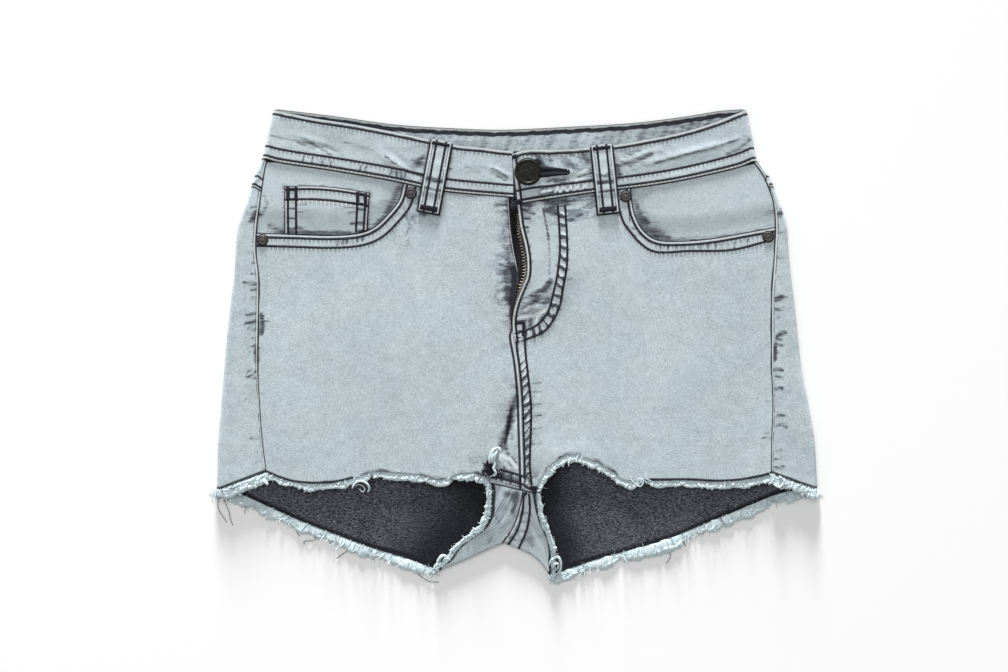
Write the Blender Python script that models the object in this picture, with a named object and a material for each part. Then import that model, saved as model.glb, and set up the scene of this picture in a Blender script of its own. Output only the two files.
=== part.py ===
"""Cut-off denim shorts lying flat with the front up.

The waist points to +Y and the front faces +Z. Right and left are the wearer's, so the right leg is at -X.
The back panels lie on the ground, wrap round the sides and fold forward at the crotch; the front panels
lie on them. Each sheet of cloth is a grid of points on its outer face, thickened inwards. Tables and
sizes are in millimetres and are turned into metres where the meshes are made.
"""
from math import cos, exp, pi, radians, sin

import bmesh
import bpy
from mathutils import Vector

MM = 0.001

# Cloth and how it lies
CLOTH = 1.2          # wall of every panel
BAND_CLOTH = 2.2     # waistband, two doubled layers
LOOP_CLOTH = 1.4     # belt loop, folded strip
SHIELD_CLOTH = 1.0
TAPE_CLOTH = 0.8
LAY = 5.2            # outer face of the front above the ground
BAND_PROUD = 0.5     # the waistband stands above the panels sewn into it
CROTCH_FOLD = 3.3    # outer height of the fold at the crotch
REST_GAP = 0.35      # between a piece and what it lies on
SEAM_HALF = 0.2      # each piece stops this far short of its seam line
ARC_STEPS = 4        # facets round a fold

# Fly
FLY_RISE = 1.7       # left fly edge above the right one
FLY_FLAT = 26.0      # width of the raised fly
FLY_SLOPE = 20.0     # width over which it comes down
ZIP_FOOT_Y = 4.0     # lower end of the fly
FLY_SLOPE_Y = 60.0   # length over which it gains its height
FLY_TOP_Y = {1: 103.6, -1: 108.8}        # where each fly edge meets the waistband
UNDERLAP_X = 13.5    # hidden right end of the waistband
UNDERLAP_DIP = 0.9   # it sinks by this much to pass under the left end
UNDERLAP_SLOPE_X = -40.0
UNDERLAP_SLOPE = 34.0
TAPE_HALF = 12.0
TAPE_TOP_Y = 101.5
TAPE_FOOT_Y = 9.0
TAPE_LIFT = 0.6      # share of the fly's rise that the tape follows
TAPE_SLOPE = 14.0
SHIELD_X = (-15.0, 26.0)
SHIELD_FOOT_Y = 1.0

# Pocket facings
FACING_UNDER = 11.0  # how far the facing runs under the front panel
FACING_RISE = 1.1    # it lies lowest at the pocket mouth and comes up to its own seams
FACING_LOW = 3.0     # width at the mouth that stays low
FACING_RAMP = 18.0   # width over which it comes up

# Side seams, by side: +1 left, -1 right
SEAM_TOP_Y = {1: 134.6, -1: 135.8}       # at the waistband
SEAM_YOKE_Y = 113.4                      # at the yoke seam
SEAM_HEM_Y = {1: -96.0, -1: -94.8}       # at the hem

# Fringe
FRINGE_PITCH = 4.15
FRINGE_STRIP = 1.6
FRINGE_THICK = 0.8
FRINGE_GAP = 0.6
LOCK_LENGTH = 4.9
LOCK_TIP = 0.45      # width of a lock's tip beside its root
FRINGE_START = 2.2   # bare length at the side seam
FRINGE_END = {"back": 4.5, "front": 4.0}  # bare length at the inseam

# Side folds and the side seams that lie on the front.
# columns: y, right fold x, right seam x, left fold x, left seam x
SIDES = [
    (136.2, -189.4, -185.6, 178.2, 174.4),
    (124.0, -194.5, -187.9, 187.0, 183.0),
    (106.0, -200.4, -190.4, 193.9, 189.9),
    (88.0, -206.5, -192.8, 199.8, 191.7),
    (70.0, -208.3, -193.7, 200.9, 191.0),
    (52.0, -209.4, -191.7, 202.8, 189.8),
    (35.0, -211.6, -191.4, 205.0, 188.8),
    (8.0, -214.6, -191.9, 207.9, 188.7),
    (-18.0, -216.8, -192.2, 210.9, 188.8),
    (-45.0, -219.0, -190.8, 216.1, 189.8),
    (-72.0, -221.3, -188.8, 220.5, 188.9),
    (-98.0, -222.0, -185.4, 222.0, 188.7),
    (-107.5, -222.6, -184.5, 222.4, 188.8),
]

# Centre front: the free fly edges, which meet in the seam below the zip.
# columns: y, right edge x, left edge x
CENTRE_FRONT = [
    (109.0, -6.4, -0.8),
    (103.0, -6.2, 0.2),
    (87.3, -5.1, 2.2),
    (74.0, -3.4, 5.5),
    (61.4, -1.0, 7.4),
    (49.6, 1.0, 7.0),
    (41.4, 0.6, 3.7),
    (29.6, -2.3, -1.0),
    (17.8, -3.7, -3.4),
    (3.7, -2.6, -2.4),
    (-14.8, 0.6, 0.6),
    (-40.0, 2.9, 2.9),
    (-61.4, 3.6, 3.6),
    (-85.0, 4.4, 4.4),
    (-108.4, 5.0, 5.0),
]

# Soft ridges and troughs in the lay of the front.
# columns: name, x, y, half length, half width, turn in degrees, rise
FOLDS = [
    ("right leg swell", -95.0, 0.0, 95.0, 70.0, 90.0, 0.5),
    ("left leg swell", 98.0, 0.0, 95.0, 70.0, 90.0, 0.5),
    ("left hem lift", 40.0, -84.0, 26.0, 14.0, 0.0, 0.8),
    ("crotch drag line", -6.0, -62.0, 22.0, 5.0, 72.0, -0.8),
    ("fly foot pucker", 16.0, 36.0, 16.0, 5.0, 50.0, 0.5),
    ("right band crease", -90.0, 133.0, 14.0, 4.0, -36.0, 0.4),
    ("right band trough", -140.0, 147.0, 30.0, 6.0, -14.0, -0.35),
    ("left band crease", 132.0, 141.0, 38.0, 4.5, 15.0, 0.4),
    ("left band trough", 120.0, 131.0, 30.0, 4.5, 14.0, -0.3),
]

# Seams and edges, each a smooth line through its points
BAND_TOP_RIGHT = [(UNDERLAP_X, 144.0), (-3.7, 142.8), (-25.0, 145.2), (-47.4, 147.6), (-83.6, 155.4),
                  (-119.9, 162.3), (-150.0, 167.0), (-177.8, 172.6)]
BAND_FOOT_RIGHT = [(UNDERLAP_X, 107.4), (-3.7, 108.8), (-54.8, 113.4), (-94.0, 121.4), (-137.6, 128.8),
                   (-173.9, 134.2), (-185.9, 137.2)]
BAND_TOP_LEFT = [(-4.0, 140.2), (7.0, 143.6), (26.6, 143.6), (49.6, 145.0), (74.7, 147.6), (96.2, 151.3),
                 (119.9, 156.1), (142.8, 162.8), (167.4, 172.4)]
BAND_FOOT_LEFT = [(0.4, 103.6), (18.5, 106.6), (56.2, 112.3), (96.2, 117.2), (119.9, 121.0), (142.8, 125.8),
                  (163.5, 130.8), (174.8, 135.2)]
BAND_TOP_BACK = [(-177.8, 173.9), (-134.7, 168.7), (-90.0, 162.6), (-45.9, 159.8), (-8.9, 158.8),
                 (40.0, 161.0), (87.3, 163.9), (125.0, 168.6), (150.0, 172.6), (167.4, 173.9)]
BAND_FOOT_BACK = [(-185.9, 137.2), (-134.0, 132.6), (-75.0, 126.2), (-8.9, 123.2), (57.7, 126.0),
                  (116.9, 131.2), (174.8, 135.2)]
YOKE_SEAM = [(-197.0, 116.4), (-138.4, 102.1), (-71.8, 86.2), (-8.0, 77.0), (57.7, 86.2), (128.0, 102.1),
             (190.4, 116.4)]
CENTRE_BACK = [(-8.9, 123.2), (-8.0, 77.0), (-8.4, -30.0), (-9.6, -147.6)]
POCKET_MOUTH_RIGHT = [(-193.2, 81.6), (-166.5, 80.8), (-137.6, 80.0), (-116.9, 81.6), (-104.7, 86.6),
                      (-94.0, 97.0), (-86.8, 106.6), (-83.6, 118.6)]
POCKET_MOUTH_LEFT = [(191.7, 86.0), (166.5, 81.4), (143.2, 77.4), (119.9, 75.6), (103.5, 76.6), (93.2, 83.6),
                     (87.1, 94.7), (84.6, 106.0), (83.6, 115.8)]
FRONT_HEM_RIGHT = [(-185.6, -94.8), (-174.6, -99.4), (-163.5, -102.4), (-148.0, -103.4), (-134.0, -102.4),
                   (-121.4, -99.4), (-105.0, -94.6), (-89.5, -95.0), (-74.7, -96.2), (-58.0, -100.2),
                   (-44.0, -96.2), (-34.0, -95.2), (-21.6, -98.6)]
FRONT_HEM_LEFT = [(188.7, -96.0), (179.1, -98.6), (162.8, -101.2), (145.8, -101.9), (125.0, -100.8),
                  (98.4, -101.2), (80.0, -100.4), (71.8, -95.0), (60.0, -87.6), (50.3, -83.6), (40.0, -81.2),
                  (30.3, -85.4), (22.2, -92.0), (15.0, -102.6)]
INSEAM_RIGHT = [(-19.6, -102.6), (-8.9, -105.0), (4.8, -108.4)]
INSEAM_LEFT = [(14.2, -109.8), (9.6, -109.4), (4.8, -108.4)]
CENTRE_BACK_FLAP = [(-9.6, -147.6), (-1.5, -133.2), (3.0, -118.0), (4.8, -108.4)]
CROTCH_FOLD_RIGHT = [(-9.6, -147.6), (-20.0, -152.0), (-40.0, -161.0), (-57.8, -168.2)]
CROTCH_FOLD_LEFT = [(-9.6, -147.6), (0.0, -151.6), (8.0, -155.2), (15.4, -160.4), (24.4, -171.6)]
FLAP_HEM_RIGHT = [(-57.8, -168.2), (-51.0, -161.6), (-41.4, -149.6), (-26.0, -138.6), (-20.4, -128.0),
                  (-18.8, -114.0), (-19.6, -102.6)]
FLAP_HEM_LEFT = [(24.4, -171.6), (25.4, -158.0), (24.0, -147.0), (20.7, -139.1), (16.3, -127.0),
                 (14.2, -109.8)]
BACK_HEM_RIGHT = [(-57.8, -168.2), (-79.2, -159.8), (-108.0, -151.0), (-135.0, -141.0), (-159.1, -131.7),
                  (-182.0, -121.6), (-202.0, -112.6), (-219.8, -107.5)]
BACK_HEM_LEFT = [(24.4, -171.6), (37.7, -167.2), (60.0, -159.4), (88.1, -151.7), (113.2, -144.0),
                 (140.0, -133.0), (167.2, -122.0), (196.0, -110.6), (219.8, -107.0)]
COIN_TOP = [(-171.6, 116.2), (-151.0, 116.6), (-131.0, 115.0), (-109.4, 111.4)]
COIN_FOOT = [(-171.6, 81.8), (-151.0, 81.2), (-131.0, 80.6), (-111.4, 84.4)]

# Hardware
BUTTON_SPOT = (8.1, 127.3)
BUTTON_RADIUS = 9.4
SHANK_RADIUS = 3.0
EYE_RADIUS = 3.6
SLIT_LENGTH = 29.0
RIVET_RADIUS = 3.7
RIVETS = {
    "rivet_right_top": (-78.4, 111.6),
    "rivet_right_side": (-188.4, 76.9),
    "rivet_left_top": (80.6, 109.2),
    "rivet_left_side": (185.9, 79.4),
}
LOOP_WIDTH = 15.4
LOOP_STEP_START = 2.0   # below the waistband a loop steps down to the panel
LOOP_STEP_RUN = 5.0
# columns: name, top x, top y, foot x, foot y
LOOPS = [
    ("belt_loop_right", -55.6, 150.4, -65.6, 97.4),
    ("belt_loop_left", 62.4, 147.6, 67.8, 96.8),
]

SLIDER_SPOT = (-2.2, 95.0)
SLIDER_BODY = (2.5, 1.6, 4.6, -4.6, 0.0, 2.0)
SLIDER_PULL = (1.3, 1.6, -2.2, -13.0, 1.2, 2.5)
SLIDER_EDGE = 0.25

# Finishes: colour, roughness, metallic
DENIM = ((0.50, 0.57, 0.61), 0.85, 0.0)
DENIM_DARK = ((0.05, 0.055, 0.07), 0.9, 0.0)
FRAY = ((0.62, 0.73, 0.76), 0.9, 0.0)
TAPE = ((0.02, 0.02, 0.024), 0.8, 0.0)
GUNMETAL = ((0.10, 0.095, 0.09), 0.4, 0.9)


# ---------------------------------------------------------------- lines and grids

def soft_step(t):
    t = min(max(t, 0.0), 1.0)
    return t * t * (3.0 - 2.0 * t)


def mix(a, b, t):
    return a + (b - a) * t


def bend(points, steps=8):
    """A Catmull-Rom curve through the points, as a fine chain."""
    spots = [Vector(p) for p in points]
    padded = [spots[0] * 2 - spots[1]] + spots + [spots[-1] * 2 - spots[-2]]
    chain = []
    for a, b, c, d in zip(padded, padded[1:], padded[2:], padded[3:]):
        for k in range(steps):
            t = k / steps
            chain.append(0.5 * (2 * b + (c - a) * t + (2 * a - 5 * b + 4 * c - d) * t * t
                                + (3 * b - a - 3 * c + d) * t ** 3))
    chain.append(spots[-1])
    return chain


def walk(chain, shares):
    """Points at the given shares of a chain's length."""
    run = [0.0]
    for a, b in zip(chain, chain[1:]):
        run.append(run[-1] + (b - a).length)
    found = []
    k = 0
    for share in shares:
        goal = share * run[-1]
        while k < len(run) - 2 and run[k + 1] < goal:
            k += 1
        part = (goal - run[k]) / max(run[k + 1] - run[k], 1e-9)
        found.append(chain[k].lerp(chain[k + 1], part))
    return found


def even(count):
    return [k / count for k in range(count + 1)]


def line(points, count):
    return walk(bend(points), even(count))


def column(table, index, y):
    """Read a column of a table whose rows go down in y, smoothly."""
    chain = bend([(row[0], row[index]) for row in table], 6)
    for a, b in zip(chain, chain[1:]):
        if a.x >= y >= b.x:
            return mix(a.y, b.y, (a.x - y) / max(a.x - b.x, 1e-9))
    return chain[0].y if y > chain[0].x else chain[-1].y


def down_column(table, index, y_top, y_foot, count):
    levels = [mix(y_top, y_foot, t) for t in even(count)]
    return [Vector((column(table, index, y), y)) for y in levels]


def patch(top, foot, start, end):
    """Fill four boundary lines with a grid of points, grid[i][j], i along the top."""
    wide = len(top) - 1
    tall = len(start) - 1
    grid = []
    for i in range(wide + 1):
        u = i / wide
        rank = []
        for j in range(tall + 1):
            v = j / tall
            across = top[i].lerp(foot[i], v)
            along = start[j].lerp(end[j], u)
            corners = top[0].lerp(top[-1], u).lerp(foot[0].lerp(foot[-1], u), v)
            rank.append(across + along - corners)
        grid.append(rank)
    return grid


def outward_of(spots, inner):
    """Directions in the sheet, square to an edge and away from the points inside it."""
    ways = []
    for k, spot in enumerate(spots):
        run = (spots[min(k + 1, len(spots) - 1)] - spots[max(k - 1, 0)]).normalized()
        out = spot - inner[k]
        out -= run * out.dot(run)
        ways.append(out.normalized())
    return ways


def draw_back(points, edge, inner, gap=SEAM_HALF):
    """Stop a sheet short of a seam line, at the same height."""
    ways = outward_of([points[key] for key in edge], [points[key] for key in inner])
    for key, way in zip(edge, ways):
        points[key] = points[key] - Vector((way.x, way.y, 0.0)) * gap


# ---------------------------------------------------------------- how the front lies

def lay(x, y):
    height = LAY
    for _, at_x, at_y, half_long, half_wide, turn, rise in FOLDS:
        c = cos(radians(turn))
        s = sin(radians(turn))
        along = ((x - at_x) * c + (y - at_y) * s) / half_long
        across = ((y - at_y) * c - (x - at_x) * s) / half_wide
        height += rise * exp(-along * along - across * across)
    return height


def fly_gain(y):
    return soft_step((y - ZIP_FOOT_Y) / FLY_SLOPE_Y)


def fly_rise(x, y):
    from_edge = x - column(CENTRE_FRONT, 2, y)
    return FLY_RISE * fly_gain(y) * soft_step((FLY_FLAT + FLY_SLOPE - from_edge) / FLY_SLOPE)


def front_height(x, y, side):
    if side > 0:
        return lay(x, y) + fly_rise(x, y)
    return lay(x, y)


def level_at(chain, x):
    """The y of a line that runs across the garment, at its point nearest to x."""
    return min(chain, key=lambda spot: abs(spot.x - x)).y


# ---------------------------------------------------------------- making objects

def finish(name, look):
    colour, roughness, metallic = look
    made = bpy.data.materials.new(name)
    made.use_nodes = True
    shader = made.node_tree.nodes["Principled BSDF"]
    shader.inputs["Base Color"].default_value = (*colour, 1.0)
    shader.inputs["Roughness"].default_value = roughness
    shader.inputs["Metallic"].default_value = metallic
    return made


def add_object(name, mesh, look):
    mesh.materials.append(finish(name, look))
    made = bpy.data.objects.new(name, mesh)
    bpy.context.scene.collection.objects.link(made)
    return made


def solid(name, verts, faces, look):
    """A closed mesh from points in millimetres."""
    mesh = bpy.data.meshes.new(name)
    mesh.from_pydata([Vector(v) * MM for v in verts], [], faces)
    shape = bmesh.new()
    shape.from_mesh(mesh)
    bmesh.ops.recalc_face_normals(shape, faces=shape.faces)
    shape.to_mesh(mesh)
    shape.free()
    return add_object(name, mesh, look)


def sheet(name, points, cells, facing, thickness, look):
    """Cloth from its outer face: cells are (i, j) squares of the points, facing is +1 up or -1 down."""
    keys = list(points)
    number = {key: n for n, key in enumerate(keys)}
    faces = []
    for i, j in cells:
        faces.append([number[i, j], number[i, j + 1], number[i + 1, j + 1], number[i + 1, j]])
    first = [points[keys[n]] for n in faces[0]]
    if (first[1] - first[0]).cross(first[2] - first[1]).z * facing < 0:
        faces = [face[::-1] for face in faces]
    mesh = bpy.data.meshes.new(name)
    mesh.from_pydata([points[key] * MM for key in keys], [], faces)
    made = add_object(name, mesh, look)
    wall = made.modifiers.new("wall", "SOLIDIFY")
    wall.thickness = thickness * MM
    wall.offset = -1.0
    wall.use_even_offset = True
    wall.use_quality_normals = True
    return made


def block(i_from, i_to, j_from, j_to):
    return [(i, j) for i in range(i_from, i_to) for j in range(j_from, j_to)]


def raise_grid(grid, height):
    """Lift a flat grid to a height function and key it by (i, j)."""
    return {(i, j): Vector((p.x, p.y, height(p.x, p.y)))
            for i, rank in enumerate(grid) for j, p in enumerate(rank)}


# ---------------------------------------------------------------- folds

def fold_over(spot, out, height, steps=ARC_STEPS):
    """Points round a fold whose outer edge is at spot, from the ground up to the height."""
    radius = height / 2
    ring = []
    for k in range(steps + 1):
        turn = -pi / 2 + pi * k / steps
        flat = spot - out * (radius - radius * cos(turn))
        ring.append(Vector((flat.x, flat.y, radius + radius * sin(turn))))
    return ring


def wrap_side(points, edge, seam, side, first, strip):
    """Carry each row of a back piece round the side and over the front to the side seam."""
    out = Vector((side, 0.0))
    for j, (spot, end) in enumerate(zip(edge, seam)):
        height = lay(spot.x, spot.y)
        ring = fold_over(spot, out, height)
        for k, point in enumerate(ring):
            points[first + k, j] = point
        start = Vector((ring[-1].x, ring[-1].y))
        for k in range(1, strip + 1):
            flat = start.lerp(end, k / strip)
            points[first + ARC_STEPS + k, j] = Vector((flat.x, flat.y, lay(flat.x, flat.y)))


def side_name(side):
    return "left" if side > 0 else "right"


def side_columns(side):
    return (3, 4) if side > 0 else (1, 2)


# ---------------------------------------------------------------- back

def half_line(points, side, count):
    """The part of a line that lies on one side of its middle point, from the middle outwards."""
    middle_x = points[len(points) // 2][0]
    half = [p for p in bend(points) if (p.x - middle_x) * side > -1e-4]
    if side < 0:
        half = half[::-1]
    return walk(half, even(count))


def inset_fold(points, radius, side):
    """Each point of the crotch fold with its outward direction and its place drawn in by the radius."""
    moved = []
    for k, spot in enumerate(points):
        run = points[min(k + 1, len(points) - 1)] - points[max(k - 1, 0)]
        out = Vector((-run.y, run.x)).normalized() * -side
        moved.append((spot, out, spot - out * radius))
    return moved


def back_panel(side):
    fold_index, seam_index = side_columns(side)
    crotch_steps, hem_steps, rows, strip, flap_rows = 6, 13, 13, 2, 5
    wide = crotch_steps + hem_steps
    crotch = line(CROTCH_FOLD_LEFT if side > 0 else CROTCH_FOLD_RIGHT, crotch_steps)
    hem = line(BACK_HEM_LEFT if side > 0 else BACK_HEM_RIGHT, hem_steps)
    turned = inset_fold(crotch, CROTCH_FOLD / 2, side)
    foot = [inner for _, _, inner in turned] + hem[1:]
    top = half_line(YOKE_SEAM, side, wide)
    start = line(CENTRE_BACK[1:], rows)
    start[-1] = foot[0]
    side_edge = down_column(SIDES, fold_index, top[-1].y, hem[-1].y, rows)
    end = [p - Vector((side * LAY / 2, 0.0)) for p in side_edge]
    top[-1] = end[0]
    foot[-1] = end[-1]
    grid = patch(top, foot, start, end)
    points = raise_grid(grid, lambda x, y: 0.0)
    seam = down_column(SIDES, seam_index, SEAM_YOKE_Y, SEAM_HEM_Y[side], rows)
    wrap_side(points, side_edge, seam, side, wide, strip)

    flap_hem = line(FLAP_HEM_LEFT if side > 0 else FLAP_HEM_RIGHT, flap_rows)
    flap_centre = line(CENTRE_BACK_FLAP, flap_rows)
    inseam = line((INSEAM_LEFT if side > 0 else INSEAM_RIGHT)[::-1], crotch_steps)
    base = []
    for i, (spot, out, _) in enumerate(turned):
        ring = fold_over(spot, out, CROTCH_FOLD)
        for k, point in enumerate(ring):
            points[i, rows + k] = point
        base.append(Vector((ring[-1].x, ring[-1].y)))
    flap_centre[0] = base[0]
    flap_hem[0] = base[-1]
    flap = patch(base, inseam, flap_centre, flap_hem)
    for i, rank in enumerate(flap):
        for k, p in enumerate(rank[1:], 1):
            height = mix(CROTCH_FOLD, front_height(p.x, p.y, side), soft_step(k / flap_rows))
            points[i, rows + ARC_STEPS + k] = Vector((p.x, p.y, height))

    last_i = wide + ARC_STEPS + strip
    last_j = rows + ARC_STEPS + flap_rows
    draw_back(points, [(i, 0) for i in range(last_i + 1)], [(i, 1) for i in range(last_i + 1)])
    draw_back(points, [(0, j) for j in range(last_j + 1)], [(1, j) for j in range(last_j + 1)])
    draw_back(points, [(last_i, j) for j in range(rows + 1)], [(last_i - 1, j) for j in range(rows + 1)])
    draw_back(points, [(i, last_j) for i in range(crotch_steps + 1)],
              [(i, last_j - 1) for i in range(crotch_steps + 1)])
    cells = block(0, last_i, 0, rows) + block(0, crotch_steps, rows, last_j)
    sheet("back_panel_" + side_name(side), points, cells, -1, CLOTH, DENIM)

    around = [(i, rows) for i in range(last_i, crotch_steps, -1)]
    around += [(crotch_steps, j) for j in range(rows, last_j + 1)]
    inside = [(i, rows - 1) for i in range(last_i, crotch_steps, -1)]
    inside += [(crotch_steps + 1, rows - 1)] + [(crotch_steps - 1, j) for j in range(rows + 1, last_j + 1)]
    frayed_edge("fringe_back_" + side_name(side), points, around, inside, FRINGE_END["back"])


def back_yoke(side):
    fold_index, seam_index = side_columns(side)
    wide, rows, strip = 14, 3, 2
    top = half_line(BAND_FOOT_BACK, side, wide)
    foot = half_line(YOKE_SEAM, side, wide)
    start = line(CENTRE_BACK[:2], rows)
    side_edge = down_column(SIDES, fold_index, top[-1].y, foot[-1].y, rows)
    end = [p - Vector((side * LAY / 2, 0.0)) for p in side_edge]
    top[-1] = end[0]
    foot[-1] = end[-1]
    points = raise_grid(patch(top, foot, start, end), lambda x, y: 0.0)
    seam = down_column(SIDES, seam_index, SEAM_TOP_Y[side], SEAM_YOKE_Y, rows)
    wrap_side(points, side_edge, seam, side, wide, strip)
    last_i = wide + ARC_STEPS + strip
    draw_back(points, [(i, 0) for i in range(last_i + 1)], [(i, 1) for i in range(last_i + 1)])
    draw_back(points, [(i, rows) for i in range(last_i + 1)], [(i, rows - 1) for i in range(last_i + 1)])
    draw_back(points, [(0, j) for j in range(rows + 1)], [(1, j) for j in range(rows + 1)])
    draw_back(points, [(last_i, j) for j in range(rows + 1)], [(last_i - 1, j) for j in range(rows + 1)])
    sheet("back_yoke_" + side_name(side), points, block(0, last_i, 0, rows), -1, CLOTH, DENIM)


# ---------------------------------------------------------------- front

def cut_line(points, x_from, x_to, count):
    """The stretch of a line between two x places, from x_from to x_to."""
    chain = bend(points)
    low, high = min(x_from, x_to), max(x_from, x_to)
    kept = [p for p in chain if low < p.x < high]
    if (kept[-1].x - kept[0].x) * (x_to - x_from) < 0:
        kept = kept[::-1]
    lowest = min(p.x for p in chain)
    highest = max(p.x for p in chain)
    ends = []
    for wanted in (x_from, x_to):
        x = min(max(wanted, lowest), highest)
        for a, b in zip(chain, chain[1:]):
            if min(a.x, b.x) <= x <= max(a.x, b.x):
                ends.append(a.lerp(b, (x - a.x) / (b.x - a.x)))
                break
    return walk([ends[0]] + kept + [ends[-1]], even(count))


def front_panel(side):
    seam_index = side_columns(side)[1]
    edge_index = 2 if side > 0 else 1
    mouth_steps, band_steps, leg_steps, seam_steps, rows = 10, 6, 13, 3, 13
    mouth = line(POCKET_MOUTH_LEFT if side > 0 else POCKET_MOUTH_RIGHT, mouth_steps)
    band_foot = BAND_FOOT_LEFT if side > 0 else BAND_FOOT_RIGHT
    waist = cut_line(band_foot, mouth[-1].x, column(CENTRE_FRONT, edge_index, FLY_TOP_Y[side]), band_steps)
    top = mouth + waist[1:]
    inseam = line(INSEAM_LEFT if side > 0 else INSEAM_RIGHT, seam_steps)
    foot = line(FRONT_HEM_LEFT if side > 0 else FRONT_HEM_RIGHT, leg_steps) + inseam[1:]
    start = down_column(SIDES, seam_index, top[0].y, foot[0].y, rows)
    end = down_column(CENTRE_FRONT, edge_index, top[-1].y, foot[-1].y, rows)
    top[0], foot[0] = start[0], start[-1]
    top[-1], foot[-1] = end[0], end[-1]
    grid = patch(top, foot, start, end)
    points = raise_grid(grid, lambda x, y: front_height(x, y, side))
    wide = len(top) - 1
    draw_back(points, [(i, 0) for i in range(mouth_steps, wide + 1)],
              [(i, 1) for i in range(mouth_steps, wide + 1)])
    draw_back(points, [(0, j) for j in range(rows + 1)], [(1, j) for j in range(rows + 1)])
    draw_back(points, [(wide, j) for j in range(rows + 1)], [(wide - 1, j) for j in range(rows + 1)])
    draw_back(points, [(i, rows) for i in range(leg_steps, wide + 1)],
              [(i, rows - 1) for i in range(leg_steps, wide + 1)])
    sheet("front_panel_" + side_name(side), points, block(0, wide, 0, rows), 1, CLOTH, DENIM)
    around = [(i, rows) for i in range(leg_steps + 1)]
    inside = [(i, rows - 1) for i in range(leg_steps + 1)]
    frayed_edge("fringe_front_" + side_name(side), points, around, inside, FRINGE_END["front"])


def facing_height(side):
    """A height function for the facing, which lies low at the pocket mouth."""
    mouth = bend(POCKET_MOUTH_LEFT if side > 0 else POCKET_MOUTH_RIGHT)

    def height(x, y):
        clear = min(y - level_at(mouth, x), side * (x - mouth[-1].x))
        return lay(x, y) - CLOTH - REST_GAP + FACING_RISE * soft_step((clear - FACING_LOW) / FACING_RAMP)

    return height


def pocket_facing(side):
    seam_index = side_columns(side)[1]
    wide, rows = 12, 5
    mouth = bend(POCKET_MOUTH_LEFT if side > 0 else POCKET_MOUTH_RIGHT)
    lower = []
    for k, spot in enumerate(mouth):
        run = (mouth[min(k + 1, len(mouth) - 1)] - mouth[max(k - 1, 0)]).normalized()
        lower.append(spot + Vector((run.y, -run.x)) * -side * FACING_UNDER)
    lower = [p for p in lower if p.y < mouth[-1].y - 8.0]
    foot = walk(lower, even(wide))
    band_foot = BAND_FOOT_LEFT if side > 0 else BAND_FOOT_RIGHT
    start = down_column(SIDES, seam_index, SEAM_TOP_Y[side] - 0.4, foot[0].y, rows)
    top = cut_line(band_foot, start[0].x, foot[-1].x - side * 2.0, wide)
    foot[0] = start[-1]
    end = [top[-1].lerp(foot[-1], t) for t in even(rows)]
    start[0] = top[0]
    points = raise_grid(patch(top, foot, start, end), facing_height(side))
    draw_back(points, [(i, 0) for i in range(wide + 1)], [(i, 1) for i in range(wide + 1)])
    draw_back(points, [(0, j) for j in range(rows + 1)], [(1, j) for j in range(rows + 1)])
    sheet("pocket_facing_" + side_name(side), points, block(0, wide, 0, rows), 1, CLOTH, DENIM)


def coin_pocket():
    wide, rows = 6, 4
    facing = facing_height(-1)
    rise = REST_GAP + CLOTH
    top = line(COIN_TOP, wide)
    foot = line(COIN_FOOT, wide)
    start = [top[0].lerp(foot[0], t) for t in even(rows)]
    end = [top[-1].lerp(foot[-1], t) for t in even(rows)]
    points = raise_grid(patch(top, foot, start, end), lambda x, y: facing(x, y) + rise)
    sheet("coin_pocket", points, block(0, wide, 0, rows), 1, CLOTH, DENIM)


# ---------------------------------------------------------------- waistband and loops

def band_height(x, y, side):
    if side > 0:
        return lay(x, y) + BAND_PROUD + fly_rise(x, y)
    return lay(x, y) + BAND_PROUD - UNDERLAP_DIP * soft_step((x - UNDERLAP_SLOPE_X) / UNDERLAP_SLOPE)


def waistband():
    """One band: from the hidden right end round both sides and the back to the left end on top."""
    rows = 3
    pairs = []
    right_top = line(BAND_TOP_RIGHT, 13)
    right_foot = line(BAND_FOOT_RIGHT, 13)
    back_top = line(BAND_TOP_BACK, 14)
    back_foot = line(BAND_FOOT_BACK, 14)
    left_top = line(BAND_TOP_LEFT[::-1], 15)
    left_foot = line(BAND_FOOT_LEFT[::-1], 15)
    points = {}

    def station(i, top, foot, heights):
        for j in range(rows + 1):
            flat = top.lerp(foot, j / rows)
            points[i, j] = Vector((flat.x, flat.y, heights(flat.x, flat.y)))

    def turn(i, top_in, foot_in, top_out, foot_out, side, upwards):
        for k in range(1, ARC_STEPS):
            for j in range(rows + 1):
                flat = top_in.lerp(foot_in, j / rows).lerp(top_out.lerp(foot_out, j / rows), 0.5)
                radius = band_height(flat.x, flat.y, side) / 2
                angle = pi * k / ARC_STEPS - pi / 2
                height = radius + radius * sin(angle)
                points[i + k - 1, j] = Vector((flat.x + side * radius * cos(angle), flat.y,
                                               height if upwards else 2 * radius - height))

    i = 0
    for top, foot in zip(right_top, right_foot):
        station(i, top, foot, lambda x, y: band_height(x, y, -1))
        i += 1
    turn(i, right_top[-1], right_foot[-1], back_top[0], back_foot[0], -1, False)
    i += ARC_STEPS - 1
    for top, foot in zip(back_top, back_foot):
        station(i, top, foot, lambda x, y: 0.0)
        i += 1
    turn(i, back_top[-1], back_foot[-1], left_top[0], left_foot[0], 1, True)
    i += ARC_STEPS - 1
    for top, foot in zip(left_top, left_foot):
        station(i, top, foot, lambda x, y: band_height(x, y, 1))
        i += 1
    last = i - 1
    draw_back(points, [(i, rows) for i in range(last + 1)], [(i, rows - 1) for i in range(last + 1)])
    made = sheet("waistband", points, block(0, last, 0, rows), 1, BAND_CLOTH, DENIM)
    cut = made.modifiers.new("buttonhole", "BOOLEAN")
    cut.operation = "DIFFERENCE"
    cut.solver = "EXACT"
    cut.object = buttonhole_cutter()


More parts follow.
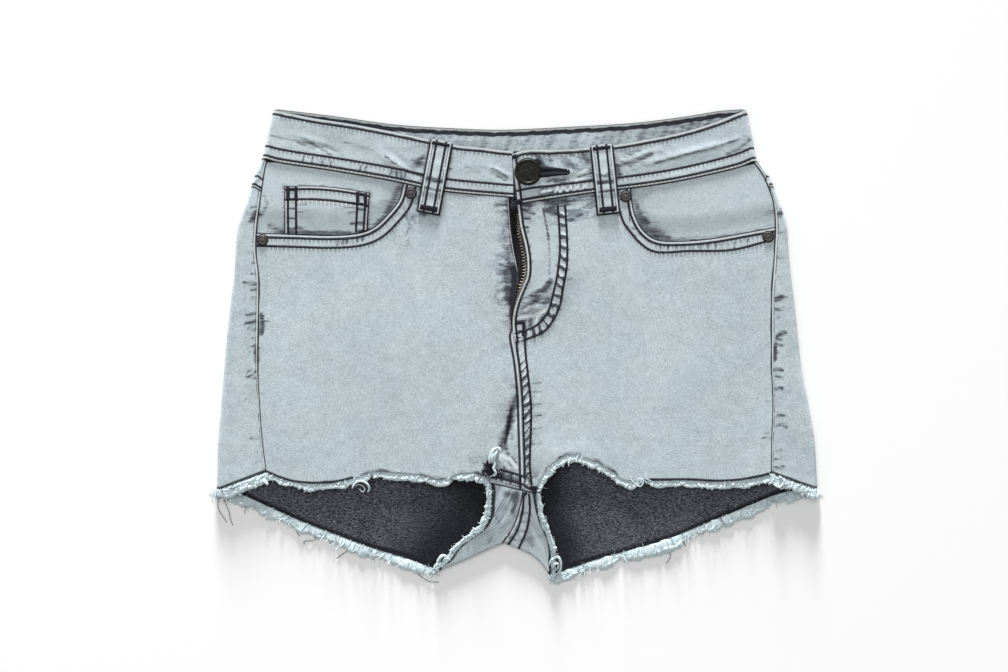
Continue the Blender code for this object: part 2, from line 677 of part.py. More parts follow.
def buttonhole_cutter():
    """A keyhole: a round eye for the shank and a tapering slit towards the side."""
    slit_start, slit_end = 2.0, 1.1
    above_underlap, below_band, over_all = 4.95, 3.4, 13.0
    ring = []
    for k in range(11):
        turn = radians(35 + 290 * k / 10)
        ring.append((EYE_RADIUS * cos(turn), EYE_RADIUS * sin(turn)))
    ring.append((6.0, -slit_start))
    ring.append((SLIT_LENGTH, -slit_end))
    ring.append((SLIT_LENGTH, slit_end))
    ring.append((6.0, slit_start))
    verts = [(x, y, below_band if x == SLIT_LENGTH else above_underlap) for x, y in ring]
    verts += [(x, y, over_all) for x, y in ring]
    count = len(ring)
    faces = [list(range(count))[::-1], list(range(count, 2 * count))]
    for k in range(count):
        after = (k + 1) % count
        faces.append([k, after, count + after, count + k])
    cutter = solid("buttonhole_cutter", verts, faces, DENIM_DARK)
    cutter.location = Vector((*BUTTON_SPOT, 0.0)) * MM
    cutter.hide_render = True
    cutter.display_type = "WIRE"
    return cutter


def belt_loop(name, top_x, top_y, foot_x, foot_y, side):
    """A strip over the waistband, stepping down to the panel below it."""
    wide, rows = 2, 9
    band_foot = bend(BAND_FOOT_LEFT if side > 0 else BAND_FOOT_RIGHT)
    top = Vector((top_x, top_y))
    foot = Vector((foot_x, foot_y))
    run = (foot - top).normalized()
    across = Vector((-run.y, run.x)) * LOOP_WIDTH / 2
    points = {}
    for i in range(wide + 1):
        for j in range(rows + 1):
            flat = top.lerp(foot, j / rows) + across * (2 * i / wide - 1)
            below = level_at(band_foot, flat.x) - flat.y
            step = BAND_PROUD * (1 - soft_step((below - LOOP_STEP_START) / LOOP_STEP_RUN))
            height = lay(flat.x, flat.y) + step + REST_GAP + LOOP_CLOTH
            points[i, j] = Vector((flat.x, flat.y, height))
    sheet(name, points, block(0, wide, 0, rows), 1, LOOP_CLOTH, DENIM)


# ---------------------------------------------------------------- fly and zip

def tape_height(x, y):
    past_edge = x - column(CENTRE_FRONT, 1, y)
    lift = TAPE_LIFT * FLY_RISE * fly_gain(y) * soft_step(past_edge / TAPE_SLOPE)
    return lay(x, y) - CLOTH - REST_GAP + lift


def zip_middle(y):
    """The line of teeth runs just inside the left fly edge."""
    return column(CENTRE_FRONT, 2, y) - 2.0


def zip_tape():
    wide, rows = 8, 10
    levels = [mix(TAPE_TOP_Y, TAPE_FOOT_Y, t) for t in even(rows)]
    grid = []
    for i in range(wide + 1):
        offset = mix(-TAPE_HALF, TAPE_HALF, i / wide)
        grid.append([Vector((zip_middle(y) + offset, y)) for y in levels])
    points = raise_grid(grid, tape_height)
    sheet("zip_tape", points, block(0, wide, 0, rows), 1, TAPE_CLOTH, TAPE)


def fly_shield():
    wide, rows = 5, 8
    grid = []
    for i in range(wide + 1):
        x = mix(*SHIELD_X, i / wide)
        grid.append([Vector((x, mix(TAPE_TOP_Y, SHIELD_FOOT_Y, t))) for t in even(rows)])
    drop = CLOTH + REST_GAP + TAPE_CLOTH + REST_GAP
    points = raise_grid(grid, lambda x, y: lay(x, y) - drop)
    sheet("fly_shield", points, block(0, wide, 0, rows), 1, SHIELD_CLOTH, DENIM_DARK)


def wedge(size):
    """A flat tapering block: half widths at its upper and lower end, y of those ends, z of its faces."""
    upper, lower, y_upper, y_lower, z_low, z_high = size
    ring = [(-upper, y_upper), (upper, y_upper), (lower, y_lower), (-lower, y_lower)]
    verts = [(a, b, z) for z in (z_low, z_high) for a, b in ring]
    faces = [[3, 2, 1, 0], [4, 5, 6, 7]]
    faces += [[k, (k + 1) % 4, 4 + (k + 1) % 4, 4 + k] for k in range(4)]
    return verts, faces


def zip_slider():
    """Slider body with its pull tab lying down over the teeth."""
    x, y = SLIDER_SPOT
    place = Vector((x, y, tape_height(x, y) + REST_GAP)) * MM
    made = solid("zip_slider", *wedge(SLIDER_BODY), GUNMETAL)
    made.location = place
    pull = solid("zip_pull_shape", *wedge(SLIDER_PULL), GUNMETAL)
    pull.location = place
    pull.hide_render = True
    pull.display_type = "WIRE"
    join = made.modifiers.new("pull", "BOOLEAN")
    join.operation = "UNION"
    join.solver = "EXACT"
    join.object = pull
    edge = made.modifiers.new("edge", "BEVEL")
    edge.width = SLIDER_EDGE * MM
    edge.segments = 1
    edge.limit_method = "ANGLE"


# ---------------------------------------------------------------- hardware

def turned(name, profile, sides, look):
    """A round piece about Z from (radius, height) steps, the first and last on the axis."""
    verts = [(0.0, 0.0, profile[0][1])]
    faces = []
    for radius, height in profile[1:-1]:
        for k in range(sides):
            turn = 2 * pi * k / sides
            verts.append((radius * cos(turn), radius * sin(turn), height))
    verts.append((0.0, 0.0, profile[-1][1]))
    last = len(verts) - 1
    rings = len(profile) - 2
    for k in range(sides):
        after = (k + 1) % sides
        faces.append([0, 1 + after, 1 + k])
        for r in range(rings - 1):
            low = 1 + r * sides
            faces.append([low + k, low + after, low + sides + after, low + sides + k])
        top = 1 + (rings - 1) * sides
        faces.append([top + k, top + after, last])
    made = solid(name, verts, faces, look)
    made.data.shade_smooth()
    made.data.set_sharp_from_angle(angle=radians(40))
    return made


def button():
    """Tack button: the shank stands on the right end of the band and passes through the eye."""
    seat = band_height(*BUTTON_SPOT, -1) + REST_GAP
    under_cap = band_height(*BUTTON_SPOT, 1) + 2 * REST_GAP - seat
    profile = [
        (0.0, 0.0),
        (SHANK_RADIUS, 0.0),
        (SHANK_RADIUS, under_cap),
        (BUTTON_RADIUS - 0.6, under_cap),
        (BUTTON_RADIUS, under_cap + 0.6),
        (BUTTON_RADIUS, under_cap + 1.3),
        (BUTTON_RADIUS - 0.7, under_cap + 1.9),
        (BUTTON_RADIUS - 1.6, under_cap + 1.6),
        (BUTTON_RADIUS * 0.45, under_cap + 1.9),
        (0.0, under_cap + 2.0),
    ]
    made = turned("button", profile, 20, GUNMETAL)
    made.location = Vector((*BUTTON_SPOT, seat)) * MM


def rivet(name, x, y):
    profile = [
        (0.0, 0.0),
        (RIVET_RADIUS, 0.0),
        (RIVET_RADIUS, 0.5),
        (RIVET_RADIUS - 0.6, 1.1),
        (1.6, 1.1),
        (1.0, 1.5),
        (0.0, 1.6),
    ]
    made = turned(name, profile, 12, GUNMETAL)
    side = 1 if x > 0 else -1
    made.location = Vector((x, y, front_height(x, y, side) + REST_GAP)) * MM


# ---------------------------------------------------------------- frayed hems

def frayed_edge(name, points, edge, inner, bare_end):
    """A narrow strip along a cut edge with a tapering lock of threads on every second length of it."""
    spots = [points[key] for key in edge]
    ways = outward_of(spots, [points[key] for key in inner])
    run = [0.0]
    for a, b in zip(spots, spots[1:]):
        run.append(run[-1] + (b - a).length)
    total = run[-1] - FRINGE_START - bare_end
    cells = 2 * int(total / FRINGE_PITCH) + 1
    stations = []
    k = 0
    for n in range(cells + 1):
        goal = FRINGE_START + total * n / cells
        while k < len(run) - 2 and run[k + 1] < goal:
            k += 1
        part = (goal - run[k]) / (run[k + 1] - run[k])
        spot = spots[k].lerp(spots[k + 1], part)
        along = (spots[k + 1] - spots[k]).normalized()
        out = ways[k].lerp(ways[k + 1], part).normalized()
        stations.append((spot, out, along.cross(out).normalized()))
    if stations[0][2].z < 0:
        stations = [(spot, out, -up) for spot, out, up in stations]
    verts = []
    for spot, out, up in stations:
        skin = (CLOTH - FRINGE_THICK) / 2
        for reach in (FRINGE_GAP, FRINGE_GAP + FRINGE_STRIP):
            for deep in (skin, skin + FRINGE_THICK):
                verts.append(spot + out * reach - up * deep)
    faces = [[0, 1, 3, 2], [4 * cells, 4 * cells + 2, 4 * cells + 3, 4 * cells + 1]]
    for n in range(cells):
        a = 4 * n
        b = a + 4
        faces.append([a, b, b + 1, a + 1])
        faces.append([a, a + 2, b + 2, b])
        faces.append([a + 1, b + 1, b + 3, a + 3])
        if n % 2:
            faces.append([a + 2, a + 3, b + 3, b + 2])
            continue
        tip = len(verts)
        _, out, up = stations[n]
        along = (stations[n + 1][0] - stations[n][0]).normalized()
        length = LOCK_LENGTH * (1 + 0.22 * sin(2.1 * n) + 0.12 * sin(0.37 * n + 1.0))
        lean = 0.22 * sin(1.3 * n + 0.5)
        middle = sum((verts[m] for m in (a + 2, a + 3, b + 2, b + 3)), Vector()) / 4
        shift = out * length + along * lean * length - up * 0.05
        for m in (a + 2, a + 3, b + 3, b + 2):
            verts.append(middle + (verts[m] - middle) * LOCK_TIP + shift)
        root = [a + 2, a + 3, b + 3, b + 2]
        for k4 in range(4):
            after = (k4 + 1) % 4
            faces.append([root[k4], root[after], tip + after, tip + k4])
        faces.append([tip, tip + 1, tip + 2, tip + 3])
    solid(name, verts, faces, FRAY)


# ---------------------------------------------------------------- assembly

def clear_scene():
    for old in list(bpy.data.objects):
        bpy.data.objects.remove(old, do_unlink=True)


def centre_on_origin():
    """Hang every piece from one empty, so that the garment's box stands centred on the origin."""
    root = bpy.data.objects.new("shorts", None)
    bpy.context.scene.collection.objects.link(root)
    bpy.context.view_layer.update()
    pieces = [piece for piece in bpy.data.objects if piece.type == "MESH"]
    graph = bpy.context.evaluated_depsgraph_get()
    corners = []
    for piece in pieces:
        piece.parent = root
        if not piece.hide_render:
            shape = piece.evaluated_get(graph)
            corners += [shape.matrix_world @ vert.co for vert in shape.data.vertices]
    low = [min(corner[axis] for corner in corners) for axis in range(3)]
    high = [max(corner[axis] for corner in corners) for axis in range(3)]
    root.location = (-(low[0] + high[0]) / 2, -(low[1] + high[1]) / 2, -low[2])


def main():
    clear_scene()
    for side in (-1, 1):
        back_panel(side)
        back_yoke(side)
        front_panel(side)
        pocket_facing(side)
    coin_pocket()
    waistband()
    fly_shield()
    zip_tape()
    zip_slider()
    for name, top_x, top_y, foot_x, foot_y in LOOPS:
        belt_loop(name, top_x, top_y, foot_x, foot_y, 1 if top_x > 0 else -1)
    button()
    for name, (x, y) in RIVETS.items():
        rivet(name, x, y)
    centre_on_origin()


main()
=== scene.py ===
"""Looks of the cut-off denim shorts, which lie flat with the front up.

Tables and sizes are in millimetres in the pattern frame: X towards the wearer's left, Y towards the waist,
Z up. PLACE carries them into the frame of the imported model. Right and left are the wearer's.
"""
from math import cos, pi, radians, sin

import bmesh
import bpy
import numpy as np
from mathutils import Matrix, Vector
from mathutils.bvhtree import BVHTree


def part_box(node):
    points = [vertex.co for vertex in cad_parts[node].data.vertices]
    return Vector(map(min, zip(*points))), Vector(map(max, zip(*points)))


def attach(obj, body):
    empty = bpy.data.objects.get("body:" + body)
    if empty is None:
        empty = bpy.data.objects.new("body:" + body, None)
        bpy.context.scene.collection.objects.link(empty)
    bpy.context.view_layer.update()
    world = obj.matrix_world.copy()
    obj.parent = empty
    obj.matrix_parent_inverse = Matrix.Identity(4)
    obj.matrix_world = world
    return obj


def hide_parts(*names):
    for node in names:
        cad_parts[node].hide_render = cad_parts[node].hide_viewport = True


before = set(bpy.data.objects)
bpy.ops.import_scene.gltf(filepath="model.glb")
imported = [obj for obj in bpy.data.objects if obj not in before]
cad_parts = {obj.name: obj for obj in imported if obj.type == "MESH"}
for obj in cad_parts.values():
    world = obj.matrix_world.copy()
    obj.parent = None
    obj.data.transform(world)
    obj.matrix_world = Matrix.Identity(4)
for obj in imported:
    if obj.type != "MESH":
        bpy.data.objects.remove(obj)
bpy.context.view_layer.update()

MM = 0.001

# ---------------------------------------------------------------- sizes shared with the frame

CLOTH = 1.2          # wall of every panel
BAND_CLOTH = 2.2     # waistband
LOOP_CLOTH = 1.4
SHIELD_CLOTH = 1.0
TAPE_CLOTH = 0.8
LAY = 5.2            # outer face of the front above the ground
BAND_PROUD = 0.5     # the waistband stands above the panels sewn into it
CROTCH_FOLD = 3.3    # outer height of the fold at the crotch
REST_GAP = 0.35      # between a piece and what it lies on

FLY_RISE = 1.7       # left fly edge above the right one
FLY_FLAT = 26.0
FLY_SLOPE = 20.0
ZIP_FOOT_Y = 4.0
FLY_SLOPE_Y = 60.0
FLY_TOP_Y = {1: 103.6, -1: 108.8}
UNDERLAP_X = 13.5
UNDERLAP_DIP = 0.9
UNDERLAP_SLOPE_X = -40.0
UNDERLAP_SLOPE = 34.0
TAPE_HALF = 12.0
TAPE_TOP_Y = 101.5
TAPE_FOOT_Y = 9.0
TAPE_LIFT = 0.6
TAPE_SLOPE = 14.0
SHIELD_X = (-15.0, 26.0)
SHIELD_FOOT_Y = 1.0

FACING_UNDER = 11.0
FACING_RISE = 1.1
FACING_LOW = 3.0
FACING_RAMP = 18.0

# Side seams, by side: +1 left, -1 right
SEAM_TOP_Y = {1: 134.6, -1: 135.8}
SEAM_YOKE_Y = 113.4
SEAM_HEM_Y = {1: -96.0, -1: -94.8}

# Side folds and the side seams that lie on the front.
# columns: y, right fold x, right seam x, left fold x, left seam x
SIDES = [
    (136.2, -189.4, -185.6, 178.2, 174.4),
    (124.0, -194.5, -187.9, 187.0, 183.0),
    (106.0, -200.4, -190.4, 193.9, 189.9),
    (88.0, -206.5, -192.8, 199.8, 191.7),
    (70.0, -208.3, -193.7, 200.9, 191.0),
    (52.0, -209.4, -191.7, 202.8, 189.8),
    (35.0, -211.6, -191.4, 205.0, 188.8),
    (8.0, -214.6, -191.9, 207.9, 188.7),
    (-18.0, -216.8, -192.2, 210.9, 188.8),
    (-45.0, -219.0, -190.8, 216.1, 189.8),
    (-72.0, -221.3, -188.8, 220.5, 188.9),
    (-98.0, -222.0, -185.4, 222.0, 188.7),
    (-107.5, -222.6, -184.5, 222.4, 188.8),
]

# Centre front: the free fly edges, which meet in the seam below the zip.
# columns: y, right edge x, left edge x
CENTRE_FRONT = [
    (109.0, -6.4, -0.8),
    (103.0, -6.2, 0.2),
    (87.3, -5.1, 2.2),
    (74.0, -3.4, 5.5),
    (61.4, -1.0, 7.4),
    (49.6, 1.0, 7.0),
    (41.4, 0.6, 3.7),
    (29.6, -2.3, -1.0),
    (17.8, -3.7, -3.4),
    (3.7, -2.6, -2.4),
    (-14.8, 0.6, 0.6),
    (-40.0, 2.9, 2.9),
    (-61.4, 3.6, 3.6),
    (-85.0, 4.4, 4.4),
    (-108.4, 5.0, 5.0),
]

# Soft ridges and troughs in the lay of the front.
# columns: x, y, half length, half width, turn in degrees, rise
FOLDS = [
    (-95.0, 0.0, 95.0, 70.0, 90.0, 0.5),
    (98.0, 0.0, 95.0, 70.0, 90.0, 0.5),
    (40.0, -84.0, 26.0, 14.0, 0.0, 0.8),
    (-6.0, -62.0, 22.0, 5.0, 72.0, -0.8),
    (16.0, 36.0, 16.0, 5.0, 50.0, 0.5),
    (-90.0, 133.0, 14.0, 4.0, -36.0, 0.4),
    (-140.0, 147.0, 30.0, 6.0, -14.0, -0.35),
    (132.0, 141.0, 38.0, 4.5, 15.0, 0.4),
    (120.0, 131.0, 30.0, 4.5, 14.0, -0.3),
]

# Seams and edges, each a smooth line through its points
BAND_TOP_RIGHT = [(UNDERLAP_X, 144.0), (-3.7, 142.8), (-25.0, 145.2), (-47.4, 147.6), (-83.6, 155.4),
                  (-119.9, 162.3), (-150.0, 167.0), (-177.8, 172.6)]
BAND_FOOT_RIGHT = [(UNDERLAP_X, 107.4), (-3.7, 108.8), (-54.8, 113.4), (-94.0, 121.4), (-137.6, 128.8),
                   (-173.9, 134.2), (-185.9, 137.2)]
BAND_TOP_LEFT = [(-4.0, 140.2), (7.0, 143.6), (26.6, 143.6), (49.6, 145.0), (74.7, 147.6), (96.2, 151.3),
                 (119.9, 156.1), (142.8, 162.8), (167.4, 172.4)]
BAND_FOOT_LEFT = [(0.4, 103.6), (18.5, 106.6), (56.2, 112.3), (96.2, 117.2), (119.9, 121.0), (142.8, 125.8),
                  (163.5, 130.8), (174.8, 135.2)]
BAND_TOP_BACK = [(-177.8, 173.9), (-134.7, 168.7), (-90.0, 162.6), (-45.9, 159.8), (-8.9, 158.8),
                 (40.0, 161.0), (87.3, 163.9), (125.0, 168.6), (150.0, 172.6), (167.4, 173.9)]
BAND_FOOT_BACK = [(-185.9, 137.2), (-134.0, 132.6), (-75.0, 126.2), (-8.9, 123.2), (57.7, 126.0),
                  (116.9, 131.2), (174.8, 135.2)]
YOKE_SEAM = [(-197.0, 116.4), (-138.4, 102.1), (-71.8, 86.2), (-8.0, 77.0), (57.7, 86.2), (128.0, 102.1),
             (190.4, 116.4)]
CENTRE_BACK = [(-8.9, 123.2), (-8.0, 77.0), (-8.4, -30.0), (-9.6, -147.6)]
POCKET_MOUTH_RIGHT = [(-193.2, 81.6), (-166.5, 80.8), (-137.6, 80.0), (-116.9, 81.6), (-104.7, 86.6),
                      (-94.0, 97.0), (-86.8, 106.6), (-83.6, 118.6)]
POCKET_MOUTH_LEFT = [(191.7, 86.0), (166.5, 81.4), (143.2, 77.4), (119.9, 75.6), (103.5, 76.6), (93.2, 83.6),
                     (87.1, 94.7), (84.6, 106.0), (83.6, 115.8)]
FRONT_HEM_RIGHT = [(-185.6, -94.8), (-174.6, -99.4), (-163.5, -102.4), (-148.0, -103.4), (-134.0, -102.4),
                   (-121.4, -99.4), (-105.0, -94.6), (-89.5, -95.0), (-74.7, -96.2), (-58.0, -100.2),
                   (-44.0, -96.2), (-34.0, -95.2), (-21.6, -98.6)]
FRONT_HEM_LEFT = [(188.7, -96.0), (179.1, -98.6), (162.8, -101.2), (145.8, -101.9), (125.0, -100.8),
                  (98.4, -101.2), (80.0, -100.4), (71.8, -95.0), (60.0, -87.6), (50.3, -83.6), (40.0, -81.2),
                  (30.3, -85.4), (22.2, -92.0), (15.0, -102.6)]
INSEAM_RIGHT = [(-19.6, -102.6), (-8.9, -105.0), (4.8, -108.4)]
INSEAM_LEFT = [(14.2, -109.8), (9.6, -109.4), (4.8, -108.4)]
CENTRE_BACK_FLAP = [(-9.6, -147.6), (-1.5, -133.2), (3.0, -118.0), (4.8, -108.4)]
CROTCH_FOLD_RIGHT = [(-9.6, -147.6), (-20.0, -152.0), (-40.0, -161.0), (-57.8, -168.2)]
CROTCH_FOLD_LEFT = [(-9.6, -147.6), (0.0, -151.6), (8.0, -155.2), (15.4, -160.4), (24.4, -171.6)]
FLAP_HEM_RIGHT = [(-57.8, -168.2), (-51.0, -161.6), (-41.4, -149.6), (-26.0, -138.6), (-20.4, -128.0),
                  (-18.8, -114.0), (-19.6, -102.6)]
FLAP_HEM_LEFT = [(24.4, -171.6), (25.4, -158.0), (24.0, -147.0), (20.7, -139.1), (16.3, -127.0),
                 (14.2, -109.8)]
BACK_HEM_RIGHT = [(-57.8, -168.2), (-79.2, -159.8), (-108.0, -151.0), (-135.0, -141.0), (-159.1, -131.7),
                  (-182.0, -121.6), (-202.0, -112.6), (-219.8, -107.5)]
BACK_HEM_LEFT = [(24.4, -171.6), (37.7, -167.2), (60.0, -159.4), (88.1, -151.7), (113.2, -144.0),
                 (140.0, -133.0), (167.2, -122.0), (196.0, -110.6), (219.8, -107.0)]
COIN_TOP = [(-171.6, 116.2), (-151.0, 116.6), (-131.0, 115.0), (-109.4, 111.4)]
COIN_FOOT = [(-171.6, 81.8), (-151.0, 81.2), (-131.0, 80.6), (-111.4, 84.4)]

# The lines that both sides have, by side: +1 left, -1 right
BAND_FEET = {1: BAND_FOOT_LEFT, -1: BAND_FOOT_RIGHT}
POCKET_MOUTHS = {1: POCKET_MOUTH_LEFT, -1: POCKET_MOUTH_RIGHT}
FRONT_HEMS = {1: FRONT_HEM_LEFT, -1: FRONT_HEM_RIGHT}
INSEAMS = {1: INSEAM_LEFT, -1: INSEAM_RIGHT}
CROTCH_FOLDS = {1: CROTCH_FOLD_LEFT, -1: CROTCH_FOLD_RIGHT}
FLAP_HEMS = {1: FLAP_HEM_LEFT, -1: FLAP_HEM_RIGHT}
BACK_HEMS = {1: BACK_HEM_LEFT, -1: BACK_HEM_RIGHT}

# Hardware
BUTTON_SPOT = (8.1, 127.3)
BUTTON_RADIUS = 9.4
SHANK_RADIUS = 3.0
EYE_RADIUS = 3.6
SLIT_LENGTH = 29.0
RIVET_RADIUS = 3.7
RIVETS = {
    "rivet_right_top": (-78.4, 111.6),
    "rivet_right_side": (-188.4, 76.9),
    "rivet_left_top": (80.6, 109.2),
    "rivet_left_side": (185.9, 79.4),
}
LOOP_WIDTH = 15.4
LOOP_STEP_START = 2.0
LOOP_STEP_RUN = 5.0
LOOP_MARKS = [(0.55, 1.5, 1.4), (0.68, 1.1, 0.8)]  # dark lines across: share of the length, width, strength
# columns: name, top x, top y, foot x, foot y
LOOPS = [
    ("belt_loop_right", -55.6, 150.4, -65.6, 97.4),
    ("belt_loop_left", 62.4, 147.6, 67.8, 96.8),
]
SLIDER_SPOT = (-2.2, 95.0)

# ---------------------------------------------------------------- sizes of the looks

EDGE_ROLL = 0.45         # round of a folded edge
FLAP_FRAY = 0.5          # the frayed threads of the crotch lie over the cloth as far in as this
STITCH = 2.7
STITCH_GAP = 0.45
STITCH_RADIUS = 0.43
STITCH_UNDER = -0.22     # stitches of the underside lie in the cloth, clear of the ground
BAR_RADIUS = 0.27        # thread of the bartacks
EYE_THREAD_RADIUS = 0.3  # thread of the buttonhole
BAND_WIDTH = 35.6
BAND_ROW_TOP = 2.8       # rows of the waistband, from its edges
BAND_ROW_FOOT = 2.3
BAND_ROW_SECOND = 9.1
MOUTH_ROWS = (2.5, 8.9)  # rows of a pocket mouth, from its edge
LOOP_ROW = 3.5           # rows of a belt loop, from its middle
FLY_ROW = 2.6            # row along the left fly edge
CENTRE_ROW_ASIDE = 1.1   # the same row beside the seam below the fly
END_ROW = 3.2            # row along the left end of the waistband
SEAM_ROWS = (1.9, 8.2)   # rows above the yoke seam and beside the centre back
SLIT_HALF = 0.8          # half width of the cut of the buttonhole
COIN_SIZE = (62.0, 34.4)
COIN_ROWS = {"start": (2.2, 8.2), "end": (2.2, 8.0), "top": (2.1, 9.6)}  # from each edge
BAND_ROW_STOP_X = -4.5   # where the right rows of the waistband go under its left end
BAR_PITCH = 5.6          # mean distance between the puckers of a seam
FAR = 40.0               # distance stored where nothing is near
EDGE_STEPS = (0.12, 0.32, 0.62)  # grid lines close to a rounded edge
PIN_REACH = 9.0          # how far along a line the move of its end is felt
ON_TOP = 2.0             # the cloth of the front lies higher than this, that of the back lower
CREASE_DEPTH = 0.5       # deepest dent in the outer face
SIDE_STEPS = 12          # grid lines round a side fold
CROTCH_STEPS = 10        # and round the crotch fold
TURN_STEPS = 14          # and round an end of the waistband
STROKE_FADE = 2.6        # half widths at which a stroke has faded out
SLIT_SHADOW = (14.6, 133.4, 2.7)   # round painted shadow above the slit, beside the button: x, y, radius
TEETH_ASIDE = 0.9        # the teeth lie nearer to the left fly edge than the middle of the tape
TOOTH_PITCH = 2.2
TOOTH_REACH = 2.6
TOOTH_RADIUS = 0.46

# Seeds of the random draws
SEEDS = {"waistband": 11, "front": 21, "back": 31, "coin": 41, "loops": 51, "bartacks": 61, "buttonhole": 62,
         "fray": 70, "loose": 81, "tufts": 82}

# A stitch along its length: shares of it, thickness, and height over the cloth
STITCH_RINGS = np.array([0.0, 0.1, 0.3, 0.7, 0.9, 1.0])
STITCH_SWELL = np.array([0.45, 0.85, 1.0, 1.0, 0.85, 0.45])
STITCH_LIFT = np.array([-0.25, 0.02, 0.16, 0.16, 0.02, -0.25])

# Bartacks. columns: piece, x, y, half length, half width, turn in degrees
BARTACKS = [
    ("front_left", 1.5, 15.7, 3.0, 1.1, 0.0),
    ("front_left", 4.8, 10.7, 4.6, 1.0, 88.0),
    ("coin", -169.4, 112.0, 4.4, 1.3, 90.0),
    ("coin", -163.4, 111.6, 4.8, 1.2, 90.0),
    ("coin", -166.4, 114.4, 3.6, 1.2, 0.0),
    ("coin", -166.4, 107.0, 3.4, 0.9, 0.0),
    ("coin", -112.0, 107.2, 4.2, 1.3, 90.0),
    ("coin", -117.8, 108.0, 4.6, 1.2, 90.0),
    ("coin", -114.8, 110.6, 3.6, 1.2, -10.0),
    ("coin", -114.8, 103.2, 3.4, 0.9, -8.0),
    ("flap_left", 8.0, -109.6, 3.6, 1.2, 30.0),
    ("waist", 1.6, 105.4, 1.6, 1.4, 20.0),
    ("waist", -1.9, 138.4, 1.5, 1.5, 20.0),
]

# Rows of stitches that follow no edge
MOUTH_ROW_LEFT = [(73.3, 112.5), (76.2, 97.7), (82.1, 85.1), (99.9, 68.8), (128.0, 68.8), (159.1, 69.6),
                  (188.7, 77.0)]
FLY_CURVE_OUTER = [(35.5, 102.9), (37.0, 79.2), (37.0, 59.2), (34.0, 41.4), (31.1, 26.6), (21.5, 10.4),
                   (7.4, 3.7), (-0.4, 1.1)]
FLY_CURVE_INNER = [(30.0, 103.6), (31.8, 74.0), (30.3, 54.0), (26.6, 36.3), (22.2, 22.2), (12.6, 12.6),
                   (-0.7, 8.1)]
CENTRE_ROW = [(5.4, 17.8), (6.2, -4.4), (8.0, -21.5), (10.4, -45.9), (10.0, -71.0), (9.4, -89.5),
              (11.0, -105.8)]
INSEAM_ROWS = [
    [(-12.6, -92.9), (3.4, -97.5), (7.4, -100.6)],
    [(-12.6, -99.2), (3.4, -103.6), (10.4, -107.3)],
]
FLAP_ROWS = [
    [(5.0, -110.3), (4.1, -123.6), (0.4, -137.6), (-6.7, -149.2)],
    [(8.7, -111.0), (9.6, -122.1), (7.2, -137.6), (1.2, -151.7)],
    [(-4.1, -137.6), (-10.4, -147.3)],
]

# Small creases that the solids leave out, in the outer face of the cloth that faces up.
# columns: x, y, half length, half width, turn in degrees, rise
CREASES = [
    (-91.0, 132.5, 12.0, 2.2, -38.0, 0.45),
    (-84.0, 134.5, 11.0, 2.0, -40.0, -0.4),
    (-72.0, 131.0, 7.0, 3.0, -50.0, -0.3),
    (-14.0, 128.0, 9.0, 1.8, -22.0, 0.35),
    (-12.0, 123.5, 8.0, 1.6, -24.0, -0.35),
    (-150.0, 150.5, 16.0, 2.2, -16.0, 0.3),
    (-146.0, 146.0, 14.0, 2.0, -14.0, -0.3),
    (36.0, 122.0, 17.0, 2.2, 6.0, -0.4),
    (34.0, 126.5, 12.0, 1.8, 8.0, 0.25),
    (88.0, 138.0, 16.0, 2.0, 20.0, 0.35),
    (134.0, 143.5, 36.0, 2.4, 15.0, 0.3),
    (126.0, 138.5, 30.0, 2.0, 15.0, -0.3),
    (12.0, 26.0, 12.0, 2.0, 12.0, 0.45),
    (12.5, 30.5, 9.0, 2.2, 28.0, -0.4),
    (13.0, 19.0, 5.0, 2.0, 80.0, -0.35),
    (20.0, 22.0, 6.0, 1.8, 60.0, 0.3),
    (-4.5, -61.0, 14.0, 2.2, 68.0, -0.45),
    (-8.5, -60.0, 12.0, 2.0, 70.0, 0.35),
    (14.0, -38.0, 9.0, 1.8, 74.0, -0.25),
    (-12.0, 40.0, 16.0, 3.0, 84.0, -0.35),
    (-16.5, 44.0, 14.0, 2.4, 86.0, 0.25),
    (2.0, -128.0, 10.0, 2.0, 50.0, -0.3),
    (-12.0, -136.0, 9.0, 2.0, 64.0, 0.3),
    (14.0, -140.0, 9.0, 1.8, 118.0, -0.3),
    (-3.0, -121.0, 8.0, 1.8, 96.0, 0.3),
]
